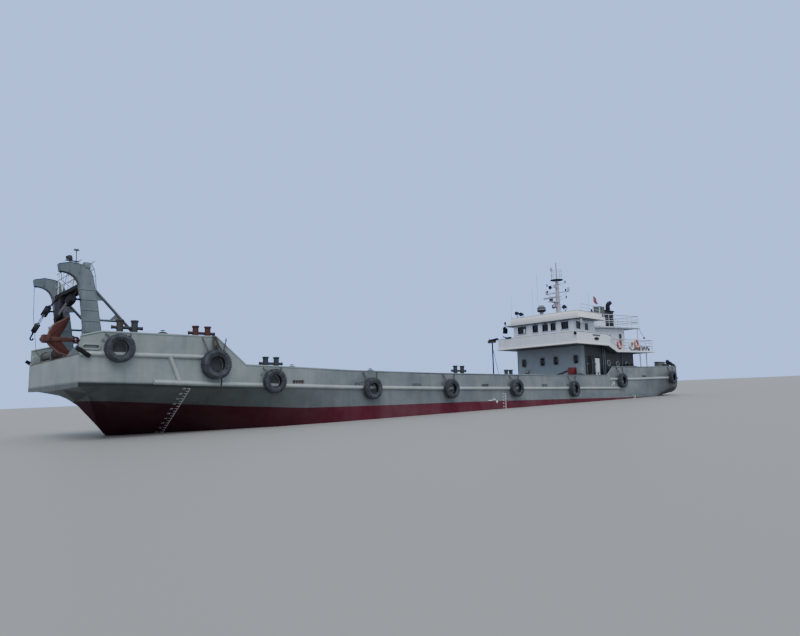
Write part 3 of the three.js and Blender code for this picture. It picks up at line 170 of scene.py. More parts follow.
def weather_group():
    """Paint that has faded in patches, with dirt washed down it, rust in spots, and painted shade on the
    faces that look down.
    """
    group, given, out = new_group("weather",
                                  [(VECTOR, "Place", None), (COLOUR, "Paint", (0.5, 0.5, 0.5, 1)),
                                   (COLOUR, "Dirt", rgb(74, 66, 58)), (COLOUR, "Rust", rgb(112, 62, 34)),
                                   (VALUE, "Dirt Share", 0.3), (VALUE, "Rust Share", 0.2),
                                   (VALUE, "Gloss", 0.5), (VALUE, "Fade Share", 0.16),
                                   (VALUE, "Under Share", 0.6)], [(COLOUR, "Colour"), (VALUE, "Roughness"),
                                                                  (VALUE, "Height")])
    tree = Tree(group)
    place = given["Place"]
    patches = tree.ramp(tree.noise(place, 1.3, 4), 0.35, 0.7)
    faded = tree.mix(tree.times(patches, given["Fade Share"]), given["Paint"], rgb(235, 236, 232))
    runs = tree.noise(tree.stretched(place, (9, 9, 0.7)), 1.0, 5, 0.6)
    grime = tree.times(tree.ramp(runs, 0.46, 0.78), given["Dirt Share"])
    soft = tree.times(tree.ramp(tree.noise(place, 5, 5), 0.4, 0.75), given["Dirt Share"])
    dirty = tree.mix(tree.plus(grime, tree.times(soft, 0.5)), faded, given["Dirt"])
    spots = tree.ramp(tree.noise(place, 17, 6, 0.65), 0.64, 0.72)
    drips = tree.ramp(tree.noise(tree.stretched(place, (16, 16, 0.9)), 1.0, 4, 0.5), 0.66, 0.8)
    rusty = tree.times(tree.larger(spots, drips), given["Rust Share"])
    colour = tree.mix(rusty, dirty, given["Rust"])
    # Painted shade: faces that look down turn towards near black, by the share Under Share.
    under = tree.times(tree.ramp(tree.axes(tree.facing())["Z"], -0.06, -0.3), given["Under Share"])
    grain = tree.noise(place, 140, 3, 0.6)
    rough = tree.plus(given["Gloss"], tree.times(tree.plus(rusty, grime), 0.35))
    rough = tree.plus(rough, tree.times(tree.minus(grain, 0.5), 0.12))
    tree.feed(out["Colour"], tree.mix(under, colour, rgb(24, 22, 26)))
    tree.feed(out["Roughness"], tree.math("MINIMUM", rough, 0.96))
    tree.feed(out["Height"], tree.plus(tree.times(grain, 0.25), tree.times(rusty, 0.9)))
    return group


def seam_group():
    """Weld seams between plates laid in rows, and the shallow dents of plate between its frames."""
    group, given, out = new_group("seams", [(VECTOR, "Place", None), (VALUE, "Length", 1.5),
                                            (VALUE, "Width", 0.62), (VALUE, "Bead", 0.006)],
                                  [(VALUE, "Seam"), (VALUE, "Height")])
    tree = Tree(group)
    bricks = tree.add("ShaderNodeTexBrick", {"offset": 0.35}, Vector=given["Place"], Color1=(0, 0, 0, 1),
                      Color2=(0, 0, 0, 1), Mortar=(1, 1, 1, 1), Scale=1.0, Mortar_Smooth=0.6,
                      Mortar_Size=given["Bead"], Brick_Width=given["Length"], Row_Height=given["Width"])
    seam = bricks.outputs["Fac"]
    dents = tree.add("ShaderNodeTexWave", {"wave_profile": "SIN", "bands_direction": "X"},
                     Vector=given["Place"], Scale=1.1, Distortion=0.6)
    tree.feed(out["Seam"], seam)
    tree.feed(out["Height"], tree.plus(tree.times(seam, 0.3), tree.times(dents.outputs["Fac"], 0.3)))
    return group


def edge_group():
    """How near a surface is to a sharp edge, and the softened normal there."""
    group, given, out = new_group("edges", [(VALUE, "Reach", 0.006), (VECTOR, "Place", None)],
                                  [(VALUE, "Edge"), (VECTOR, "Normal")])
    tree = Tree(group)
    soft = tree.add("ShaderNodeBevel", {"samples": 4}, Radius=given["Reach"]).outputs["Normal"]
    turn = tree.add("ShaderNodeVectorMath", {"operation": "DOT_PRODUCT"})
    tree.feed(turn.inputs[0], soft)
    tree.feed(turn.inputs[1], tree.facing())
    near = tree.ramp(turn.outputs["Value"], 0.98, 0.8)
    broken = tree.ramp(tree.noise(given["Place"], 26, 4), 0.42, 0.6)
    tree.feed(out["Edge"], tree.times(near, broken))
    tree.feed(out["Normal"], soft)
    return group


WEATHER_AND_SHADE = weather_group()
SEAMS = seam_group()
EDGES = edge_group()


# Materials
def new_material(name):
    """A material, its tree and its shader."""
    material = bpy.data.materials.new(name)
    material.use_nodes = True
    return material, Tree(material.node_tree), material.node_tree.nodes["Principled BSDF"]


def flare(tree, spot, facing, normal):
    """Evens out the facing of the plates under the bow and the counter, which curve softly. The flare goes by
    its place, so that its flat plates don't show. Gives the normal, how much painted shade a place gets, and
    the share of it that is below the flare's upper edge."""
    level = tree.minus(spot["Z"], tree.times(spot["X"], 0.0436))
    low = tree.ramp(level, 0.56, 0.51)
    fore = tree.ramp(spot["X"], 4.0, 5.0)
    bow_side = tree.times(low, tree.ramp(spot["X"], 6.3, 10.3))
    bow_face = tree.times(tree.ramp(facing["Z"], -0.2, -0.5), tree.ramp(spot["X"], 12.2, 12.6))
    counter = tree.times(tree.ramp(facing["Z"], -0.1, -0.3), tree.minus(1.0, fore))
    shade = tree.larger(tree.larger(bow_side, counter), bow_face)
    across = tree.times(tree.math("SIGN", facing["Y"]), tree.minus(1.0, tree.times(shade, 0.48)))
    softened = tree.add("ShaderNodeCombineXYZ", X=tree.times(shade, 0.12), Y=across,
                        Z=tree.minus(tree.times(shade, -0.74), 0.1)).outputs["Vector"]
    share = tree.times(tree.larger(tree.times(low, fore), shade), 0.94)
    broad = tree.ramp(tree.math("ABSOLUTE", facing["Y"]), 0.08, 0.2)
    blend = tree.add("ShaderNodeMix", {"data_type": "VECTOR"})
    tree.feed(blend.inputs[0], tree.times(share, tree.larger(broad, counter)))
    tree.feed(blend.inputs[4], normal)
    tree.feed(blend.inputs[5], softened)
    unit = tree.add("ShaderNodeVectorMath", {"operation": "NORMALIZE"})
    tree.feed(unit.inputs[0], blend.outputs[1])
    # Painted shade under the bow's flare and on the faces that look down at the bow and the counter.
    dark = tree.larger(tree.larger(bow_side, bow_face), tree.times(counter, 0.35))
    return unit.outputs["Vector"], dark, low


def painted(name, paint, dirt=0.3, rust=0.2, gloss=0.5, worn=(110, 80, 60), plates=None,
            dirt_colour=(74, 66, 58), fade=0.16, under=0.6, aft=None, sides=None, hull=False):
    """Paint on steel. plates is (length, width) of the plates between weld seams, in metres of the model.
    aft is another colour and where it takes over: (colour, x where it starts, x where it is full).
    sides is another colour for the faces that look to port and starboard, used for painted shade.
    hull evens out the flare, paints shade under it and on the counter, and makes the low stern quarter
    darker."""
    material, tree, shader = new_material(name)
    place = tree.place()
    spot = tree.axes(place)
    facing = tree.axes(tree.facing())
    paint = rgb(*paint)
    if aft:
        aft_colour, start, full = aft
        paint = tree.mix(tree.ramp(spot["X"], start, full), paint, rgb(*aft_colour))
    if sides:
        paint = tree.mix(tree.ramp(tree.math("ABSOLUTE", facing["Y"]), 0.6, 0.7), paint, rgb(*sides))
    weather = tree.group(WEATHER_AND_SHADE, Place=place, Paint=paint, Dirt=rgb(*dirt_colour), Dirt_Share=dirt,
                         Rust_Share=rust, Gloss=gloss, Fade_Share=fade, Under_Share=0.0 if hull else under)
    edges = tree.group(EDGES, Place=place, Reach=0.008)
    colour = tree.mix(tree.times(edges["Edge"], 0.6), weather["Colour"], rgb(*worn))
    height = weather["Height"]
    normal = edges["Normal"]
    if plates:
        length, width = plates
        flat = tree.add("ShaderNodeMapping", Vector=place, Rotation=(math.radians(-90), 0, 0))
        seams = tree.group(SEAMS, Place=flat.outputs["Vector"], Length=length, Width=width)
        colour = tree.mix(tree.times(seams["Seam"], 0.13), colour, rgb(84, 90, 96))
        height = tree.plus(height, seams["Height"])
    if hull:
        normal, dark, low = flare(tree, spot, facing, normal)
        # Darker towards the low part of the stern quarter.
        stern_quarter_darkening = tree.times(tree.ramp(spot["X"], -7.8, -10.2), tree.ramp(spot["Z"], 1.3, 0.6))
        # Mixed in: the darker stern quarter, painted shade under the flare and the counter, and a little
        # painted shade below the flare's upper edge.
        for share, tone in ((tree.times(stern_quarter_darkening, 0.6), (46, 46, 50)), (tree.times(dark, 0.62), (12, 9, 12)),
                            (tree.times(low, 0.12), (20, 18, 22))):
            colour = tree.mix(share, colour, rgb(*tone))
        shader.inputs["Specular IOR Level"].default_value = 0.3
    raised = tree.add("ShaderNodeBump", Strength=0.35, Distance=0.004, Height=height, Normal=normal)
    tree.feed_all(shader, Base_Color=colour, Roughness=weather["Roughness"],
                  Normal=raised.outputs["Normal"])
    return material


def rubber():
    """Tyre rubber: worn grey on the high places, dusty, with fine grain."""
    material, tree, shader = new_material("rubber")
    place = tree.place()
    dust = tree.ramp(tree.noise(place, 9, 6, 0.65), 0.42, 0.72)
    grain = tree.noise(place, 160, 4, 0.7)
    edges = tree.group(EDGES, Place=place, Reach=0.006)
    colour = tree.mix(tree.times(dust, 0.5), rgb(54, 57, 64), rgb(114, 114, 118))
    colour = tree.mix(tree.times(edges["Edge"], 0.5), colour, rgb(120, 116, 112))
    bump = tree.add("ShaderNodeBump", Strength=0.4, Distance=0.003, Height=grain, Normal=edges["Normal"])
    tree.feed_all(shader, Base_Color=colour, Roughness=tree.plus(tree.times(grain, 0.2), 0.74),
                  Normal=bump.outputs["Normal"])
    return material


def rusted(name, base, rust_share, gloss=0.7, metal=0.0, rust=(118, 66, 46)):
    """Bare or thinly painted steel that has rusted in patches and scale."""
    material, tree, shader = new_material(name)
    place = tree.place()
    scale = tree.noise(place, 22, 8, 0.7)
    patches = tree.ramp(tree.noise(place, 7, 6, 0.6), 0.68 - rust_share * 0.36, 0.8 - rust_share * 0.3)
    deep = tree.mix(tree.ramp(scale, 0.35, 0.7), rgb(62, 36, 28), rgb(*rust))
    edges = tree.group(EDGES, Place=place, Reach=0.006)
    colour = tree.mix(tree.times(edges["Edge"], 0.5), tree.mix(patches, rgb(*base), deep), rgb(58, 36, 26))
    pits = tree.times(tree.noise(place, 90, 5, 0.7), scale)
    bump = tree.add("ShaderNodeBump", Strength=0.5, Distance=0.004, Height=pits, Normal=edges["Normal"])
    tree.feed_all(shader, Base_Color=colour, Roughness=tree.plus(tree.times(patches, 0.2), gloss),
                  Normal=bump.outputs["Normal"])
    if metal:
        tree.feed_all(shader, Metallic=tree.minus(metal, tree.times(patches, metal)))
    return material


def window_glass():
    """Glass painted dark as the shade of the room behind it, which mirrors the sky at a slant; rain marks
    roughen it.
    """
    material, tree, shader = new_material("window_glass")
    streaks = tree.noise(tree.stretched(tree.place(), (30, 30, 6)), 1.0, 4)
    tree.feed_all(shader, Base_Color=tree.mix(tree.ramp(streaks, 0.4, 0.8), rgb(12, 13, 20),
                                              rgb(26, 28, 36)),
                  Roughness=tree.times(tree.ramp(streaks, 0.3, 0.9), 0.25), Specular_IOR_Level=0.4)
    return material


def rope_lay(name, light, dark, windings):
    """Twisted rope or wire: strands wound across the run of the piece."""
    material, tree, shader = new_material(name)
    place = tree.place()
    strands = tree.add("ShaderNodeTexWave", {"bands_direction": "DIAGONAL"}, Vector=place, Scale=windings,
                       Distortion=1.5, Detail=2).outputs["Fac"]
    dirt = tree.times(tree.ramp(tree.noise(place, 12, 4), 0.4, 0.8), 0.5)
    colour = tree.mix(dirt, tree.mix(strands, rgb(*dark), rgb(*light)), rgb(70, 62, 54))
    bump = tree.add("ShaderNodeBump", Strength=0.7, Distance=0.003, Height=strands)
    tree.feed_all(shader, Base_Color=colour, Roughness=0.85, Normal=bump.outputs["Normal"])
    return material


def lamp_glass(name, colour):
    """Ribbed coloured glass."""
    material, tree, shader = new_material(name)
    rings = tree.add("ShaderNodeTexWave", {"bands_direction": "Z"}, Vector=tree.place(), Scale=60.0)
    tree.feed_all(shader, Roughness=0.15, Coat_Weight=0.6,
                  Base_Color=tree.mix(tree.times(rings.outputs["Fac"], 0.4), rgb(*colour),
                                      rgb(240, 240, 236)))
    return material


# Paints: colour on the screen, then how dirty and how rusty
# The hull turns darker and bluer towards the stern (aft): painted shade. hull=True paints shade under the
# flare and on the counter.
HULL_PAINT = painted("hull_paint", (140, 151, 150), dirt=0.2, plates=(2.9, 0.62),
                     aft=((117, 125, 129), 9.8, 6.5), worn=(122, 104, 92), hull=True)
BOTTOM_PAINT = painted("bottom_paint", (104, 22, 46), dirt=0.2, rust=0.15, gloss=0.75, worn=(60, 40, 40),
                       dirt_colour=(62, 40, 52), fade=0.06, hull=True)
# Strakes lighter than the hull: painted highlight along them, with a little painted shade on their undersides
# (under=0.25).
STRAKE_HIGHLIGHT_PAINT = painted("strake_paint", (166, 176, 174), dirt=0.2, under=0.25, worn=(140, 128, 118))
DECK_PAINT = painted("deck_paint", (98, 72, 60), dirt=0.6, rust=0.7, gloss=0.8)
# The house's side walls take the near-black sides colour: painted shade under the boat deck.
HOUSE_PAINT = painted("house_paint", (158, 171, 182), dirt=0.1, rust=0.08, sides=(8, 13, 26), fade=0.02)
RIM_PAINT = painted("rim_paint", (128, 136, 146), dirt=0.2)
MAST_PAINT = painted("mast_paint", (178, 174, 184), rust=0.25, dirt_colour=(104, 98, 104), fade=0.1)
ARM_PAINT = painted("arm_paint", (100, 114, 122), dirt=0.25, aft=((66, 72, 80), 12.2, 12.15))
DOME_GREY = painted("dome_grey", (112, 118, 126), rust=0.05)
# under=0.9: strong painted shade under decks, roofs and overhangs.
WHITE_PAINT = painted("white_paint", (232, 238, 250), dirt=0.16, rust=0.16, worn=(160, 146, 134),
                      dirt_colour=(112, 112, 118), fade=0.1, under=0.9)
# A lighter copy of the white paint for the roof's brim: painted light, as the brim is lit more than the
# walls.
LIT_BRIM_WHITE = painted("brim_white", (250, 252, 255), dirt=0.1, rust=0.1, worn=(190, 184, 180),
                     dirt_colour=(130, 130, 138), fade=0.05, under=0.9)
# Pure white without the painted shade of faces that look down: a painted highlight along the deck's edge
# moulding.
HIGHLIGHT_WHITE = painted("edge_white", (255, 255, 255), dirt=0.06, rust=0.05, under=0.0, fade=0.02)
MARK_WHITE = painted("mark_white", (238, 238, 234), dirt=0.12, rust=0.08, under=0.0, worn=(200, 196, 190))
BLACK_PAINT = painted("black_paint", (15, 16, 20), dirt=0.12, rust=0.1, gloss=0.6,
                      worn=(84, 72, 64), fade=0.03)
# Deep black paint for black parts; also painted shade where an opening or underside is shown in black: the
# fore doorway, the dodger's ports and louvre, the mast's platform, the strip under the roof's wing.
BLACK_AND_SHADE = painted("soot_black", (14, 13, 18), dirt=0.05, rust=0.04, gloss=0.85,
                     worn=(30, 28, 32), fade=0.0)
GREEN_PAINT = painted("green_paint", (96, 112, 100), dirt=0.35, rust=0.3)
METER_GREY = painted("meter_grey", (150, 160, 156), dirt=0.2, rust=0.1)
TYRE_SHADOW_PAINT = painted("scraped_plate", (84, 88, 92), dirt=0.6, rust=0.5, gloss=0.75, fade=0.05)
RED_PAINT = painted("red_paint", (138, 14, 36), dirt=0.2, rust=0.1)
BUOY_ORANGE = painted("buoy_orange", (206, 74, 40), dirt=0.15, rust=0.0, gloss=0.6, worn=(226, 150, 120))
BUOY_WHITE = painted("buoy_white", (228, 226, 218), dirt=0.15, rust=0.0, gloss=0.6, worn=(200, 196, 186))
BUOY_RED = painted("buoy_red", (186, 38, 44), dirt=0.15, rust=0.0, gloss=0.6, worn=(214, 120, 110))

# Metal: its colour, then the share that has rusted
RUSTY_ORANGE = rusted("rusty_orange", (124, 66, 46), 0.6, rust=(158, 96, 62))
RUSTY_STEEL = rusted("rusty_steel", (104, 104, 100), 0.35, gloss=0.55, metal=0.5)
RUSTY_GREY = rusted("rusty_grey", (98, 100, 96), 0.4)
RUSTY_RED = rusted("rusty_red", (84, 52, 46), 0.5, rust=(112, 72, 58))
RUSTY_DARK = rusted("rusty_dark", (62, 66, 66), 0.4)
ANCHOR_RED = rusted("anchor_red", (86, 42, 38), 0.35, gloss=0.8, rust=(96, 52, 42))
ANCHOR_WORN = rusted("anchor_worn", (122, 92, 84), 0.45, rust=(132, 88, 72))
ANCHOR_BROWN = rusted("anchor_brown", (98, 60, 56), 0.45, rust=(124, 78, 64))
DARK_STEEL = rusted("dark_steel", (40, 38, 44), 0.25, gloss=0.55, metal=0.4)
BRONZE = rusted("propeller_bronze", (150, 118, 66), 0.12, gloss=0.3, metal=0.9)

# Rope, rubber and glass
RUBBER = rubber()
GLASS = window_glass()
WIRE = rope_lay("wire_rope", (92, 88, 84), (36, 34, 34), 60)
FALL_WIRE = rope_lay("fall_wire", (168, 164, 176), (108, 104, 114), 40)
BUNDLE_WIRE = rope_lay("bundle_wire", (96, 88, 110), (46, 42, 54), 50)
ROPE = rope_lay("mooring_rope", (150, 138, 118), (84, 74, 64), 30)
RED_LAMP = lamp_glass("red_lamp", (170, 26, 22))
GREEN_LAMP = lamp_glass("green_lamp", (22, 120, 70))

FINISH_OF_NODES = {HULL_PAINT: ["hull_topsides", "bulwark_port", "bulwark_starboard"],
                   BOTTOM_PAINT: ["hull_bottom", "rudder_port", "rudder_starboard"],
                   DECK_PAINT: ["main_deck", "foredeck", "quarterdeck", "hatch_lid_1", "hatch_lid_2"],
                   ARM_PAINT: ["gantry_arm_port", "gantry_arm_starboard"], HOUSE_PAINT: ["deckhouse_walls"],
                   WHITE_PAINT: ["house_door_aft", "house_door_starboard", "bridge_deck",
                                 "bridge_deck_railing", "top_deck", "top_deck_railing", "wheelhouse_walls",
                                 "wheelhouse_door_port", "wheelhouse_door_starboard", "cabin_walls",
                                 "wheelhouse_roof", "liferaft", "gantry_catwalk"],
                   MAST_PAINT: ["mast", "radar_scanner"], DOME_GREY: ["antenna_dome"],
                   # The fore door in deep black: painted shade of an open doorway.
                   BLACK_PAINT: ["funnel", "exhaust_pipe"], BLACK_AND_SHADE: ["house_door_fore"],
                   GREEN_PAINT: ["windlass_frame", "vent_casing", "stern_locker"],
                   RUSTY_STEEL: ["roller_stand", "bow_roller", "windlass_drum", "stern_capstan",
                                 "main_engines", "stern_tube_port", "stern_tube_starboard", "tackle_port",
                                 "tackle_starboard"], RUSTY_ORANGE: ["anchor"],
                   BRONZE: ["propeller_port", "propeller_starboard"], GLASS: ["wheelhouse_front_glass"],
                   RUBBER: ["fender_belt_port", "fender_belt_starboard"], }
for finish, names in FINISH_OF_NODES.items():
    for name in names:
        nodes[name].data.materials.clear()
        nodes[name].data.materials.append(finish)


# Ways of shaping
def clear():
    """Nothing is open and nothing is selected."""
    if bpy.context.object and bpy.context.object.mode != "OBJECT":
        bpy.ops.object.mode_set(mode="OBJECT")
    bpy.ops.object.select_all(action="DESELECT")


def rounded_block(low, high, edge=0.01, steps=2):
    """A block between two corners, its edges rounded."""
    clear()
    bpy.ops.mesh.primitive_cube_add(size=1, location=[(a + b) / 2 for a, b in zip(low, high)])
    bpy.ops.transform.resize(value=[b - a for a, b in zip(low, high)])
    bpy.ops.object.transform_apply()
    bpy.ops.object.mode_set(mode="EDIT")
    bpy.ops.mesh.select_all(action="SELECT")
    bpy.ops.mesh.bevel(offset=edge, segments=steps)
    bpy.ops.object.mode_set(mode="OBJECT")
    return bpy.context.object


def tube(points, radius, sides=8, closed=False):
    """A round bar or pipe bent along points."""
    clear()
    curve = bpy.data.curves.new("tube", "CURVE")
    curve.dimensions = "3D"
    curve.bevel_depth = radius
    curve.bevel_resolution = max(0, (sides - 4) // 2)
    curve.use_fill_caps = not closed
    line = curve.splines.new("POLY")
    line.points.add(len(points) - 1)
    for point, place in zip(line.points, points):
        point.co = (*place, 1)
    line.use_cyclic_u = closed
    piece = bpy.data.objects.new("tube", curve)
    bpy.context.scene.collection.objects.link(piece)
    piece.select_set(True)
    bpy.context.view_layer.objects.active = piece
    bpy.ops.object.convert(target="MESH")
    return bpy.context.object


def spun(profile, place=(0, 0, 0), axis="Z", steps=24):
    """A profile of (radius, height) points spun round an axis through a place."""
    clear()
    bpy.ops.mesh.primitive_plane_add(size=1)
    piece = bpy.context.object
    bpy.ops.object.mode_set(mode="EDIT")
    bpy.ops.mesh.select_all(action="SELECT")
    bpy.ops.mesh.merge(type="CENTER")
    bpy.ops.transform.translate(value=(profile[0][0], 0, profile[0][1]))
    for (r0, h0), (r1, h1) in zip(profile, profile[1:]):
        bpy.ops.mesh.extrude_region_move(TRANSFORM_OT_translate={"value": (r1 - r0, 0, h1 - h0)})
    bpy.ops.mesh.select_all(action="SELECT")
    bpy.ops.mesh.spin(steps=steps, angle=2 * math.pi, center=(0, 0, 0), axis=(0, 0, 1))
    bpy.ops.mesh.select_all(action="SELECT")
    bpy.ops.mesh.remove_doubles(threshold=0.0005)
    bpy.ops.mesh.normals_make_consistent(inside=False)
    bpy.ops.object.mode_set(mode="OBJECT")
    turn = {"X": Matrix.Rotation(math.pi / 2, 4, "Y"), "Y": Matrix.Rotation(-math.pi / 2, 4, "X"),
            "Z": Matrix.Identity(4)}[axis]
    piece.data.transform(Matrix.Translation(place) @ turn)
    return piece


def plate(outline, across, low, high, edge=0.0):
    """A flat outline of (u, v) points, as thick as from low to high along the axis that it lies across."""
    clear()
    order = {"X": lambda u, v, w: (w, u, v), "Y": lambda u, v, w: (u, w, v), "Z": lambda u, v,
             w: (u, v, w)}[across]
    bpy.ops.mesh.primitive_circle_add(vertices=len(outline), fill_type="NGON")
    piece = bpy.context.object
    for vertex, (u, v) in zip(piece.data.vertices, outline):
        vertex.co = order(u, v, low)
    bpy.ops.object.mode_set(mode="EDIT")
    bpy.ops.mesh.select_all(action="SELECT")
    bpy.ops.mesh.extrude_region_move(TRANSFORM_OT_translate={"value": order(0, 0, high - low)})
    bpy.ops.mesh.select_all(action="SELECT")
    bpy.ops.mesh.normals_make_consistent(inside=False)
    if edge:
        bpy.ops.mesh.bevel(offset=edge, segments=2)
    bpy.ops.object.mode_set(mode="OBJECT")
    return piece


def copy_of(piece, move):
    """A moved copy, with its faces still outwards when the move mirrors it."""
    twin = bpy.data.objects.new(piece.name, piece.data.copy())
    twin.data.transform(move)
    if move.determinant() < 0:
        twin.data.flip_normals()
    bpy.context.scene.collection.objects.link(twin)
    return twin


def turned(degrees, axis):
    return Matrix.Rotation(math.radians(degrees), 4, axis)


def shift(x=0.0, y=0.0, z=0.0):
    return Matrix.Translation((x, y, z))


PORT_TO_STARBOARD = Matrix.Scale(-1, 4, (0, 1, 0))


def row_of(piece, moves):
    """The piece stays where it is, and a copy of it goes to each move."""
    return [piece] + [copy_of(piece, move) for move in moves]


def both(piece):
    """The piece and its mirror image as one."""
    return together(piece, copy_of(piece, PORT_TO_STARBOARD))


def together(*pieces):
    """Several pieces, or lists of them, as one."""
    clear()
    flat = [p for item in pieces for p in (item if isinstance(item, (list, tuple)) else [item])]
    for piece in flat:
        piece.select_set(True)
    bpy.context.view_layer.objects.active = flat[0]
    if len(flat) > 1:
        bpy.ops.object.join()
    return bpy.context.object


def settle(piece, name, finish, body="vessel", smooth=30, stands_for=()):
    """Brings a shaped piece to the model's size and place, and gives it its finish."""
    piece.name = name
    piece.data.name = name
    piece.data.transform(TO_MODEL)
    piece.data.materials.clear()
    piece.data.materials.append(finish)
    clear()
    piece.select_set(True)
    bpy.context.view_layer.objects.active = piece
    if smooth:
        bpy.ops.object.shade_smooth_by_angle(angle=math.radians(smooth))
    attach(piece, body)
    if stands_for:
        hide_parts(*stands_for)
    return piece


def circle(count):
    """Angles of places evenly spaced round a circle."""
    return [2 * math.pi * step / count for step in range(count)]


def oval(x, z, wide, tall, count):
    """Points evenly spaced round an oval about (x, z)."""
    return [(x + wide * math.cos(turn), z + tall * math.sin(turn)) for turn in circle(count)]


def upright(x, y, low, high, radius, sides=8):
    """A round post."""
    return tube([(x, y, low), (x, y, high)], radius, sides)


def hoop(radius, wide, deep, place=(0, 0, 0), axis="Z", steps=18):
    """A ring of diamond section, wide to each side of its radius and deep to each side of its middle."""
    return spun([(radius, -deep), (radius + wide, 0.0), (radius, deep), (radius - wide, 0.0),
                 (radius, -deep)], place, axis, steps)


def sheave(radius, root, half, place, steps=18):
    """A grooved wheel that turns about Y."""
    return spun([(0.02, -half), (radius, -half), (root, 0.0), (radius, half), (0.02, half)],
                place, "Y", steps)


def bolt(x, y, z):
    """Hexagonal head and the end of its stud."""
    return spun([(0.0, 0.05), (0.03, 0.05), (0.035, 0.02), (0.035, 0.0), (0.0, 0.0)], (x, y, z), "Z", 6)


def spread(start, end, count):
    """The middles of count equal parts of a run."""
    return [start + (end - start) * (k + 0.5) / count for k in range(count)]


def joined(parts_of):
    """A maker whose parts become one piece."""
    def make(*places, **sizes):
        return together(*parts_of(*places, **sizes))
    return make


# Sizes of the real vessel in metres, the same as the solids have
HALF_BEAM = 3.89
STERN_ARC_X = -23.24
STERN_RADIUS = 2.16
TYRE_RADIUS = 0.54
TYRE_HALF_WIDTH = 0.15
STRAKE_RADIUS = 0.1
BITT_Y = 3.4
# Runs along the hull as (x, z)
LOWER_STRAKE = [(23.1, 1.56), (21.2, 1.5), (18.9, 1.45), (13.3, 1.32), (6.9, 1.25),
                (-3.8, 1.21), (-13.45, 1.2)]
STERN_STRAKE = [(-11.82, 1.88), (-15.9, 1.92), (-20.3, 2.04)]
UPPER_STRAKE = [(25.82, 2.6), (22.4, 2.6), (20.9, 2.6)]
# Place along the hull, height of the middle and radius of each tyre
TYRES = [(24.5, 2.82, TYRE_RADIUS), (20.6, 2.3, 0.62), (17.8, 1.61, TYRE_RADIUS), (12.1, 1.26, TYRE_RADIUS),
         (6.25, 1.22, TYRE_RADIUS), (0.16, 1.24, TYRE_RADIUS), (-6.5, 1.16, TYRE_RADIUS),
         (-13.4, 1.78, TYRE_RADIUS), (-22.3, 2.1, TYRE_RADIUS)]
QUARTER_TYRE_X = -21
BULWARK_STEPS = (19.9, -12.2)
BULWARK_TOP = [(25.8, 3.25), (25.1, 3.44), (20.5, 3.47), (19.9, 2.97), (19.1, 2.31), (16.25, 2.24),
               (13.3, 2.15), (6.9, 2.09), (-3.9, 2.08), (-10.5, 2.16), (-11.5, 2.16), (-12.2, 2.68),
               (-12.4, 2.83), (-16.9, 2.92), (-21.5, 3.05)]


def along(table, x):
    """The value at x of a table of (x, value) rows."""
    rows = sorted(table)
    if x <= rows[0][0]:
        return rows[0][1]
    for (x0, v0), (x1, v1) in zip(rows, rows[1:]):
        if x <= x1:
            return v0 + (v1 - v0) * (x - x0) / (x1 - x0)
    return rows[-1][1]


def stern_arc(out, z, steps=12):
    """Points round the port quarter to the middle of the stern, outside the hull by out."""
    radius = STERN_RADIUS + out
    turns = [math.pi / 2 * step / steps for step in range(steps + 1)]
    arc = [(STERN_ARC_X - radius * math.sin(turn), HALF_BEAM - STERN_RADIUS + radius * math.cos(turn), z)
           for turn in turns]
    return arc + [(STERN_ARC_X - radius, 0.0, z)]


# Rubbing strakes
def strakes():
    """Half-round rubbing strakes of the port side."""
    lower = tube([(x, HALF_BEAM, z) for x, z in LOWER_STRAKE], STRAKE_RADIUS, 16)
    upper = tube([(x, HALF_BEAM, z) for x, z in UPPER_STRAKE], STRAKE_RADIUS, 16)
    stern = tube([(x, HALF_BEAM, z) for x, z in STERN_STRAKE] + stern_arc(0.0, 2.08), STRAKE_RADIUS, 16)
    riser = tube([(22.5, HALF_BEAM, 2.6), (22.05, HALF_BEAM, 1.52)], STRAKE_RADIUS, 16)
    hidden = tube([(-13.42, HALF_BEAM, 1.22), (-13.85, HALF_BEAM, 1.9)], STRAKE_RADIUS, 16)
    return together(lower, upper, stern, riser, hidden)


def tyre():
    """A worn lorry tyre about its middle, its axle along Y: sidewalls with ribs, tread, bead and liner."""
    section = [(0.29, -0.075), (0.3, -0.11), (0.33, -0.125), (0.36, -0.132), (0.37, -0.14), (0.42, -0.15),
               (0.43, -0.156), (0.44, -0.15), (0.48, -0.142), (0.505, -0.125), (0.527, -0.1),
               (0.54, -0.085), (0.54, -0.06), (0.522, -0.055), (0.522, -0.038), (0.54, -0.033), (0.54, 0.0)]
    outer = section + [(r, -w) for r, w in reversed(section[:-1])]
    inner = [(0.33, 0.093), (0.47, 0.093), (0.5, 0.0), (0.47, -0.093), (0.33, -0.093)]
    shell = spun(outer + inner + [outer[0]], axis="Y", steps=36)
    lug = rounded_block((0.515, -0.125, -0.012), (0.549, -0.05, 0.03), 0.004, 1)
    lugs = row_of(lug, [turned(10 * turn, "Y") for turn in range(1, 36)])
    far = [copy_of(piece, turned(5, "Y") @ PORT_TO_STARBOARD) for piece in lugs]
    return together(shell, lugs, far)


ONE_TYRE = tyre()


@joined
def hung_tyres():
    """A worn tyre at each place, turned by chance."""
    for x, z, radius in TYRES:
        size = radius / TYRE_RADIUS
        lean = turned(chance.uniform(0, 360), "Y")
        tilt = turned(chance.uniform(-3, 3), "Z")
        place = shift(x, HALF_BEAM + STRAKE_RADIUS + TYRE_HALF_WIDTH, z)
        yield copy_of(ONE_TYRE, place @ tilt @ Matrix.Scale(size, 4) @ lean)


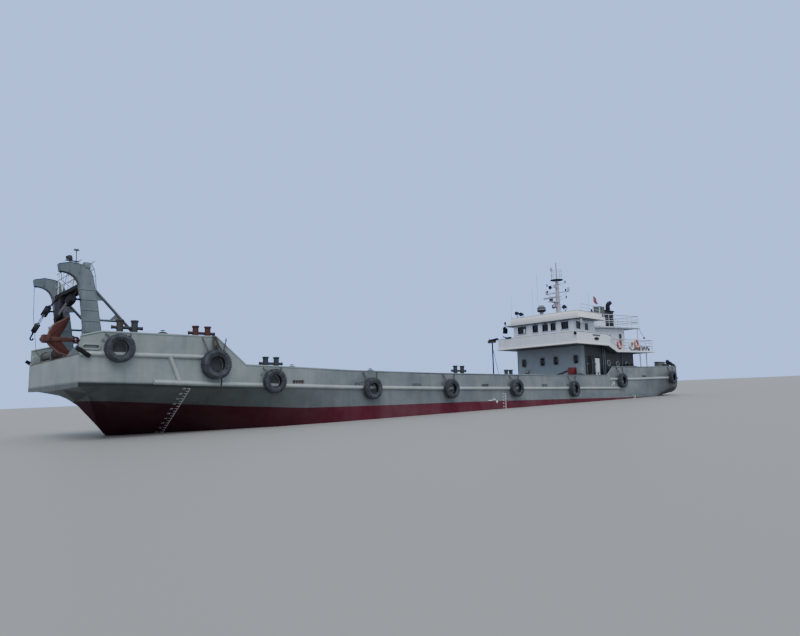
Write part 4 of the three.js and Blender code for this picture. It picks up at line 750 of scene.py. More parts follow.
@joined
def chain(start, end, link=0.07, wire=0.012):
    """A hanging chain of oval links, each turned from the last."""
    start, end = Vector(start), Vector(end)
    run = end - start
    count = max(2, int(run.length / (link * 1.3)))
    one = tube([(u, 0, w) for u, w in oval(0, 0, link * 0.5, link, 10)], wire, 6, closed=True)
    towards = run.to_track_quat("Z", "Y").to_matrix().to_4x4()
    for k in range(count):
        turn = turned(90 * (k % 2), "Z")
        yield copy_of(one, Matrix.Translation(start + run * ((k + 0.5) / count)) @ towards @ turn)
    bpy.data.objects.remove(one)


@joined
def tyre_chains():
    """Two chains to each tyre from eyes at the top of the bulwark, and the eyes."""
    for x, z, radius in TYRES:
        top = along(BULWARK_TOP, x) - 0.08 if x > -21.6 else 2.97
        top = min(top, z + 1.5 * radius + 0.35)
        for side in (-1, 1):
            foot = (x + side * radius * 0.5, HALF_BEAM + 0.2, z + radius * 0.72)
            head = (x + side * radius * 0.85, HALF_BEAM + 0.03, top)
            yield chain(head, foot)
            yield hoop(0.05, 0.012, 0.012, (head[0], HALF_BEAM + 0.02, top), "X", 12)


def corner_fender():
    """Black bar with two bands across the bow's corner."""
    bar = tube([(25.97, HALF_BEAM + 0.09, 2.8), (25.5, HALF_BEAM + 0.09, 2.5)], 0.08, 16)
    bands = [tube([(x, HALF_BEAM + 0.09, z), (x - 0.05, HALF_BEAM + 0.09, z - 0.032)], 0.088, 16)
             for x, z in ((25.88, 2.743), (25.64, 2.59))]
    return together(bar, bands)


STRAKE_PORT = strakes()
STRAKE_STARBOARD = copy_of(STRAKE_PORT, PORT_TO_STARBOARD)
TYRES_PORT = hung_tyres()
TYRES_STARBOARD = copy_of(TYRES_PORT, PORT_TO_STARBOARD)
bpy.data.objects.remove(ONE_TYRE)
CHAINS = both(tyre_chains())
FENDER_PORT = corner_fender()
FENDER_STARBOARD = copy_of(FENDER_PORT, PORT_TO_STARBOARD)
# The strakes in the lighter paint: painted highlight.
settle(STRAKE_PORT, "strakes_port", STRAKE_HIGHLIGHT_PAINT, stands_for=["fender_belt_port"])
settle(STRAKE_STARBOARD, "strakes_starboard", STRAKE_HIGHLIGHT_PAINT,
       stands_for=["fender_belt_starboard"])
settle(TYRES_PORT, "tyres_port", RUBBER, stands_for=["fender_belt_port"])
settle(TYRES_STARBOARD, "tyres_starboard", RUBBER, stands_for=["fender_belt_starboard"])
settle(CHAINS, "tyre_chains", RUSTY_GREY)
settle(FENDER_PORT, "corner_fender_port", BLACK_AND_SHADE, stands_for=["fender_belt_port"])
settle(FENDER_STARBOARD, "corner_fender_starboard", BLACK_AND_SHADE,
       stands_for=["fender_belt_starboard"])


# Bulwark: pipe along the top, stays inside, lips round the slots and the bow fairleads
DECK_TOP = [(-25.4, 2.12), (-16.9, 1.97), (-12.25, 1.91), (-12.2, 1.26), (6.9, 1.26), (13.3, 1.34),
            (19.85, 1.49), (19.9, 2.54), (25.84, 2.6)]
# x and z of the middles
FREEING_PORTS = [(16.4, 1.58), (12.75, 1.47), (8.8, 1.42), (3.0, 1.4), (-3.2, 1.4), (-17.4, 2.14)]


def bulwark_rail():
    """Pipe along the top of the bulwark and round the stern."""
    points = [(x, HALF_BEAM - 0.03, z) for x, z in BULWARK_TOP]
    return tube(points + stern_arc(-0.03, 3.08), 0.05, 10)


@joined
def bulwark_stays():
    """Brackets inside the bulwark."""
    x = 24.2
    while x > -22.6:
        foot, top = along(DECK_TOP, x), along(BULWARK_TOP, x) - 0.05
        if all(abs(x - step) > 0.5 for step in BULWARK_STEPS):
            deep = 0.28 * (top - foot)
            yield plate([(HALF_BEAM - 0.06, foot + 0.005), (HALF_BEAM - 0.06, top), (HALF_BEAM - 0.1, top),
                         (HALF_BEAM - 0.06 - deep, foot + 0.05), (HALF_BEAM - 0.06 - deep, foot + 0.005)],
                        "X", x - 0.006, x + 0.006)
        x -= 1.25


@joined
def slot_lips():
    """Lips and bars of the freeing ports, and the rim of the bow fairlead."""
    for x, z in FREEING_PORTS:
        outline = [(x + sx * 0.32, HALF_BEAM, z + sz * 0.1)
                   for sx, sz in ((-1, -1), (1, -1), (1, 1), (-1, 1))]
        yield tube(outline, 0.014, 6, closed=True)
        for dx in (-0.15, 0.0, 0.15):
            yield upright(x + dx, HALF_BEAM - 0.03, z - 0.1, z + 0.1, 0.01, 6)
    ring = []
    for cx, start in ((25.23, 90), (25.66, -90)):
        for k in range(7):
            turn = math.radians(start + 30 * k)
            ring.append((cx + 0.09 * math.cos(turn), HALF_BEAM, 2.85 + 0.09 * math.sin(turn)))
    yield tube(ring, 0.035, 10, closed=True)


RAILS = both(bulwark_rail())
STAYS = both(bulwark_stays())
LIPS = both(slot_lips())
# Roller box that closes the back of each bow fairlead
FAIRLEAD_BOX = both(rounded_block((25.12, HALF_BEAM - 0.34, 2.62), (25.78, HALF_BEAM - 0.07, 3.06), 0.02))
settle(RAILS, "bulwark_rail", HULL_PAINT)
settle(STAYS, "bulwark_stays", HULL_PAINT, smooth=0)
settle(LIPS, "slot_lips", HULL_PAINT)
settle(FAIRLEAD_BOX, "fairlead_boxes", HULL_PAINT)


# Gantry over the bow
ARM_Y = 2.0
# Edges of the arm as (z, x)
ARM_AFT = [(2.6, 24.45), (3.68, 24.6), (4.93, 24.8), (5.73, 24.96)]
ARM_FORE = [(2.6, 25.4), (3.68, 25.23), (4.88, 25.37), (5.47, 25.47)]
CATWALK_X = (24.84, 25.4)
CATWALK_Z = (5.44, 5.6)
CATWALK_RAIL = 0.95


def bent(start, pull, end, steps=6):
    """Points of a curve that leaves start towards pull and comes in to end from it."""
    points = []
    for step in range(1, steps + 1):
        t = step / steps
        points.append(tuple((1 - t) ** 2 * a + 2 * t * (1 - t) * b + t * t * c
                            for a, b, c in zip(start, pull, end)))
    return points


@joined
def arm_edges():
    """Welded corners that run up the arm and round its curved head."""
    aft = [(24.46, 2.65), (24.6, 3.68), (24.8, 4.93), (24.96, 5.73)] + bent((24.96, 5.73),
                                                                            (25.05, 6.25), (25.5, 6.31))
    aft += [(25.83, 6.34), (26.24, 6.24), (26.19, 5.95)]
    fore = bent((26.19, 5.95), (25.62, 5.98), (25.47, 5.47)) + [(25.37, 4.88), (25.23, 3.68), (25.38, 2.65)]
    for y in (ARM_Y - 0.13, ARM_Y + 0.13):
        yield tube([(x, y, z) for x, z in aft + fore], 0.016, 8)


@joined
def arm_straps():
    """Raised plates across the joints of the arm, and its gussets."""
    for z in (3.2, 3.62, 4.05, 4.48, 4.9, 5.3):
        aft, fore = along(ARM_AFT, z) - 0.014, along(ARM_FORE, z) + 0.014
        yield rounded_block((aft, ARM_Y - 0.144, z - 0.028), (fore, ARM_Y + 0.144, z + 0.028), 0.008, 1)
    for x, z in ((25.1, 5.75), (25.5, 6.12), (25.86, 6.16)):
        yield rounded_block((x - 0.03, ARM_Y - 0.144, z - 0.2),
                            (x + 0.03, ARM_Y + 0.144, z + 0.2), 0.008, 1)
    yield plate([(23.35, 3.8), (23.72, 4.19), (24.25, 4.17), (24.02, 4.42)], "Y",
                ARM_Y - 0.015, ARM_Y + 0.015)
    yield plate([(24.45, 4.93), (24.82, 4.9), (24.94, 5.62), (24.88, 5.42)], "Y",
                ARM_Y - 0.02, ARM_Y + 0.02)
    yield plate([(24.1, 2.62), (24.5, 2.62), (24.54, 3.15)], "Y", ARM_Y - 0.02, ARM_Y + 0.02)
    yield plate([(25.3, 2.64), (25.8, 2.64), (25.27, 3.3)], "Y", ARM_Y - 0.02, ARM_Y + 0.02)
    yield rounded_block((24.3, ARM_Y - 0.28, 2.57), (25.7, ARM_Y + 0.28, 2.62), 0.01, 1)


def sheave_stub():
    """Bracket ahead of the arm that carries a lead sheave."""
    bracket = rounded_block((25.3, ARM_Y - 0.05, 4.86), (25.58, ARM_Y + 0.05, 4.93), 0.01)
    wheel = sheave(0.1, 0.085, 0.03, (25.62, ARM_Y, 4.9), 16)
    return together(bracket, wheel)


def gantry_fittings():
    """Shelf on the port arm's head, with the foot and post of its aerial."""
    shelf = rounded_block((25.5, ARM_Y - 0.06, 6.4), (26.0, ARM_Y + 0.06, 6.44), 0.008)
    foot = upright(25.6, ARM_Y, 6.3, 6.44, 0.05, 10)
    post = tube([(25.6, ARM_Y, 6.4), (25.61, ARM_Y, 6.86)], 0.022, 8)
    cap = spun([(0.0, 0.0), (0.1, 0.0), (0.11, 0.02), (0.1, 0.05), (0.0, 0.06)],
               (25.61, ARM_Y, 6.86), "Z", 16)
    return together(shelf, foot, post, cap)


def gantry_lamp():
    """Hooded lamp on the shelf."""
    hood = spun([(0.0, 0.2), (0.07, 0.19), (0.1, 0.13), (0.11, 0.02), (0.09, 0.0), (0.0, 0.0)],
                (25.84, ARM_Y, 6.44), "Z", 18)
    return together(hood, rounded_block((25.86, ARM_Y - 0.06, 6.48), (25.98, ARM_Y + 0.06, 6.6), 0.02))


def junction_box():
    """Box on the arm's head, with its cable down the arm's edge."""
    box = rounded_block((25.08, ARM_Y - 0.12, 6.12), (25.34, ARM_Y + 0.12, 6.42), 0.025, 3)
    lid = rounded_block((25.1, ARM_Y + 0.12, 6.15), (25.32, ARM_Y + 0.14, 6.39), 0.008)
    cable = tube([(25.1, ARM_Y, 6.36), (25.02, ARM_Y, 6.36), (24.93, ARM_Y, 6.2), (24.86, ARM_Y, 5.9),
                  (24.78, ARM_Y, 5.0), (24.58, ARM_Y, 3.7), (24.43, ARM_Y, 2.7)], 0.016, 8)
    stay = rounded_block((25.1, ARM_Y - 0.05, 6.02), (25.26, ARM_Y + 0.05, 6.14), 0.01)
    return together(box, lid, cable, stay)


@joined
def catwalk_deck():
    """Grating between edge angles, on cross bearers."""
    reach = ARM_Y - 0.14
    for x in CATWALK_X:
        low = x if x < 25 else x - 0.05
        yield rounded_block((low, -reach, CATWALK_Z[0]), (low + 0.05, reach, CATWALK_Z[1]), 0.006, 1)
    bearer = rounded_block((CATWALK_X[0], -reach, CATWALK_Z[0]),
                           (CATWALK_X[1], -reach + 0.05, CATWALK_Z[1] - 0.04), 0.006, 1)
    yield from row_of(bearer, [shift(y=(2 * reach - 0.05) * k / 8) for k in range(1, 9)])
    slat = rounded_block((CATWALK_X[0] + 0.04, -reach + 0.02, CATWALK_Z[1] - 0.035),
                         (CATWALK_X[1] - 0.04, -reach + 0.028, CATWALK_Z[1] - 0.005), 0.002, 1)
    yield from row_of(slat, [shift(y=0.09 * k) for k in range(1, 41)])
    for x in (24.95, 25.07, 25.19, 25.31):
        yield rounded_block((x, -reach, CATWALK_Z[1] - 0.03),
                            (x + 0.008, reach, CATWALK_Z[1] - 0.012), 0.002, 1)


@joined
def catwalk_rails():
    """Three rails on posts along both edges, with braces."""
    reach = ARM_Y - 0.14
    top = CATWALK_Z[1] + CATWALK_RAIL
    for x in (CATWALK_X[0] + 0.03, CATWALK_X[1] - 0.03):
        for rise in (0.32, 0.64, CATWALK_RAIL):
            yield tube([(x, -reach, CATWALK_Z[1] + rise), (x, reach, CATWALK_Z[1] + rise)], 0.018, 8)
        post = upright(x, -1.5, CATWALK_Z[1] - 0.04, top, 0.02)
        yield from row_of(post, [shift(y=0.75 * k) for k in range(1, 5)])
    x = CATWALK_X[1] - 0.03
    for k in range(-2, 2):
        low, high = (0.0, CATWALK_RAIL) if k % 2 else (CATWALK_RAIL, 0.0)
        yield tube([(x, 0.75 * k, CATWALK_Z[1] + low), (x, 0.75 * (k + 1), CATWALK_Z[1] + high)], 0.014, 6)


# Rope blocks and their falls
def aim(start, end):
    """Puts a piece made upright at the origin at start, pointing to end."""
    run = Vector(end) - Vector(start)
    return Matrix.Translation(start) @ run.to_track_quat("Z", "Y").to_matrix().to_4x4()


def pulley_block(half=0.25, wide=0.15, thick=0.13):
    """A rope block upright about its middle: a stout oval shell, its sheave and its necks."""
    outline = [(wide * math.sin(t), half * math.cos(t)) for t in circle(20)]
    shell = plate(outline, "Y", -thick, thick, 0.04)
    wheel = sheave(wide * 1.06, wide * 0.98, 0.03, (0, 0, 0), 20)
    necks = [upright(0, 0, side * (half - 0.04), side * (half + 0.05), 0.05, 10) for side in (-1, 1)]
    return together(shell, wheel, *necks)


def tackle_blocks(top, upper, lower, end):
    """The two blocks, the pendant that holds the upper one and the hook under the lower one."""
    high = copy_of(ONE_BLOCK, aim(upper, lower))
    low = copy_of(ONE_BLOCK, aim(lower, upper) @ Matrix.Scale(0.85, 4))
    pendant = tube([Vector(top), Vector(upper)], 0.035, 8)
    neck = Vector(lower).lerp(Vector(end), 0.5)
    hook_end = Vector(end)
    hook = tube([Vector(lower), neck, hook_end, hook_end + Vector((-0.04, 0, -0.07)),
                 hook_end + Vector((-0.1, 0, -0.05)), hook_end + Vector((-0.12, 0, 0.02))], 0.036, 8)
    return together(high, low, pendant, hook)


@joined
def tackle_falls(upper, lower):
    """Two pairs of wire falls between the blocks."""
    down = aim(upper, lower)
    length = (Vector(lower) - Vector(upper)).length
    for x in (-0.095, 0.095):
        for y in (-0.03, 0.03):
            yield tube([down @ Vector((x, y, 0)), down @ Vector((x * 0.8, y, length))], 0.019, 8)


# Hanging point, upper block, lower block and hook
PORT_TACKLE = [(25.32, 1.5, 5.44), (25.5, 1.08, 4.98), (25.78, 0.5, 4.34), (25.92, 0.4, 4.0)]
STARBOARD_TACKLE = [(25.42, -1.3, 5.44), (25.83, -1.4, 4.8), (26.18, -1.45, 4.06), (26.36, -1.5, 3.6)]


@joined
def wire_bundle():
    """Many falls of wire between the sheave frame under the catwalk and a lower frame."""
    for x in (25.2, 25.3, 25.4):
        for k in range(9):
            high = -1.42 + 0.13 * (k - 4)
            low = -1.5 + 0.085 * (k - 4)
            yield tube([(x, high, 5.32), (25.3 + (x - 25.3) * 0.6, low, 4.46)], 0.03, 6)


def bundle_frames():
    """Sheaves, axles and cheeks of the upper and the lower frame of the wire bundle."""
    large = sheave(0.13, 0.11, 0.03, (25.3, -1.94, 5.33))
    wheels = row_of(large, [shift(y=0.13 * k) for k in range(1, 9)])
    small = sheave(0.1, 0.085, 0.025, (25.3, -1.84, 4.44))
    wheels += row_of(small, [shift(y=0.085 * k) for k in range(1, 9)])
    axles = [tube([(25.3, -2.0, 5.33), (25.3, -0.84, 5.33)], 0.03, 10),
             tube([(25.3, -1.9, 4.44), (25.3, -1.1, 4.44)], 0.03, 10)]
    cheeks = [plate([(25.14, 5.44), (25.46, 5.44), (25.4, 5.18), (25.2, 5.18)], "Y", y, y + 0.02)
              for y in (-2.02, -1.43, -0.84)]
    cheeks += [plate([(25.18, 4.56), (25.42, 4.56), (25.36, 4.28), (25.24, 4.28)], "Y", y, y + 0.02)
               for y in (-1.92, -1.1)]
    cheeks.append(rounded_block((25.24, -1.92, 4.26), (25.36, -1.08, 4.31), 0.01))
    return together(*wheels, *axles, *cheeks)


def tip_wires():
    """Light wires that hang from the tips of the arms."""
    port = tube([(26.1, ARM_Y - 0.1, 5.98), (25.9, 1.2, 5.75), (25.4, 0.5, 5.62)], 0.012, 6)
    starboard = tube([(26.2, -ARM_Y, 5.95), (26.17, -ARM_Y, 4.6), (26.0, -ARM_Y, 3.1),
                      (25.7, -ARM_Y, 2.66)], 0.012, 6)
    pad = [upright(26.14, y, 5.9, 5.97, 0.04) for y in (-ARM_Y, ARM_Y)]
    return together(port, starboard, *pad)


ARM_EDGES = arm_edges()
ARM_STRAPS = arm_straps()
SHEAVE_STUB = sheave_stub()
settle(both(together(ARM_EDGES, ARM_STRAPS)), "gantry_straps", ARM_PAINT)
settle(both(SHEAVE_STUB), "gantry_lead_sheaves", DARK_STEEL)
settle(gantry_fittings(), "gantry_aerial_post", ARM_PAINT)
settle(gantry_lamp(), "gantry_lamp", BLACK_PAINT)
settle(junction_box(), "gantry_junction_box", ARM_PAINT)
settle(catwalk_deck(), "catwalk_grating", BLACK_AND_SHADE, stands_for=["gantry_catwalk"])
settle(catwalk_rails(), "catwalk_rails", WHITE_PAINT, stands_for=["gantry_catwalk"])
ONE_BLOCK = pulley_block()
settle(tackle_blocks(*PORT_TACKLE), "tackle_blocks_port", DARK_STEEL,
       stands_for=["tackle_port"])
settle(tackle_falls(*PORT_TACKLE[1:3]), "tackle_falls_port", FALL_WIRE,
       stands_for=["tackle_port"])
settle(tackle_blocks(*STARBOARD_TACKLE), "tackle_blocks_starboard", DARK_STEEL,
       stands_for=["tackle_starboard"])
settle(tackle_falls(*STARBOARD_TACKLE[1:3]), "tackle_falls_starboard", FALL_WIRE,
       stands_for=["tackle_starboard"])
bpy.data.objects.remove(ONE_BLOCK)
settle(wire_bundle(), "wire_bundle", BUNDLE_WIRE)
settle(bundle_frames(), "bundle_frames", DARK_STEEL)
settle(tip_wires(), "tip_wires", WIRE)


# Anchor
ANCHOR_Y = 0.55
ANCHOR_Z = 3.42
CROWN_X = 26.36
SHACKLE_X = 25.1
FLUKE_EDGE = {1: [(26.4, 0.0), (26.14, 0.12), (26.1, 0.3), (25.96, 0.56), (25.4, 0.94)],
              -1: [(26.4, 0.0), (26.16, -0.12), (26.04, -0.28), (25.76, -0.52), (25.16, -0.76)]}
FLUKE_BACK = {1: [(25.4, 0.94), (25.52, 0.56), (25.7, 0.22), (25.8, 0.0)],
              -1: [(25.16, -0.76), (25.4, -0.46), (25.6, -0.2), (25.8, 0.0)]}


@joined
def anchor_flukes():
    """Two broad flukes, each with a thick inner edge and a middle rib."""
    for up in (-1, 1):
        outline = [(x, ANCHOR_Z + z) for x, z in FLUKE_EDGE[up] + FLUKE_BACK[up]]
        if up < 0:
            outline = outline[::-1]
        yield plate(outline, "Y", ANCHOR_Y - 0.05, ANCHOR_Y + 0.05, 0.02)
        yield tube([(x, ANCHOR_Y, ANCHOR_Z + z) for x, z in FLUKE_BACK[up]], 0.04, 12)
        tip = FLUKE_EDGE[up][-1]
        yield tube([(CROWN_X - 0.3, ANCHOR_Y, ANCHOR_Z + up * 0.12),
                    (tip[0] + 0.14, ANCHOR_Y, ANCHOR_Z + tip[1] * 0.78)], 0.06, 12)


@joined
def anchor_rims():
    """Thick outer edge of each fluke, worn to bare rust."""
    for up in (-1, 1):
        yield tube([(x, ANCHOR_Y, ANCHOR_Z + z) for x, z in FLUKE_EDGE[up]], 0.055, 12)


def anchor_crown():
    """Crown, its pin, the shank and the shackle."""
    crown = rounded_block((CROWN_X - 0.3, ANCHOR_Y - 0.16, ANCHOR_Z - 0.17),
                          (CROWN_X + 0.02, ANCHOR_Y + 0.16, ANCHOR_Z + 0.17), 0.06, 3)
    pin = tube([(CROWN_X - 0.1, ANCHOR_Y - 0.3, ANCHOR_Z), (CROWN_X - 0.1, ANCHOR_Y + 0.3, ANCHOR_Z)], 0.1,
               18)
    heads = [spun([(0.0, -0.03), (0.125, -0.02), (0.125, 0.02), (0.0, 0.03)],
                  (CROWN_X - 0.1, ANCHOR_Y + side * 0.3, ANCHOR_Z), "Y", 18) for side in (-1, 1)]
    shank = plate([(CROWN_X - 0.2, ANCHOR_Z - 0.1), (SHACKLE_X + 0.1, ANCHOR_Z - 0.075),
                   (SHACKLE_X + 0.1, ANCHOR_Z + 0.075), (CROWN_X - 0.2, ANCHOR_Z + 0.1)], "Y",
                  ANCHOR_Y - 0.075, ANCHOR_Y + 0.075, 0.02)
    eye = spun([(0.06, -0.04), (0.14, -0.04), (0.15, 0.0), (0.14, 0.04), (0.06, 0.04), (0.05, 0.0),
                (0.06, -0.04)], (SHACKLE_X, ANCHOR_Y, ANCHOR_Z), "Y", 20)
    bow = [(SHACKLE_X + 0.02, ANCHOR_Y - 0.09, ANCHOR_Z), (SHACKLE_X - 0.12, ANCHOR_Y - 0.09, ANCHOR_Z),
           (SHACKLE_X - 0.2, ANCHOR_Y, ANCHOR_Z), (SHACKLE_X - 0.12, ANCHOR_Y + 0.09, ANCHOR_Z),
           (SHACKLE_X + 0.02, ANCHOR_Y + 0.09, ANCHOR_Z)]
    shackle = tube(bow, 0.028, 10)
    pin_through = tube([(SHACKLE_X, ANCHOR_Y - 0.13, ANCHOR_Z), (SHACKLE_X, ANCHOR_Y + 0.13, ANCHOR_Z)],
                       0.03, 10)
    lift_eye = spun([(0.03, -0.02), (0.07, -0.02), (0.07, 0.02), (0.03, 0.02), (0.03, -0.02)],
                    (CROWN_X - 0.28, ANCHOR_Y, ANCHOR_Z + 0.44), "Y", 14)
    return together(crown, pin, *heads, shank, eye, shackle, pin_through, lift_eye)


def anchor_cable():
    """Chain from the anchor's shackle, over the bow's top bar and down on to the foredeck."""
    fall = chain((SHACKLE_X - 0.2, ANCHOR_Y, ANCHOR_Z - 0.02), (24.55, 0.3, 2.7), 0.13, 0.026)
    run = chain((24.55, 0.3, 2.68), (22.0, 0.0, 2.72), 0.13, 0.026)
    return together(fall, run)


settle(anchor_flukes(), "anchor_flukes", ANCHOR_RED, stands_for=["anchor"])
settle(anchor_rims(), "anchor_rims", ANCHOR_WORN, stands_for=["anchor"])
settle(anchor_crown(), "anchor_crown", ANCHOR_BROWN, stands_for=["anchor"])
settle(anchor_cable(), "anchor_chain", RUSTY_GREY)


# Bow roller and windlass
ROLLER = (25.62, 2.86)


def roller_rings():
    """Rings along the bow roller and its hubs."""
    ring = spun([(0.15, -0.02), (0.172, -0.016), (0.172, 0.016), (0.15, 0.02)],
                (ROLLER[0], -1.84, ROLLER[1]), "Y", 24)
    hub = spun([(0.05, -0.02), (0.09, -0.015), (0.09, 0.015), (0.05, 0.02)],
               (ROLLER[0], -1.84, ROLLER[1]), "Y", 18)
    rings = row_of(ring, [shift(y=0.3 * k) for k in range(1, 6)])
    return together(*rings, hub, copy_of(hub, shift(y=1.5)))


@joined
def roller_stand_parts():
    """Bearing caps and bolts of the bow roller's stand."""
    for y, out in ((-2.02, -0.028), (-0.18, 0.028)):
        yield spun([(0.0, -0.03), (0.12, -0.025), (0.13, 0.0), (0.12, 0.025), (0.0, 0.03)],
                   (ROLLER[0], y + out, ROLLER[1]), "Y", 18)
        for x in (25.45, 25.78):
            yield bolt(x, y, 2.66)


DRUM = (21.4, 3.22)


def drum_wire():
    """Wire laid turn against turn on the drum."""
    turns = 34
    pitch = 1.3 / turns
    profile = [(0.27, -0.65)]
    for k in range(turns):
        middle = -0.65 + pitch * (k + 0.5)
        for part in (-0.4, -0.15, 0.15, 0.4):
            profile.append((0.325 + 0.012 * math.cos(part * math.pi), middle + part * pitch))
    profile.append((0.27, 0.65))
    return spun(profile, (DRUM[0], 0.0, DRUM[1]), "Y", 32)


def winch_fittings():
    """Brake band and its hand wheel, ribs of the gear case, the motor and holding-down bolts."""
    band = spun([(0.425, -0.06), (0.45, -0.06), (0.45, 0.06), (0.425, 0.06), (0.425, -0.06)],
                (DRUM[0], 0.68, DRUM[1]), "Y", 32)
    lug = rounded_block((DRUM[0] - 0.5, 0.62, 2.65), (DRUM[0] - 0.4, 0.74, 3.25), 0.01)
    stem = tube([(DRUM[0] - 0.45, 0.68, 3.0), (DRUM[0] - 0.7, 0.68, 3.7)], 0.018, 8)
    wheel = hoop(0.17, 0.015, 0.012, steps=24)
    spokes = [tube([(0, 0, 0), (0.17 * math.cos(t), 0.17 * math.sin(t), 0)], 0.008, 6) for t in circle(5)]
    hand = together(wheel, *spokes)
    hand.data.transform(shift(DRUM[0] - 0.7, 0.68, 3.7) @ turned(-20, "Y"))
    ribs = [rounded_block((20.92, -1.52, z), (21.77, -1.48, z + 0.03), 0.006, 1) for z in (2.7, 2.9, 3.1)]
    motor = spun([(0.0, 0.0), (0.16, 0.0), (0.17, 0.03), (0.17, 0.42), (0.15, 0.46), (0.0, 0.46)],
                 (21.2, -1.25, 3.33), "Z", 24)
    bolts = [bolt(x, y, 2.66) for x in (20.88, 21.92) for y in (-0.86, 0.86)]
    return together(band, lug, stem, hand, *ribs, motor, *bolts)


settle(roller_rings(), "roller_rings", RUSTY_STEEL, body="bow_roller")
settle(roller_stand_parts(), "roller_bearings", RUSTY_GREY)
settle(drum_wire(), "drum_wire", WIRE, body="windlass_drum")
settle(winch_fittings(), "windlass_fittings", GREEN_PAINT)


# Mooring bitts and ventilators
# Middle x, half the distance of the posts, top, and whether a bar joins them
BITTS = [(24.02, 0.28, 4.0, True), (17.58, 0.28, 2.74, True), (4.8, 0.3, 2.6, True),
         (0.03, 0.24, 2.44, False), (-16.2, 0.28, 3.2, True), (-22.6, 0.28, 3.3, True)]
RED_BITT = (20.95, 0.27, 3.95, True)
# Place along the deck and top
VENTS = [(22.3, 3.7), (15.95, 2.4), (11.0, 2.3), (-7.4, 2.2)]


@joined
def bitts(x, half, top, barred):
    """A pair of posts, with a bar through both where it is barred."""
    foot = along(DECK_TOP, x) + 0.01
    for px in (x - half, x + half):
        profile = [(0.16, foot), (0.165, foot + 0.04), (0.127, foot + 0.06), (0.127, top - 0.07),
                   (0.155, top - 0.055), (0.16, top - 0.02), (0.14, top + 0.012), (0.0, top + 0.018)]
        yield spun(profile, (px, BITT_Y, 0), "Z", 20)
    if barred:
        ends = (x - half - 0.3, x + half + 0.3)
        yield tube([(ends[0], BITT_Y, top - 0.3), (ends[1], BITT_Y, top - 0.3)], 0.066, 14)
        for end in ends:
            yield spun([(0.0, -0.015), (0.082, -0.012), (0.082, 0.012), (0.0, 0.015)],
                       (end, BITT_Y, top - 0.3), "X", 14)


def ventilator(x, top):
    """Mushroom head with a rolled rim, and the wheel that screws it down."""
    foot = along(DECK_TOP, x) + 0.01
    head = spun([(0.12, foot), (0.15, foot + 0.01), (0.15, foot + 0.04), (0.118, foot + 0.05),
                 (0.118, top - 0.22), (0.245, top - 0.19), (0.262, top - 0.16), (0.25, top - 0.13),
                 (0.2, top - 0.03), (0.1, top + 0.02), (0.0, top + 0.03)], (x, 2.6, 0), "Z", 24)
    wheel = hoop(0.1, 0.012, 0.01, (x, 2.6, top + 0.08), "Z", 18)
    stem = upright(x, 2.6, top, top + 0.09, 0.015)
    bars = [tube([(x - 0.1, 2.6, top + 0.08), (x + 0.1, 2.6, top + 0.08)], 0.008, 6),
            tube([(x, 2.5, top + 0.08), (x, 2.7, top + 0.08)], 0.008, 6)]
    return together(head, wheel, stem, *bars)


settle(both(together(*[bitts(*row) for row in BITTS])), "bitts_grey", RUSTY_DARK)
settle(both(bitts(*RED_BITT)), "bitts_red", RUSTY_RED)
settle(both(together(*[ventilator(*row) for row in VENTS])), "ventilator_heads", RUSTY_DARK)


# Deckhouse
HOUSE_FRONT = -9.72
HOUSE_AFT = -17.25
HOUSE_Y = 3.13
FRONT_PORTHOLES = [(-2.5, 3.42), (-0.68, 3.42), (0.57, 3.45), (2.37, 3.45)]
SIDE_PORTHOLES = [(-13.2, 3.2), (-14.6, 3.15), (-16.1, 3.15)]
# Aft edge, fore edge and side of each doorway
HOUSE_DOORS = {"house_door_fore": (-10.72, -10.1, 1), "house_door_aft": (-11.82, -11.2, 1),
               "house_door_starboard": (-11.82, -11.2, -1)}


def porthole_rim():
    """Flanged rim round the origin, facing along Z, with its dogs."""
    rim = spun([(0.18, -0.05), (0.18, 0.03), (0.21, 0.04), (0.26, 0.03), (0.27, 0.0), (0.18, -0.05)],
               steps=28)
    dog = rounded_block((0.19, -0.02, 0.02), (0.26, 0.02, 0.06), 0.006, 1)
    dogs = row_of(dog, [turned(90 * k, "Z") for k in range(1, 4)])
    return together(rim, dogs)


def porthole_glass():
    """Round pane about the origin."""
    return spun([(0.0, 0.006), (0.12, 0.004), (0.19, 0.0), (0.19, -0.02), (0.0, -0.02)], steps=28)


@joined
def at_portholes(piece):
    """The piece moved to every porthole in the sides of the house."""
    for side in (1, -1):
        face = Matrix.Rotation(-side * math.pi / 2, 4, "X")
        for x, z in SIDE_PORTHOLES:
            yield copy_of(piece, shift(x, side * HOUSE_Y, z) @ face)
    bpy.data.objects.remove(piece)


def upright_oval(y, z, grow=0.0):
    """Corners of a port that is taller than wide, on the front wall."""
    wide, tall, corner = 0.19 + grow, 0.28 + grow, 0.11
    places = []
    for turn, (side, up) in enumerate(((1, 1), (-1, 1), (-1, -1), (1, -1))):
        for k in range(5):
            angle = math.radians(90 * turn + 22.5 * k)
            places.append((y + side * (wide - corner) + corner * math.cos(angle),
                           z + up * (tall - corner) + corner * math.sin(angle)))
    return places


@joined
def front_port_frames():
    """Pressed frames round the front ports, each with a drip rail over it and two clamps."""
    for y, z in FRONT_PORTHOLES:
        yield tube([(HOUSE_FRONT + 0.02, v, w) for v, w in upright_oval(y, z, 0.015)],
                   0.028, 8, closed=True)
        yield rounded_block((HOUSE_FRONT, y - 0.24, z + 0.34),
                            (HOUSE_FRONT + 0.06, y + 0.24, z + 0.36), 0.006, 1)
        for side in (-1, 1):
            yield rounded_block((HOUSE_FRONT, y + side * 0.21 - 0.02, z - 0.04),
                                (HOUSE_FRONT + 0.06, y + side * 0.21 + 0.02, z + 0.04), 0.008, 1)


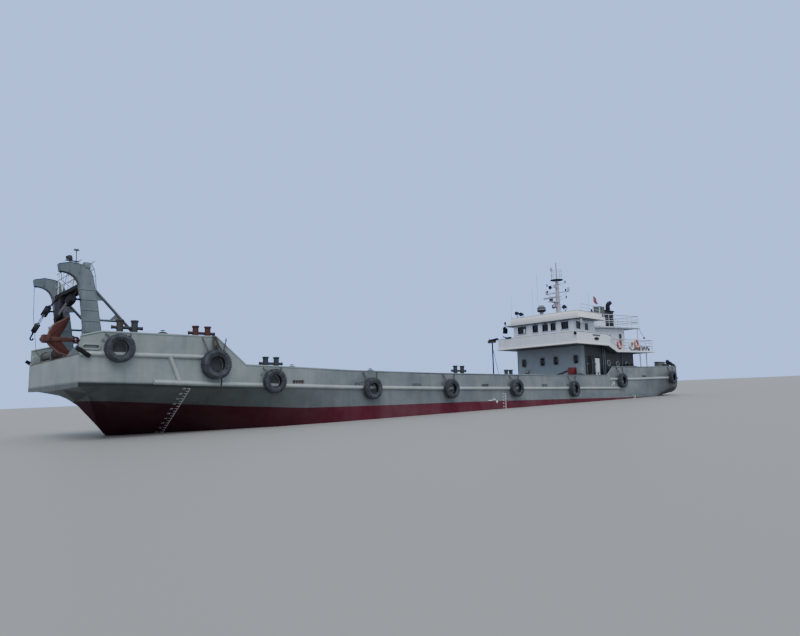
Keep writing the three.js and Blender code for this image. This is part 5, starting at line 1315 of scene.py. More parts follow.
def front_port_panes():
    """Panes of the front ports."""
    return together(*[plate(upright_oval(y, z), "X", HOUSE_FRONT + 0.008, HOUSE_FRONT + 0.02, 0.003)
                      for y, z in FRONT_PORTHOLES])


def door_leaf(x0, x1, z0, z1, y, side):
    """Raised panels, a lever on its rose and clips on a steel door."""
    parts = [rounded_block((x0 + 0.05, y, z0 + 0.08), (x1 - 0.05, y + 0.015, z0 + 0.78), 0.008, 1),
             rounded_block((x0 + 0.05, y, z0 + 0.86), (x1 - 0.05, y + 0.015, z1 - 0.1), 0.008, 1)]
    lever = tube([(x0 + 0.09, y + 0.01, z0 + 1.0), (x0 + 0.09, y + 0.06, z0 + 1.0),
                  (x0 + 0.22, y + 0.065, z0 + 0.98)], 0.012, 8)
    rose = spun([(0.0, 0.0), (0.04, 0.0), (0.035, 0.02), (0.0, 0.024)], (0, 0, 0), "Z", 16)
    rose.data.transform(shift(x0 + 0.09, y + 0.012, z0 + 1.0) @ Matrix.Rotation(-math.pi / 2, 4, "X"))
    parts += [lever, rose]
    for z in (z0 + 0.3, z0 + 1.5):
        parts.append(tube([(x0 + 0.04, y + 0.02, z - 0.06), (x0 + 0.04, y + 0.045, z),
                           (x0 + 0.04, y + 0.02, z + 0.06)], 0.01, 6))
    piece = together(*parts)
    return piece if side > 0 else mirrored(piece)


def mirrored(piece):
    """The piece moved over to starboard."""
    twin = copy_of(piece, PORT_TO_STARBOARD)
    bpy.data.objects.remove(piece)
    return twin


@joined
def door_frames():
    """Coamings round the doorways, with a rain lip over each."""
    for x0, x1, side in HOUSE_DOORS.values():
        y = side * (HOUSE_Y + 0.006)
        outline = [(x0 - 0.03, y, 1.47), (x1 + 0.1, y, 1.47), (x1 + 0.1, y, 3.6), (x0 - 0.03, y, 3.6)]
        yield tube(outline, 0.018, 8, closed=True)
        low, high = sorted((y, y + side * 0.12))
        yield plate([(x0 - 0.1, 3.66), (x1 + 0.15, 3.66), (x1 + 0.15, 3.68), (x0 - 0.1, 3.68)], "Y",
                    low, high)


@joined
def house_trim():
    """Corner beads, pipes clamped down the sides and a moulding along the front wall's foot."""
    for y in (-HOUSE_Y, HOUSE_Y):
        yield upright(HOUSE_FRONT, y, 1.3, 4.48, 0.03, 10)
        yield upright(HOUSE_AFT, y, 2.0, 4.04, 0.03, 10)
        for x, top in ((-12.35, 4.4), (-12.62, 4.3), (-15.35, 4.05)):
            yield upright(x, y + math.copysign(0.05, y), 1.98, top, 0.028)
            for z in (2.3, 3.1, 3.8):
                yield rounded_block((x - 0.05, min(y, y + math.copysign(0.06, y)), z),
                                    (x + 0.05, max(y, y + math.copysign(0.06, y)), z + 0.04), 0.006, 1)
    yield tube([(HOUSE_FRONT + 0.02, -HOUSE_Y, 1.34), (HOUSE_FRONT + 0.02, HOUSE_Y, 1.34)], 0.04, 8)


def wall_hose():
    """Fire hose that sags along the front wall from its valve to the red box."""
    run = [(-2.95, 2.42), (-2.3, 2.36), (-1.4, 2.31), (-0.6, 2.28), (0.2, 2.28), (0.6, 2.33),
           (1.2, 2.5), (1.62, 2.62)]
    hose = tube([(HOUSE_FRONT + 0.07, y, z) for y, z in run], 0.032, 10)
    hooks = [tube([(HOUSE_FRONT, y, z + 0.03), (HOUSE_FRONT + 0.1, y, z - 0.05),
                   (HOUSE_FRONT + 0.13, y, z + 0.02)], 0.012, 6)
             for y, z in ((-2.3, 2.33), (-0.6, 2.25), (0.6, 2.3))]
    return together(hose, *hooks)


def red_box():
    """Hose box on the front wall."""
    box = rounded_block((HOUSE_FRONT - 0.005, 1.75, 2.28), (HOUSE_FRONT + 0.24, 2.33, 2.84), 0.02, 3)
    lid = rounded_block((HOUSE_FRONT + 0.235, 1.79, 2.32), (HOUSE_FRONT + 0.255, 2.29, 2.8), 0.008, 2)
    latch = rounded_block((HOUSE_FRONT + 0.25, 1.8, 2.52), (HOUSE_FRONT + 0.275, 1.86, 2.6), 0.006, 1)
    hinge = upright(HOUSE_FRONT + 0.245, 2.31, 2.36, 2.76, 0.012)
    return together(box, lid, latch, hinge)


def meter_box():
    """Meter cabinet with its conduit, and a small white box."""
    box = rounded_block((HOUSE_FRONT - 0.005, 2.5, 2.28), (HOUSE_FRONT + 0.2, 3.0, 2.8), 0.02, 3)
    lid = rounded_block((HOUSE_FRONT + 0.195, 2.54, 2.32), (HOUSE_FRONT + 0.212, 2.96, 2.76), 0.008, 2)
    conduit = upright(HOUSE_FRONT + 0.05, 2.75, 2.78, 4.45, 0.018)
    white = rounded_block((HOUSE_FRONT - 0.005, -2.4, 2.58), (HOUSE_FRONT + 0.16, -2.02, 2.86), 0.03, 3)
    return together(box, lid, conduit, white)


@joined
def side_gear():
    """Valves and a pump in the alley beside the house, and two drums and a pipe run aft of them."""
    for x, z in ((-9.9, 2.35), (-10.45, 2.3), (-10.9, 2.38)):
        deck = along(DECK_TOP, x)
        yield upright(x, 3.5, deck, z, 0.045, 10)
        yield hoop(0.1, 0.015, 0.012, (x, 3.5, z + 0.05), "Z", 16)
        yield spun([(0.0, -0.07), (0.09, -0.06), (0.09, 0.06), (0.0, 0.07)], (x, 3.5, z - 0.22), "Z", 14)
    pump = spun([(0.0, -0.3), (0.15, -0.28), (0.17, -0.2), (0.17, 0.16), (0.12, 0.2), (0.12, 0.3),
                 (0.0, 0.32)], (-10.8, 3.45, 1.55), "X", 20)
    bed = rounded_block((-11.14, 3.28, 1.25), (-10.46, 3.62, 1.4), 0.02)
    aft = [spun([(0.0, 0.0), (0.14, 0.0), (0.16, 0.03), (0.16, 0.78), (0.12, 0.86), (0.0, 0.88)],
                (x, 3.42, along(DECK_TOP, x)), "Z", 20) for x in (-13.62, -14.1)]
    pipes = [tube([(-15.3, 3.45, z), (-17.2, 3.45, z)], 0.03, 8) for z in (2.9, 3.02)]
    pipes += [upright(x, 3.45, 1.95, 3.02, 0.025) for x in (-15.4, -16.3, -17.1)]
    yield pump
    yield bed
    yield from aft
    yield from pipes


RIMS = together(at_portholes(porthole_rim()), front_port_frames())
PANES = together(at_portholes(porthole_glass()), front_port_panes())
settle(RIMS, "porthole_rims", RIM_PAINT)
settle(PANES, "porthole_glass", GLASS)
for leaf, (x0, x1, side) in HOUSE_DOORS.items():
    # The fore door in deep black: painted shade of an open doorway.
    finish = BLACK_AND_SHADE if leaf == "house_door_fore" else WHITE_PAINT
    settle(door_leaf(x0 + 0.01, x1 - 0.01, 1.52, 3.53, HOUSE_Y - 0.002, side), leaf + "_panels", finish,
           body=leaf)
settle(together(door_frames(), house_trim()), "house_trim", HOUSE_PAINT)
settle(wall_hose(), "wall_hose", BLACK_PAINT)
settle(red_box(), "red_box", RED_PAINT)
settle(meter_box(), "meter_boxes", METER_GREY)
settle(side_gear(), "side_gear", RUSTY_DARK)


# Bridge deck and wheelhouse
WHEEL_FRONT = -8.95
WHEEL_Y = 2.8
WINDOW_Z = (5.78, 6.34)
# Middle across the front and width
FRONT_WINDOWS = [(-1.98, 0.86), (-0.68, 0.56), (0.26, 0.56), (1.0, 0.5), (2.06, 0.66)]
ROOF_Y = 3.6
BRIM_Y = (-2.82, 3.44)
WHEEL_FOOT = 4.66
WHEEL_HEAD = 6.48
CABIN_Y = 2.7
DODGER_Y = 3.68
DECK_EDGE_Y = 3.72
BRIDGE_FORE = -7.86
BOAT_AFT = -19.93
DECK_EDGE = [(BRIDGE_FORE, 4.57), (-12.3, 4.57), (-13.6, 4.11), (BOAT_AFT, 4.29)]


def frame_bar(places, radius=0.02):
    return tube(places, radius, 8, closed=True)


@joined
def window_frames():
    """Steel frames that stand a little proud, with a sill and a drip rail at each front window."""
    for y, width in FRONT_WINDOWS:
        x = WHEEL_FRONT + 0.005
        low, high = y - width / 2, y + width / 2
        yield frame_bar([(x, low, WINDOW_Z[0]), (x, high, WINDOW_Z[0]), (x, high, WINDOW_Z[1]),
                         (x, low, WINDOW_Z[1])])
        yield rounded_block((x - 0.01, low - 0.05, WINDOW_Z[0] - 0.05),
                            (x + 0.05, high + 0.05, WINDOW_Z[0] - 0.02), 0.008, 1)
        yield rounded_block((x - 0.01, low - 0.05, WINDOW_Z[1] + 0.02),
                            (x + 0.06, high + 0.05, WINDOW_Z[1] + 0.045), 0.008, 1)
    for side in (-1, 1):
        y = side * (WHEEL_Y + 0.005)
        yield frame_bar([(-9.95, y, WINDOW_Z[0]), (-9.3, y, WINDOW_Z[0]), (-9.3, y, WINDOW_Z[1]),
                         (-9.95, y, WINDOW_Z[1])])
        yield frame_bar([(-16.4, side * 2.705, 4.95), (-15.9, side * 2.705, 4.95),
                         (-15.9, side * 2.705, 5.72), (-16.4, side * 2.705, 5.72)])
        yield frame_bar([(-11.18, y, 4.78), (-10.42, y, 4.78), (-10.42, y, 6.45), (-11.18, y, 6.45)], 0.016)


@joined
def window_seals():
    """Black rubber round each pane, with wipers on the three middle lights."""
    for y, width in FRONT_WINDOWS:
        x = WHEEL_FRONT - 0.06
        low, high = y - width / 2 + 0.01, y + width / 2 - 0.01
        yield frame_bar([(x, low, WINDOW_Z[0] + 0.01), (x, high, WINDOW_Z[0] + 0.01),
                         (x, high, WINDOW_Z[1] - 0.01), (x, low, WINDOW_Z[1] - 0.01)], 0.03)
    for y in (-0.68, 0.26, 1.0):
        yield tube([(WHEEL_FRONT + 0.03, y, WINDOW_Z[1] + 0.05),
                    (WHEEL_FRONT + 0.02, y + 0.05, WINDOW_Z[0] + 0.2)], 0.008, 6)
        yield tube([(WHEEL_FRONT - 0.03, y - 0.08, WINDOW_Z[0] + 0.1),
                    (WHEEL_FRONT - 0.03, y + 0.16, WINDOW_Z[0] + 0.3)], 0.01, 6)
        yield rounded_block((WHEEL_FRONT - 0.002, y - 0.05, WINDOW_Z[1] + 0.04),
                            (WHEEL_FRONT + 0.06, y + 0.05, WINDOW_Z[1] + 0.12), 0.01)


@joined
def side_panes():
    """Glass of the wheelhouse's and the cabin's side windows."""
    for side in (-1, 1):
        low, high = sorted((side * (WHEEL_Y - 0.05), side * (WHEEL_Y - 0.07)))
        yield rounded_block((-9.99, low, WINDOW_Z[0] - 0.03), (-9.26, high, WINDOW_Z[1] + 0.03), 0.004, 1)
        low, high = sorted((side * 2.65, side * 2.63))
        yield rounded_block((-16.44, low, 4.91), (-15.86, high, 5.76), 0.004, 1)


def boat_deck(x):
    """Top of the bridge and boat deck."""
    return along([(BRIDGE_FORE, 4.64), (-12.3, 4.64), (-13.6, 4.18), (-19.95, 4.36)], x)


def top_deck(x):
    """Top of the deck over the cabin."""
    return along([(-12.1, 6.09), (-18.6, 6.38)], x)


@joined
def wall_ribs():
    """Shallow vertical laps and corner beads of the wheelhouse plating."""
    for y in (-2.62, -1.42, -1.08, -0.22, -0.1, 0.62, 1.32, 1.62, 2.5):
        yield upright(WHEEL_FRONT + 0.004, y, WHEEL_FOOT, WHEEL_HEAD, 0.012, 6)
    for side in (-1, 1):
        yield upright(WHEEL_FRONT, side * WHEEL_Y, WHEEL_FOOT, WHEEL_HEAD, 0.025)
        for x in (-10.2, -11.5):
            yield upright(x, side * (WHEEL_Y + 0.004), WHEEL_FOOT, WHEEL_HEAD, 0.012, 6)
        for x in (-12.6, -13.9, -15.2, -16.8):
            yield upright(x, side * (CABIN_Y + 0.004), boat_deck(x) + 0.02, top_deck(x) - 0.14, 0.012, 6)
        yield tube([(-11.4, side * (WHEEL_Y + 0.07), 5.45), (-11.95, side * (WHEEL_Y + 0.07), 5.45)],
                   0.016, 8)
        yield tube([(-12.4, side * 2.78, 5.2), (-16.6, side * 2.78, 5.2)], 0.018, 8)
        for x in (-12.45, -13.8, -15.2, -16.55):
            yield tube([(x, side * CABIN_Y, 5.2), (x, side * 2.78, 5.2)], 0.012, 6)


def deck_edge():
    """Rolled moulding along the deck's edge, under the dodger and the railing."""
    parts = [tube([(x, side * DECK_EDGE_Y, z) for x, z in DECK_EDGE], 0.06, 10) for side in (-1, 1)]
    for x, z in (DECK_EDGE[0], DECK_EDGE[-1]):
        parts.append(tube([(x, -DECK_EDGE_Y, z), (x, DECK_EDGE_Y, z)], 0.06, 10))
    return together(*parts)


@joined
def deck_fascia():
    """A rolled bar along the dodger's top, with stiffeners inside."""
    for side in (-1, 1):
        top = [(-7.88, side * DODGER_Y, 5.43), (-12.3, side * DODGER_Y, 5.43),
               (-12.7, side * DODGER_Y, 5.3)]
        yield tube(top, 0.032, 8)
        for x in (-8.6, -9.6, -10.6, -11.6):
            low, high = sorted((side * 3.6, side * 3.5))
            yield plate([(x, WHEEL_FOOT), (x + 0.012, WHEEL_FOOT), (x + 0.012, 5.4), (x, 5.4)], "Y",
                        low, high)
    yield tube([(-7.92, -DODGER_Y, 5.43), (-7.92, DODGER_Y, 5.43)], 0.032, 8)


@joined
def dodger_openings():
    """Louvred eyebrow over an oval port in each wing of the dodger."""
    for side in (-1, 1):
        y = side * DODGER_Y
        ring = [(u, y + side * 0.006, w) for u, w in oval(-10.66, 4.98, 0.38, 0.13, 20)]
        yield tube(ring, 0.02, 8, closed=True)
        for k in range(3):
            low, high = sorted((y, y + side * (0.03 + 0.02 * k)))
            yield plate([(-11.2, 5.2 + 0.05 * k), (-10.1, 5.2 + 0.05 * k), (-10.1, 5.212 + 0.05 * k),
                         (-11.2, 5.212 + 0.05 * k)], "Y", low, high)


@joined
def dodger_darks():
    """Dark ports and louvre, black as painted shade in the openings, and the lamps of the dodger."""
    for side in (-1, 1):
        y = side * DODGER_Y
        low, high = sorted((y - side * 0.01, y + side * 0.012))
        # Black fillings of the port and behind the louvre's slats: painted shade.
        yield plate(oval(-10.66, 4.98, 0.37, 0.12, 20), "Y", low, high, 0.003)
        yield rounded_block((-11.18, min(y, y + side * 0.012), 5.18),
                            (-10.12, max(y, y + side * 0.012), 5.32), 0.004, 1)
    yield spun([(0.0, -0.05), (0.08, -0.04), (0.11, 0.04), (0.12, 0.1), (0.1, 0.12), (0.0, 0.11)],
               (-7.84, 3.64, 5.26), "X", 18)
    flood = rounded_block((-7.98, -2.84, 5.42), (-7.8, -2.3, 5.54), 0.03)
    snout = tube([(-7.9, -2.8, 5.5), (-7.86, -3.1, 5.62)], 0.05, 8)
    yield flood
    yield snout
    yield tube([(-7.9, -2.6, 5.44), (-7.94, -2.6, 5.3)], 0.03, 8)


def roof_form():
    """Thin roof slab with wings, and the deep raised brim on it."""
    slab = rounded_block((-12.1, -ROOF_Y, 6.5), (-8.67, ROOF_Y, 6.68), 0.03)
    profile = [(-12.1, 6.7), (-11.0, 6.58), (-8.66, 6.43), (-8.58, 6.48), (-8.56, 6.85), (-8.62, 7.05),
               (-8.7, 7.1), (-12.1, 7.05)]
    brim = plate(profile, "Y", BRIM_Y[0], BRIM_Y[1], 0.03)
    return together(slab, brim)


@joined
def roof_trim():
    """Drip edges of the roof, its low handrail, a wing stay and the rounded edges of the top deck."""
    for side in (-1, 1):
        y = side * ROOF_Y
        yield tube([(-12.08, y, 6.53), (-8.68, y, 6.53)], 0.025, 8)
    yield tube([(-8.68, -ROOF_Y, 6.53), (-8.68, BRIM_Y[0], 6.53)], 0.025, 8)
    yield tube([(-8.66, BRIM_Y[0], 7.09), (-8.66, BRIM_Y[1], 7.09)], 0.025, 8)
    for y in BRIM_Y:
        yield tube([(-8.66, y, 7.09), (-12.08, y, 7.04)], 0.025, 8)
    for rise in (0.3, 0.58):
        yield tube([(-9.3, 3.3, 7.06 + rise), (-12.05, 3.3, 7.02 + rise)], 0.018, 6)
    for x in (-9.3, -10.2, -11.1, -12.05):
        yield upright(x, 3.3, 7.0, 7.62, 0.018, 6)
    yield tube([(-8.65, -3.62, 6.5), (-8.4, -3.66, 5.45)], 0.02, 8)
    yield tube([(-18.58, -3.2, 6.33), (-18.58, 3.2, 6.33)], 0.035, 8)
    for y in (-3.24, 3.24):
        yield tube([(-12.12, y, 6.04), (-18.58, y, 6.33)], 0.035, 8)


def light_boards():
    """Screens of the starboard side lamp, a dark strip under the roof's wing as painted shadow, and the lamp
    on its end.
    """
    starboard = rounded_block((-8.86, -3.6, 5.94), (-8.5, -3.52, 6.46), 0.01, 1)
    back = rounded_block((-8.9, -3.58, 5.94), (-8.84, -3.4, 6.42), 0.01, 1)
    # Painted shadow under the roof's wing.
    drip = rounded_block((-8.7, -3.58, 6.46), (-8.6, -2.84, 6.51), 0.01, 1)
    lamp = spun([(0.0, 0.0), (0.07, 0.0), (0.085, 0.03), (0.085, 0.2), (0.06, 0.26), (0.0, 0.27)],
                (-8.8, -3.56, 6.68), "Z", 18)
    return together(starboard, back, drip, lamp)


def port_board():
    """Screen behind the port side lamp."""
    screen = rounded_block((-9.0, 3.5, 6.06), (-8.76, 3.55, 6.44), 0.01, 1)
    back = rounded_block((-9.02, 3.36, 6.06), (-8.98, 3.5, 6.4), 0.01, 1)
    return together(screen, back)


def side_lamp(side):
    """Running light on its board."""
    return spun([(0.0, -0.07), (0.045, -0.06), (0.06, -0.02), (0.06, 0.02), (0.045, 0.06), (0.0, 0.07)],
                (-8.9, side * 3.45, 6.2), "Z", 18)


# Middle of each reflector
SEARCHLIGHTS = [(-9.3, -2.6, 7.58), (-9.3, -2.16, 7.45), (-9.3, 1.95, 7.54)]


@joined
def searchlight_shells():
    """Housings on their forks and posts."""
    for x, y, z in SEARCHLIGHTS:
        yield spun([(0.0, -0.17), (0.07, -0.16), (0.11, -0.1), (0.15, 0.14), (0.165, 0.16), (0.16, 0.2),
                    (0.135, 0.2), (0.135, 0.165), (0.0, 0.165)], (x, y, z), "X", 24)
        yield tube([(x, y - 0.17, z), (x, y - 0.17, z - 0.2), (x, y + 0.17, z - 0.2), (x, y + 0.17, z)],
                   0.014, 8)
        yield upright(x, y, 7.0, z - 0.19, 0.045, 10)


def searchlight_glasses():
    """Front glasses of the searchlights."""
    return together(*[spun([(0.0, 0.18), (0.08, 0.178), (0.132, 0.172), (0.132, 0.16), (0.0, 0.16)],
                           (x, y, z), "X", 24) for x, y, z in SEARCHLIGHTS])


# x, y, foot and top
WHIPS = [(-10.5, -1.9, 7.0, 9.6), (-10.6, -1.45, 7.0, 10.9), (-9.4, -3.3, 7.02, 9.3),
         (-11.7, 2.6, 6.96, 8.9)]


@joined
def whip_aerials():
    """Whips on their sockets."""
    for x, y, foot, top in WHIPS:
        yield upright(x, y, foot, foot + 0.35, 0.028)
        yield upright(x, y, foot + 0.3, top, 0.009, 6)
        yield spun([(0.0, 0.0), (0.07, 0.0), (0.06, 0.03), (0.0, 0.04)], (x, y, foot - 0.01), "Z", 12)


settle(window_frames(), "window_frames", WHITE_PAINT)
settle(window_seals(), "window_seals", BLACK_PAINT)
settle(side_panes(), "side_panes", GLASS)
for side, leaf in ((1, "wheelhouse_door_port"), (-1, "wheelhouse_door_starboard")):
    low, high = sorted((side * (WHEEL_Y - 0.025), side * (WHEEL_Y - 0.035)))
    pane = rounded_block((-11.04, low, 5.76), (-10.56, high, 6.27), 0.004, 1)
    settle(pane, leaf + "_pane", GLASS, body=leaf)
    settle(door_leaf(-11.13, -10.47, 4.82, 5.7, WHEEL_Y - 0.002, side), leaf + "_panel", WHITE_PAINT,
           body=leaf)
# The brim in the lighter white: painted light.
settle(roof_form(), "roof_form", LIT_BRIM_WHITE, stands_for=["wheelhouse_roof"])
settle(port_board(), "port_board", METER_GREY)
settle(together(wall_ribs(), deck_fascia(), dodger_openings(), roof_trim()), "bridge_trim",
       WHITE_PAINT)
# The moulding in pure white: painted highlight.
settle(deck_edge(), "deck_edge", HIGHLIGHT_WHITE)
settle(together(dodger_darks(), light_boards()), "lamp_boards", BLACK_AND_SHADE)
settle(side_lamp(1), "port_lamp", RED_LAMP)
settle(side_lamp(-1), "starboard_lamp", GREEN_LAMP)
settle(searchlight_shells(), "searchlight_shells", BLACK_PAINT)
settle(searchlight_glasses(), "searchlight_glasses", GLASS)
settle(whip_aerials(), "whip_aerials", HOUSE_PAINT)
# A white panel before the first window's glass: painted reflection.
settle(rounded_block((-8.99, -1.86, 5.83), (-8.975, -1.68, 6.18), 0.004, 1), "sun_blind",
       BUOY_WHITE)


# Mast, funnel and boat deck
MAST_X = -11.35
# y and z of each lamp
MAST_LAMPS = [(0.78, 9.94), (0.79, 9.27), (0.81, 8.69), (0.64, 7.97), (-0.97, 9.91), (-0.97, 9.36)]


@joined
def mast_fittings():
    """Platform rail, rungs, yard stays and lamp brackets."""
    ring = oval(MAST_X, 0.0, 0.46, 0.46, 16)
    for z in (10.6, 11.0):
        yield tube([(x, y, z) for x, y in ring], 0.014, 6, closed=True)
    for x, y in ring[::4]:
        yield upright(x, y, 10.24, 11.0, 0.014, 6)
    rung = tube([(MAST_X - 0.22, -0.14, 7.2), (MAST_X - 0.34, -0.14, 7.2), (MAST_X - 0.34, 0.14, 7.2),
                 (MAST_X - 0.22, 0.14, 7.2)], 0.012, 6)
    yield from row_of(rung, [shift(x=0.01 * k, z=0.33 * k) for k in range(1, 9)])
    for side in (-1, 1):
        yield tube([(MAST_X, side * 1.1, 9.15), (MAST_X, side * 0.1, 9.95)], 0.01, 6)
        yield tube([(MAST_X, side * 1.1, 9.15), (MAST_X, side * 0.15, 8.7)], 0.014, 6)
    for y, z in MAST_LAMPS:
        yield tube([(MAST_X, 0.0, z - 0.1), (MAST_X, y, z - 0.1)], 0.014, 6)


def mast_darks():
    """Dark lamps, the horn, the platform's underside in black as painted shade, the radar's foot and the
    dome's collar.
    """
    lamp = spun([(0.0, -0.1), (0.05, -0.09), (0.065, -0.05), (0.055, -0.03), (0.055, 0.07), (0.065, 0.09),
                 (0.0, 0.12)], (0, 0, 0), "Z", 14)
    parts = [copy_of(lamp, shift(MAST_X, y, z)) for y, z in MAST_LAMPS]
    bpy.data.objects.remove(lamp)
    parts.append(spun([(0.0, -0.16), (0.05, -0.14), (0.07, 0.0), (0.14, 0.12), (0.16, 0.15), (0.14, 0.15),
                       (0.0, 0.05)], (MAST_X + 0.35, -0.36, 9.6), "X", 20))
    # The platform's underside in black: painted shade.
    parts.append(spun([(0.0, 10.14), (0.3, 10.15), (0.5, 10.185), (0.53, 10.2), (0.53, 10.235),
                       (0.505, 10.235), (0.505, 10.2), (0.0, 10.19)], (MAST_X, 0, 0), "Z", 24))
    parts.append(spun([(0.0, 8.52), (0.17, 8.52), (0.17, 8.47), (0.145, 8.44), (0.145, 8.38), (0.0, 8.38)],
                      (MAST_X + 0.95, 0, 0), "Z", 20))
    parts.append(spun([(0.165, 7.6), (0.3, 7.66), (0.37, 7.7), (0.375, 7.76), (0.36, 7.78), (0.165, 7.78)],
                      (-10.7, -1.2, 0), "Z", 24))
    parts.append(spun([(0.355, 7.9), (0.372, 7.93), (0.36, 7.98), (0.345, 7.96)],
                      (-10.7, -1.2, 0), "Z", 24))
    return together(*parts)


def mast_foot_horn():
    """Round trumpet on the front of the mast's foot, with its bracket."""
    bell = spun([(0.0, 0.0), (0.08, 0.0), (0.1, 0.1), (0.16, 0.22), (0.2, 0.26), (0.19, 0.28), (0.14, 0.24),
                 (0.0, 0.2)], (MAST_X + 0.14, -0.16, 8.0), "X", 24)
    bracket = rounded_block((MAST_X, -0.24, 7.92), (MAST_X + 0.2, -0.08, 8.08), 0.02)
    return together(bell, bracket)


def radar_cap():
    """Housing of the radar's bar and its hub."""
    bar = rounded_block((-10.46, -0.68, 8.585), (-10.34, 0.68, 8.715), 0.04, 3)
    hub = spun([(0.0, 8.578), (0.1, 8.578), (0.1, 8.6), (0.08, 8.66), (0.0, 8.66)], (-10.4, 0, 0), "Z", 18)
    return together(bar, hub)


FUNNEL_X = (-18.3, -16.3)
FUNNEL_Y = 1.2
FUNNEL_TOP = 7.95


def funnel_outline(grow, corner=0.35, steps=5):
    """Rounded rectangle round the funnel, larger than it by grow."""
    points = []
    for cx, cy, start in ((FUNNEL_X[1] - corner, FUNNEL_Y - corner, 0),
                          (FUNNEL_X[0] + corner, FUNNEL_Y - corner, 90),
                          (FUNNEL_X[0] + corner, corner - FUNNEL_Y, 180),
                          (FUNNEL_X[1] - corner, corner - FUNNEL_Y, 270)):
        for k in range(steps + 1):
            turn = math.radians(start + 90 * k / steps)
            points.append((cx + (corner + grow) * math.cos(turn), cy + (corner + grow) * math.sin(turn)))
    return points


def funnel_fittings():
    """Cap, bands, foot and louvres of the funnel."""
    cap = plate(funnel_outline(0.12), "Z", FUNNEL_TOP - 0.02, FUNNEL_TOP + 0.06, 0.02)
    bands = [tube([(x, y, z) for x, y in funnel_outline(0.01)], 0.022, 8, closed=True)
             for z in (6.6, 7.1, 7.6)]
    foot = plate(funnel_outline(0.06), "Z", 6.3, 6.46, 0.02)
    slats = []
    for k in range(8):
        z = 6.66 + 0.1 * k
        slats.append(plate([(-17.8, z), (-16.9, z), (-16.9, z + 0.03), (-17.8, z + 0.03)], "Y",
                           FUNNEL_Y - 0.01, FUNNEL_Y + 0.04))
    starboard = [copy_of(piece, PORT_TO_STARBOARD) for piece in slats]
    return together(cap, *bands, foot, *slats, *starboard)


def exhaust_lagging():
    """Fat lagged swan neck over the exhaust, with bands and a raked mouth."""
    neck = tube([(-17.7, 0.9, 7.98), (-17.7, 0.9, 8.3), (-17.71, 0.9, 8.46), (-17.77, 0.9, 8.6),
                 (-17.9, 0.9, 8.71), (-18.14, 0.9, 8.79)], 0.19, 18)
    bands = [spun([(0.185, -0.02), (0.205, -0.015), (0.205, 0.015), (0.185, 0.02)], (-17.7, 0.9, z), "Z",
                  20) for z in (8.04, 8.24)]
    second = upright(-17.1, -0.35, 7.96, 8.3, 0.07, 12)
    return together(neck, *bands, second)


@joined
def vent_louvres():
    """Slats and posts on the casing's open sides."""
    for k in range(8):
        z = 7.24 + 0.09 * k
        yield plate([(-15.08, z), (-14.32, z), (-14.32, z + 0.02), (-15.08, z + 0.02)], "Y", 1.995, 2.03)
        yield plate([(1.47, z), (1.98, z), (1.98, z + 0.02), (1.47, z + 0.02)], "X", -14.305, -14.27)
    posts = [rounded_block((x - 0.02, 2.0, 7.16), (x + 0.02, 2.03, 7.98), 0.004, 1)
             for x in (-15.07, -14.7, -14.33)]
    posts += [rounded_block((-14.3, y - 0.02, 7.16), (-14.27, y + 0.02, 7.98), 0.004, 1)
              for y in (1.48, 1.72, 1.97)]
    yield from posts


def flag_staff():
    """Thin staff on the casing."""
    return tube([(-14.2, 1.6, 8.04), (-14.15, 1.6, 9.0)], 0.014, 6)


def furled_flag():
    """Small flag that hangs from its staff in soft folds."""
    outline = [(0.0, 8.96), (0.12, 8.86), (0.24, 8.56), (0.36, 8.22), (0.3, 8.16), (0.16, 8.22),
               (0.06, 8.36), (0.0, 8.5)]
    flag = plate(outline, "X", -14.17, -14.155)
    clear()
    flag.select_set(True)
    bpy.context.view_layer.objects.active = flag
    bpy.ops.object.mode_set(mode="EDIT")
    bpy.ops.mesh.select_all(action="SELECT")
    bpy.ops.mesh.quads_convert_to_tris()
    bpy.ops.mesh.subdivide(number_cuts=4)
    bpy.ops.object.mode_set(mode="OBJECT")
    for vertex in flag.data.vertices:
        reach = vertex.co.y
        vertex.co.x += 0.08 * math.sin(reach * 26) * min(1.0, reach * 5) - reach * 0.3
        vertex.co.y = 1.6 + reach
    return flag


# x and z of the middles
LIFEBUOYS = [(-14.05, 4.67), (-16.0, 4.66), (-16.86, 4.82)]
BUOY_Y = 3.64 + 0.03 + 0.04


def buoy_ring(x, z, side):
    """Ring of a lifebuoy."""
    ring = [(u, side * BUOY_Y, w) for u, w in oval(x, z, 0.31, 0.31, 24)]
    return tube(ring, 0.085, 14, closed=True)


@joined
def buoy_bands(x, z, side):
    """Four bands and the grab line of a lifebuoy."""
    for quarter in range(4):
        start = math.radians(45 + 90 * quarter - 7)
        arc = [(x + 0.31 * math.cos(start + math.radians(3.5 * k)), side * BUOY_Y,
                z + 0.31 * math.sin(start + math.radians(3.5 * k))) for k in range(5)]
        yield tube(arc, 0.09, 14)
    line = [(x + (0.4 + 0.03 * math.cos(4 * t)) * math.cos(t), side * BUOY_Y,
             z + (0.4 + 0.03 * math.cos(4 * t)) * math.sin(t)) for t in circle(32)]
    yield tube(line, 0.01, 6, closed=True)


@joined
def boat_deck_gear():
    """Coiled lines hung on the rail of the boat deck."""
    for x, z, size in ((-17.7, 4.5, 0.2), (-18.2, 4.52, 0.24), (-18.75, 4.48, 0.22), (-19.3, 4.5, 0.24)):
        for k in range(4):
            ring = [(x + 0.04 * k + size * math.cos(t), 3.5 + 0.05 * math.sin(2 * t) - 0.02 * k,
                     z + size * 0.8 * math.sin(t)) for t in circle(18)]
            yield tube(ring, 0.028, 6, closed=True)


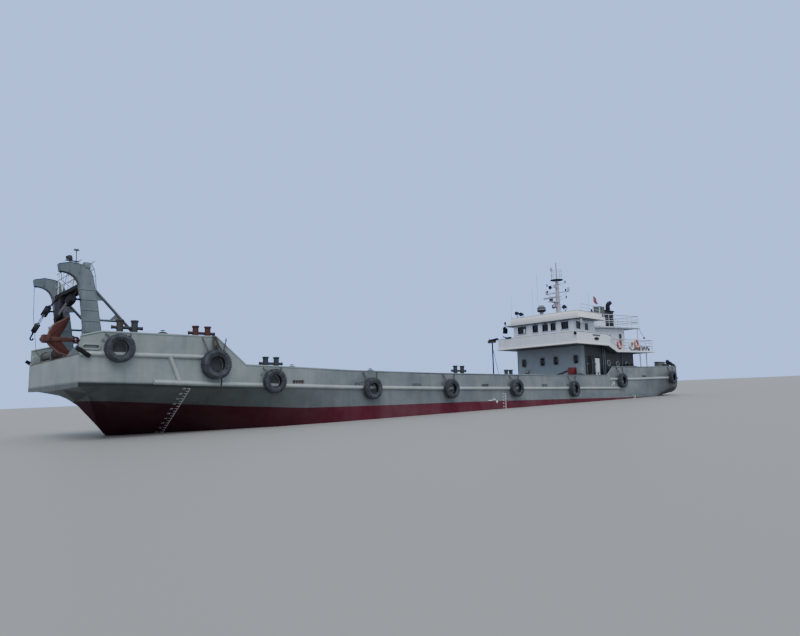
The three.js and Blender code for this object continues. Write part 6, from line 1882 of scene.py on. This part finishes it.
def bent_lamp():
    """Lamp on a bent arm off the top deck's corner."""
    arm = tube([(-18.55, 3.2, 6.36), (-18.7, 3.22, 6.05), (-18.95, 3.24, 5.8), (-19.2, 3.25, 5.6)], 0.02, 8)
    head = spun([(0.0, 0.1), (0.05, 0.09), (0.06, 0.02), (0.12, -0.06), (0.11, -0.08), (0.0, -0.06)],
                (-19.27, 3.25, 5.52), "Z", 16)
    return together(arm, head)


RAFT_X = (-19.6, -18.4)
RAFT_PLACE = (2.55, 4.78)


def raft_straps():
    """Straps, the joint of the two shells and the domed ends of the raft's canister."""
    y, z = RAFT_PLACE
    parts = [spun([(0.298, -0.02), (0.31, -0.016), (0.31, 0.016), (0.298, 0.02)], (x, y, z), "X", 24)
             for x in (-19.35, -19.0, -18.65)]
    parts.append(spun([(0.295, -0.03), (0.325, -0.022), (0.325, 0.022), (0.295, 0.03)],
                      (-19.0, y, z), "X", 24))
    for x, way in ((RAFT_X[0], -1), (RAFT_X[1], 1)):
        dome = [(0.3, -0.02 * way), (0.31, 0.0), (0.28, 0.03 * way), (0.15, 0.06 * way), (0.0, 0.07 * way)]
        parts.append(spun(dome, (x, y, z), "X", 24))
    return together(*parts)


settle(mast_fittings(), "mast_fittings", MAST_PAINT)
settle(mast_darks(), "mast_lamps", BLACK_AND_SHADE)
settle(mast_foot_horn(), "mast_foot_horn", ANCHOR_RED)
settle(radar_cap(), "radar_cap", MAST_PAINT, body="radar_scanner")
settle(together(funnel_fittings(), exhaust_lagging()), "funnel_fittings", BLACK_AND_SHADE)
settle(vent_louvres(), "vent_louvres", GREEN_PAINT)
settle(flag_staff(), "flag_staff", WHITE_PAINT)
settle(furled_flag(), "furled_flag", RED_PAINT)
for (x, z), finish, name in zip(LIFEBUOYS, (BUOY_RED, BUOY_WHITE, BUOY_ORANGE), ("fore", "middle", "aft")):
    settle(together(buoy_ring(x, z, 1), buoy_ring(x, z, -1)), "lifebuoys_" + name, finish)
    settle(together(buoy_bands(x, z, 1), buoy_bands(x, z, -1)), "lifebuoy_bands_" + name,
           BUOY_WHITE)
settle(boat_deck_gear(), "coiled_lines", ROPE)
settle(bent_lamp(), "bent_lamp", BLACK_PAINT)
settle(raft_straps(), "raft_straps", BUOY_WHITE)


# Marks on the hull
INTO_SHIP = TO_MODEL.inverted()


def on_hull(start, way):
    """Where a ray meets the hull, and the way that the plating faces there."""
    found = []
    for name in ("hull_topsides", "hull_bottom"):
        hull = bpy.data.objects[name]
        ray = (TO_MODEL.to_3x3() @ Vector(way)).normalized()
        hit, place, normal, _ = hull.ray_cast(TO_MODEL @ Vector(start), ray)
        if hit:
            place = INTO_SHIP @ place
            found.append(((place - Vector(start)).length, place,
                          (INTO_SHIP.to_3x3() @ normal).normalized()))
    return min(found, key=lambda row: row[0])[1:]


def beside(x, z, side):
    """Where the side of the hull is at x and z, and the way that it faces."""
    return on_hull((x, side * 6.0, z), (0, -side, 0))


def lay(piece, place, normal, up):
    """Turns a flat piece, made in X and Y and facing up, to lie on a face."""
    up = (up - normal * up.dot(normal)).normalized()
    turn = Matrix((up.cross(normal), up, normal)).transposed().to_4x4()
    piece.data.transform(Matrix.Translation(place + normal * 0.002) @ turn)
    return piece


def numeral(text, height):
    """Raised figures about the origin."""
    clear()
    bpy.ops.object.text_add()
    words = bpy.context.object
    words.data.body = text
    words.data.size = height * 1.4
    words.data.extrude = 0.003
    words.data.align_x = "CENTER"
    words.data.align_y = "CENTER"
    bpy.ops.object.convert(target="MESH")
    return bpy.context.object


@joined
def draft_marks(x, levels, side):
    """A ruler of weld bead up the side, with a tick at each level and a number at each second one."""
    spots = [beside(x, z, side) for z in levels]
    yield tube([place + normal * 0.003 for place, normal in spots], 0.011, 6)
    for number, z in enumerate(levels):
        place, normal = spots[number]
        later = spots[min(number + 1, len(spots) - 1)][0]
        up = (later - place) if number + 1 < len(spots) else place - spots[number - 1][0]
        middle, facing = beside(x + 0.07, z, side)
        yield lay(rounded_block((-0.06, -0.013, -0.002), (0.06, 0.013, 0.007), 0.003, 1),
                  middle, facing, up)
        if number % 2:
            middle, facing = beside(x + 0.26, z, side)
            yield lay(numeral(str(round((z + 1.5) * 10)), 0.1), middle, facing, up)


@joined
def load_marks(side):
    """Load line, its ring and a number on the quarter."""
    for x0, x1, z in ((2.36, 2.76, 0.5), (2.05, 2.36, 0.57)):
        place, normal = beside((x0 + x1) / 2, z, side)
        yield lay(rounded_block((x0 / 2 - x1 / 2, -0.025, -0.002), (x1 / 2 - x0 / 2, 0.025, 0.006), 0.003,
                                1), place, normal, Vector((0, 0, 1)))
    place, normal = beside(1.94, 0.42, side)
    yield lay(spun([(0.0, 0.006), (0.07, 0.006), (0.075, 0.0), (0.075, -0.004)], steps=20), place, normal,
              Vector((0, 0, 1)))
    place, normal = beside(-12.3, 1.58, side)
    yield lay(numeral("24", 0.4), place, normal, Vector((0, 0, 1)))


BOW_LEVELS = [-0.6 + 0.1 * k for k in range(20)]
MID_LEVELS = [-0.4 + 0.1 * k for k in range(14)]
STERN_LEVELS = [-0.3 + 0.1 * k for k in range(10)]


@joined
def hull_marks():
    """Draft and load marks of both sides."""
    for side in (1, -1):
        yield draft_marks(21.6, BOW_LEVELS, side)
        yield draft_marks(1.05, MID_LEVELS, side)
        yield draft_marks(-15.7, STERN_LEVELS, side)
        yield load_marks(side)


settle(hull_marks(), "draft_marks", MARK_WHITE)


# Painted shadow behind the tyres, their eyes and the rope of the second one
@joined
def tyre_shadows():
    """Discs of darker plate inside the tyres: painted shadow, with dirt and rust on it."""
    for x, z, radius in TYRES:
        if x > QUARTER_TYRE_X:
            yield spun([(0.0, 0.012), (radius * 0.52, 0.01), (radius * 0.6, 0.0), (0.0, -0.002)],
                       (x, HALF_BEAM, z), "Y", 28)


@joined
def tyre_eyes():
    """Lifting eyes welded beside the hung tyres."""
    for x, z, radius in TYRES:
        if x < QUARTER_TYRE_X:
            continue
        for way in (-1, 1):
            eye_x = x + way * (radius * 0.5 + 0.28)
            ring = [(u, HALF_BEAM + 0.035, w) for u, w in oval(eye_x, z + radius * 0.6, 0.045, 0.045, 12)]
            yield tube(ring, 0.014, 6, closed=True)
            yield rounded_block((eye_x - 0.05, HALF_BEAM - 0.002, z + radius * 0.6 - 0.07),
                                (eye_x + 0.05, HALF_BEAM + 0.015, z + radius * 0.6 + 0.07), 0.006, 1)


@joined
def second_tyre_rope():
    """Thick rope turned over the rail and round the head of the second tyre."""
    x, z, radius = TYRES[1]
    y = HALF_BEAM
    for offset, lean in ((-0.16, 0.12), (0.14, -0.08)):
        top = x + offset + lean
        yield tube([(top, y - 0.14, 3.3), (top, y - 0.06, 3.52), (top, y + 0.05, 3.46),
                    (top - lean * 0.4, y + 0.12, 3.2), (x + offset, y + 0.2, z + radius + 0.08),
                    (x + offset, y + 0.3, z + radius + 0.02), (x + offset, y + 0.3, z + radius * 0.5),
                    (x + offset, y + 0.16, z + radius * 0.42), (x + offset, y + 0.09, z + radius * 0.6)],
                   0.04, 10)
    knot = [(x + 0.07 * math.cos(t), y + 0.16 + 0.05 * math.sin(2 * t),
             z + radius + 0.12 + 0.07 * math.sin(t)) for t in circle(14)]
    yield tube(knot, 0.035, 8, closed=True)
    yield tube([(x - 0.25, y + 0.2, z - radius + 0.1), (x - 0.3, y + 0.14, z - radius - 0.1),
                (x - 0.28, y + 0.12, z - radius - 0.3)], 0.025, 8)


settle(both(tyre_shadows()), "scraped_plates", TYRE_SHADOW_PAINT)
settle(both(tyre_eyes()), "tyre_eyes", HULL_PAINT)
settle(both(second_tyre_rope()), "tyre_rope", WIRE)


# Stern
@joined
def stern_roll():
    """A rolled cover laid over the rail of the port quarter, tied at three places."""
    start = Vector((-23.87, 3.0, 3.63))
    end = Vector((-25.3, 2.96, 3.24))
    run = [start.lerp(end, k / 6) + Vector((0, 0, -0.02 * math.sin(math.pi * k / 6))) for k in range(7)]
    yield tube(run, 0.15, 16)
    for share in (0.12, 0.5, 0.86):
        place = start.lerp(end, share)
        step = (end - start).normalized() * 0.02
        yield tube([place - step, place + step], 0.162, 16)


def stern_post():
    """Bent white pipe beside the locker."""
    return tube([(-24.3, 2.72, 2.2), (-24.1, 2.74, 2.9), (-23.96, 2.76, 3.3), (-23.98, 2.78, 3.56),
                 (-24.14, 2.8, 3.6), (-24.36, 2.8, 3.42), (-24.6, 2.8, 3.16)], 0.085, 12)


@joined
def locker_parts():
    """Doors, hasps and a rain lip on the locker by the quarter."""
    yield rounded_block((-24.43, 2.07, 3.57), (-23.17, 2.53, 3.62), 0.012)
    foot = along(DECK_TOP, -23.8)
    for x0, x1 in ((-24.36, -23.83), (-23.77, -23.24)):
        yield rounded_block((x0, 2.495, foot + 0.1), (x1, 2.515, 3.5), 0.008)
        middle = (x0 + x1) / 2
        yield tube([(middle - 0.06, 2.53, 3.0), (middle + 0.06, 2.53, 3.0)], 0.012, 8)
        for z in (2.5, 3.2):
            yield upright(x0 + 0.02, 2.52, z - 0.05, z + 0.05, 0.014)


def capstan_whelps():
    """Ribs on the capstan's barrel."""
    low = along(DECK_TOP, -23.7) + 0.24
    profile = [(0.19, low), (0.2, low + 0.04), (0.2, low + 0.34), (0.26, low + 0.46), (0.2, low + 0.46),
               (0.17, low + 0.3), (0.17, low + 0.06)]
    rib = plate(profile, "Y", -0.015, 0.015)
    ribs = row_of(rib, [turned(60 * k, "Z") for k in range(1, 6)])
    whole = together(*ribs)
    whole.data.transform(shift(-23.4, 0, 0))
    return whole


settle(stern_roll(), "stern_roll", BLACK_PAINT)
settle(stern_post(), "stern_post", WHITE_PAINT)
settle(locker_parts(), "locker_doors", GREEN_PAINT)
settle(capstan_whelps(), "capstan_whelps", RUSTY_STEEL, body="stern_capstan")


# Floodlight ahead of the house
def floodlight_cover():
    """Slim tilted head of the floodlight with its yoke, its stay, and a sleeve round the pole."""
    x, y = -6.2, -2.9
    deck = along(DECK_TOP, x)
    sleeve = upright(x, y, deck + 0.01, 5.02, 0.056, 12)
    foot = spun([(0.06, deck + 0.04), (0.165, deck + 0.05), (0.165, deck + 0.065), (0.08, deck + 0.08),
                 (0.06, deck + 0.2)], (x, y, 0), "Z", 16)
    head = plate([(y - 0.36, 5.02), (y + 0.56, 5.22), (y + 0.56, 5.36), (y - 0.36, 5.16)], "X",
                 x - 0.12, x + 0.18, 0.03)
    yoke = tube([(x, y - 0.38, 5.1), (x, y - 0.38, 4.96), (x, y + 0.58, 5.12), (x, y + 0.58, 5.28)],
                0.018, 8)
    stay = tube([(x, y, 4.7), (x - 0.75, y + 0.2, deck + 0.05)], 0.02, 8)
    return together(sleeve, foot, head, yoke, stay)


settle(floodlight_cover(), "floodlight_cover", BLACK_AND_SHADE)


# Casing, rails and lids on the upper decks
def casing_sleeve():
    """White lower part of the ventilation casing, with its foot angle."""
    foot = top_deck(-14.7) - 0.01
    sleeve = rounded_block((-15.12, 1.43, foot), (-14.28, 2.02, 7.14), 0.012)
    angle = rounded_block((-15.16, 1.39, foot), (-14.24, 2.06, foot + 0.07), 0.012)
    return together(sleeve, angle)


@joined
def deck_rails(deck, y, rail_x, post_x, rises, radius, height, posts_across):
    """Rails and posts between the main ones, along both sides of an upper deck and across its after end."""
    aft = rail_x[-1]
    for rise in rises:
        for side in (-1, 1):
            yield tube([(x, side * y, deck(x) + rise) for x in rail_x], radius, 8)
        yield tube([(aft, -y, deck(aft) + rise), (aft, y, deck(aft) + rise)], radius, 8)
    places = [(x, side * y) for side in (-1, 1) for x in post_x]
    places += [(aft, across) for across in spread(-y, y, posts_across)]
    for x, across in places:
        yield upright(x, across, deck(x), deck(x) + height, 0.016)


def top_deck_rails():
    return deck_rails(top_deck, 3.18, (-12.5, -18.54), spread(-12.5, -18.54, 8),
                      (0.33, 0.66), 0.014, 0.98, 5)


def boat_deck_rails():
    return deck_rails(boat_deck, 3.64, (-13.6, -16.7, -19.86), spread(-14.0, -19.8, 7),
                      (0.24, 0.7), 0.013, 0.92, 6)


settle(casing_sleeve(), "casing_sleeve", WHITE_PAINT)
settle(top_deck_rails(), "top_deck_rails", WHITE_PAINT)
settle(boat_deck_rails(), "boat_deck_rails", WHITE_PAINT)


# Hatch lids and deck fittings
@joined
def hatch_gear(x1):
    """Stiffeners, a lifting ring and screw dogs on a lid whose fore edge is at x1."""
    top = along(DECK_TOP, x1) + 0.51
    x0 = x1 - 1.6
    for y in (-0.6, 0.0, 0.6):
        yield rounded_block((x0 + 0.12, y - 0.012, top - 0.004),
                            (x1 - 0.1, y + 0.012, top + 0.05), 0.005, 1)
    ring = [(u, w, top + 0.012) for u, w in oval(x1 - 0.25, 0.3, 0.07, 0.07, 16)]
    yield tube(ring, 0.012, 8, closed=True)
    for y in (-0.7, -0.25, 0.25, 0.7):
        stem = spun([(0.0, -0.05), (0.014, -0.05), (0.014, 0.03), (0.03, 0.035), (0.03, 0.055),
                     (0.0, 0.06)], (x1 + 0.01, y, top - 0.02), "Z", 10)
        wing = tube([(x1 + 0.01, y - 0.05, top + 0.045), (x1 + 0.01, y, top + 0.03),
                     (x1 + 0.01, y + 0.05, top + 0.045)], 0.009, 6)
        yield stem
        yield wing


@joined
def deck_pipes():
    """A pipe run and a hydraulic pair along each side deck, on brackets, with valves and flanges."""
    xs = [19.3, 16.0, 12.0, 8.0, 4.0, 0.0, -4.0, -8.0, -9.3]
    for y, radius, rise in ((2.75, 0.05, 0.14), (2.9, 0.022, 0.1), (2.97, 0.022, 0.1)):
        yield tube([(x, y, along(DECK_TOP, x) + rise) for x in xs], radius, 10)
    for k in range(14):
        x = 18.8 - 2.1 * k
        deck = along(DECK_TOP, x)
        yield rounded_block((x - 0.02, 2.68, deck - 0.005), (x + 0.02, 3.02, deck + 0.08), 0.004, 1)
        if k % 3 == 1:
            yield spun([(0.05, -0.02), (0.085, -0.02), (0.085, 0.02), (0.05, 0.02)],
                       (x + 0.8, 2.75, deck + 0.14), "X", 14)
            yield upright(x + 0.8, 2.75, deck + 0.18, deck + 0.32, 0.02)
            yield hoop(0.07, 0.012, 0.01, (x + 0.8, 2.75, deck + 0.32), "Z", 14)


@joined
def manholes():
    """Bolted oval covers and flush rings on the deck."""
    cover = spun([(0.0, 0.03), (0.24, 0.03), (0.26, 0.02), (0.26, 0.0), (0.3, 0.0), (0.3, -0.004)],
                 steps=24)
    cover.data.transform(Matrix.Scale(1.3, 4, (1, 0, 0)))
    stud = spun([(0.0, 0.05), (0.014, 0.05), (0.014, 0.028)], (0.29, 0, 0), "Z", 6)
    studs = row_of(stud, [turned(45 * k, "Z") for k in range(1, 8)])
    one = together(cover, *studs)
    for x, y in ((16.2, 0.0), (9.4, 1.6), (6.2, -1.6), (2.0, 1.6), (-3.6, -1.6), (-7.6, 0.0),
                 (22.9, 2.4), (-21.4, 2.0)):
        yield copy_of(one, shift(x, y, along(DECK_TOP, x) + 0.001))
    bpy.data.objects.remove(one)


@joined
def goosenecks():
    """Bent air pipes with caps inside the bulwark."""
    for x in (14.6, 7.4, 1.6, -5.4, -20.4):
        deck = along(DECK_TOP, x)
        yield tube([(x, 3.45, deck), (x, 3.45, deck + 0.62), (x - 0.03, 3.45, deck + 0.7),
                    (x - 0.12, 3.45, deck + 0.74), (x - 0.2, 3.45, deck + 0.68),
                    (x - 0.22, 3.45, deck + 0.56)], 0.055, 12)
        yield spun([(0.0, -0.05), (0.075, -0.05), (0.075, 0.03), (0.0, 0.03)],
                   (x - 0.22, 3.45, deck + 0.54), "Z", 14)
        yield spun([(0.055, 0.0), (0.11, 0.0), (0.11, 0.03), (0.055, 0.03)], (x, 3.45, deck), "Z", 14)


@joined
def lashing_rings():
    """Ring bolts in rows on the main deck."""
    ring = [(u, 0.012, w) for u, w in oval(0.0, 0.06, 0.06, 0.06, 10)]
    eye = together(tube(ring, 0.012, 6, closed=True), rounded_block((-0.07, -0.05, -0.004),
                                                                    (0.07, 0.07, 0.012), 0.005, 1))
    for k in range(12):
        x = 18.4 - 2.35 * k
        for y in (-2.2, 2.2):
            yield copy_of(eye, shift(x, y, along(DECK_TOP, x) + 0.001))
    bpy.data.objects.remove(eye)


settle(hatch_gear(13.6), "hatch_gear_1", RUSTY_GREY, body="hatch_lid_1")
settle(hatch_gear(-1.2), "hatch_gear_2", RUSTY_GREY, body="hatch_lid_2")
settle(both(deck_pipes()), "deck_pipes", RUSTY_GREY)
settle(manholes(), "manholes", DECK_PAINT)
settle(both(goosenecks()), "goosenecks", GREEN_PAINT)
settle(lashing_rings(), "lashing_rings", RUSTY_STEEL)


# Below the water
@joined
def bilge_keels():
    """Flat keels along the round of the bilge, with tapered ends."""
    spots = [on_hull((x, 6.0, -1.26), (0, -1, 0))[0] for x in (7.5, 7.0, 3.5, 0.0, -3.5, -7.0, -7.5)]
    for (a, b), (grow, shrink) in zip(zip(spots, spots[1:]),
                                      ((0, 1), (1, 1), (1, 1), (1, 1), (1, 1), (1, 0))):
        out = Vector((0, 0.16, -0.12))
        inner_a, inner_b = a - out * 0.3, b - out * 0.3
        outline = [inner_a, inner_b, b + out * shrink, a + out * grow]
        yield fin_between(outline)


def fin_between(points, thick=0.02):
    """A flat plate through four points, with some thickness."""
    side = (points[1] - points[0]).cross(points[2] - points[1]).normalized() * thick / 2
    front = [point + side for point in points]
    back = [point - side for point in points]
    clear()
    bpy.ops.mesh.primitive_cube_add(size=1)
    piece = bpy.context.object
    spots = {(-1, -1): 0, (1, -1): 1, (1, 1): 2, (-1, 1): 3}
    for vertex in piece.data.vertices:
        corner = spots[(1 if vertex.co.x > 0 else -1, 1 if vertex.co.y > 0 else -1)]
        vertex.co = front[corner] if vertex.co.z > 0 else back[corner]
    bpy.ops.object.mode_set(mode="EDIT")
    bpy.ops.mesh.select_all(action="SELECT")
    bpy.ops.mesh.normals_make_consistent(inside=False)
    bpy.ops.mesh.bevel(offset=0.004, segments=1)
    bpy.ops.object.mode_set(mode="OBJECT")
    return piece


@joined
def anodes():
    """Zinc blocks on straps along the bottom and the counter."""
    for side in (1, -1):
        for x, z in ((16.0, -0.9), (9.0, -0.8), (2.0, -0.8), (-5.0, -0.8), (-12.0, -0.8),
                     (-17.6, -0.1), (-19.4, 0.35)):
            place, normal = beside(x, z, side)
            block = rounded_block((-0.25, -0.06, 0.01), (0.25, 0.06, 0.06), 0.02)
            strap = rounded_block((-0.34, -0.02, 0.0), (0.34, 0.02, 0.014), 0.004, 1)
            yield lay(together(block, strap), place, normal, Vector((0, 0, 1)))


@joined
def sea_chests():
    """Barred inlets low on the sides by the engine room."""
    for side in (1, -1):
        for x in (-10.2, -13.2):
            place, normal = beside(x, -0.45, side)
            frame_ring = [rounded_block((-0.34, s * 0.24 - 0.02, 0.0), (0.34, s * 0.24 + 0.02, 0.02), 0.006,
                                        1) for s in (-1, 1)]
            bars = [rounded_block((-0.3 + 0.06 * k, -0.22, 0.002), (-0.285 + 0.06 * k, 0.22, 0.016), 0.003,
                                  1) for k in range(11)]
            yield lay(together(*frame_ring, *bars), place, normal, Vector((0, 0, 1)))


def screw_nuts():
    """Cone nut behind the hub of the port propeller."""
    return spun([(0.0, -0.1), (0.05, -0.09), (0.085, -0.02), (0.09, 0.0), (0.0, 0.0)],
                (-20.76, 1.6, -0.72), "X", 18)


@joined
def rudder_gear():
    """Stiffening webs and end plates of the port rudder."""
    for z in (-1.1, -0.72, -0.3):
        yield rounded_block((-22.9, 1.52, z - 0.012), (-21.85, 1.68, z + 0.012), 0.006, 1)
    yield rounded_block((-23.0, 1.53, -1.36), (-21.75, 1.67, -1.335), 0.006, 1)
    yield rounded_block((-23.0, 1.53, -0.045), (-21.75, 1.67, -0.01), 0.006, 1)


settle(both(bilge_keels()), "bilge_keels", BOTTOM_PAINT)
settle(anodes(), "anodes", RUSTY_GREY)
settle(sea_chests(), "sea_chests", BOTTOM_PAINT)
NUT = screw_nuts()
settle(copy_of(NUT, PORT_TO_STARBOARD), "screw_nut_starboard", BRONZE,
       body="propeller_starboard")
settle(NUT, "screw_nut_port", BRONZE, body="propeller_port")
WEBS = rudder_gear()
settle(copy_of(WEBS, PORT_TO_STARBOARD), "rudder_webs_starboard", BOTTOM_PAINT, body="rudder_starboard")
settle(WEBS, "rudder_webs_port", BOTTOM_PAINT, body="rudder_port")


# Floor and light
def set_stage():
    """Pale floor, a soft sun and an even sky."""
    bpy.ops.object.select_all(action="DESELECT")
    bpy.ops.mesh.primitive_plane_add(size=600)
    floor = bpy.context.object
    floor.name = "floor"
    material, tree, shader = new_material("pale_floor")
    tree.feed_all(shader, Base_Color=rgb(166, 165, 160), Roughness=0.55)
    floor.data.materials.append(material)
    sun = bpy.data.lights.new("soft_key", "SUN")
    sun.energy = 1.3
    sun.angle = math.radians(50)
    key = bpy.data.objects.new("soft_key", sun)
    bpy.context.scene.collection.objects.link(key)
    key.rotation_euler = (math.radians(38), 0, math.radians(150))
    world = bpy.data.worlds.new("soft_sky")
    world.use_nodes = True
    tree = Tree(world.node_tree)
    seen = tree.add("ShaderNodeLightPath").outputs["Is Camera Ray"]
    strength = tree.add("ShaderNodeMapRange", Value=seen, To_Min=0.98, To_Max=1.5)
    tree.feed_all(world.node_tree.nodes["Background"], Strength=strength.outputs["Result"],
                  Color=tree.mix(seen, rgb(198, 209, 228), rgb(160, 192, 255)))
    bpy.context.scene.world = world


set_stage()
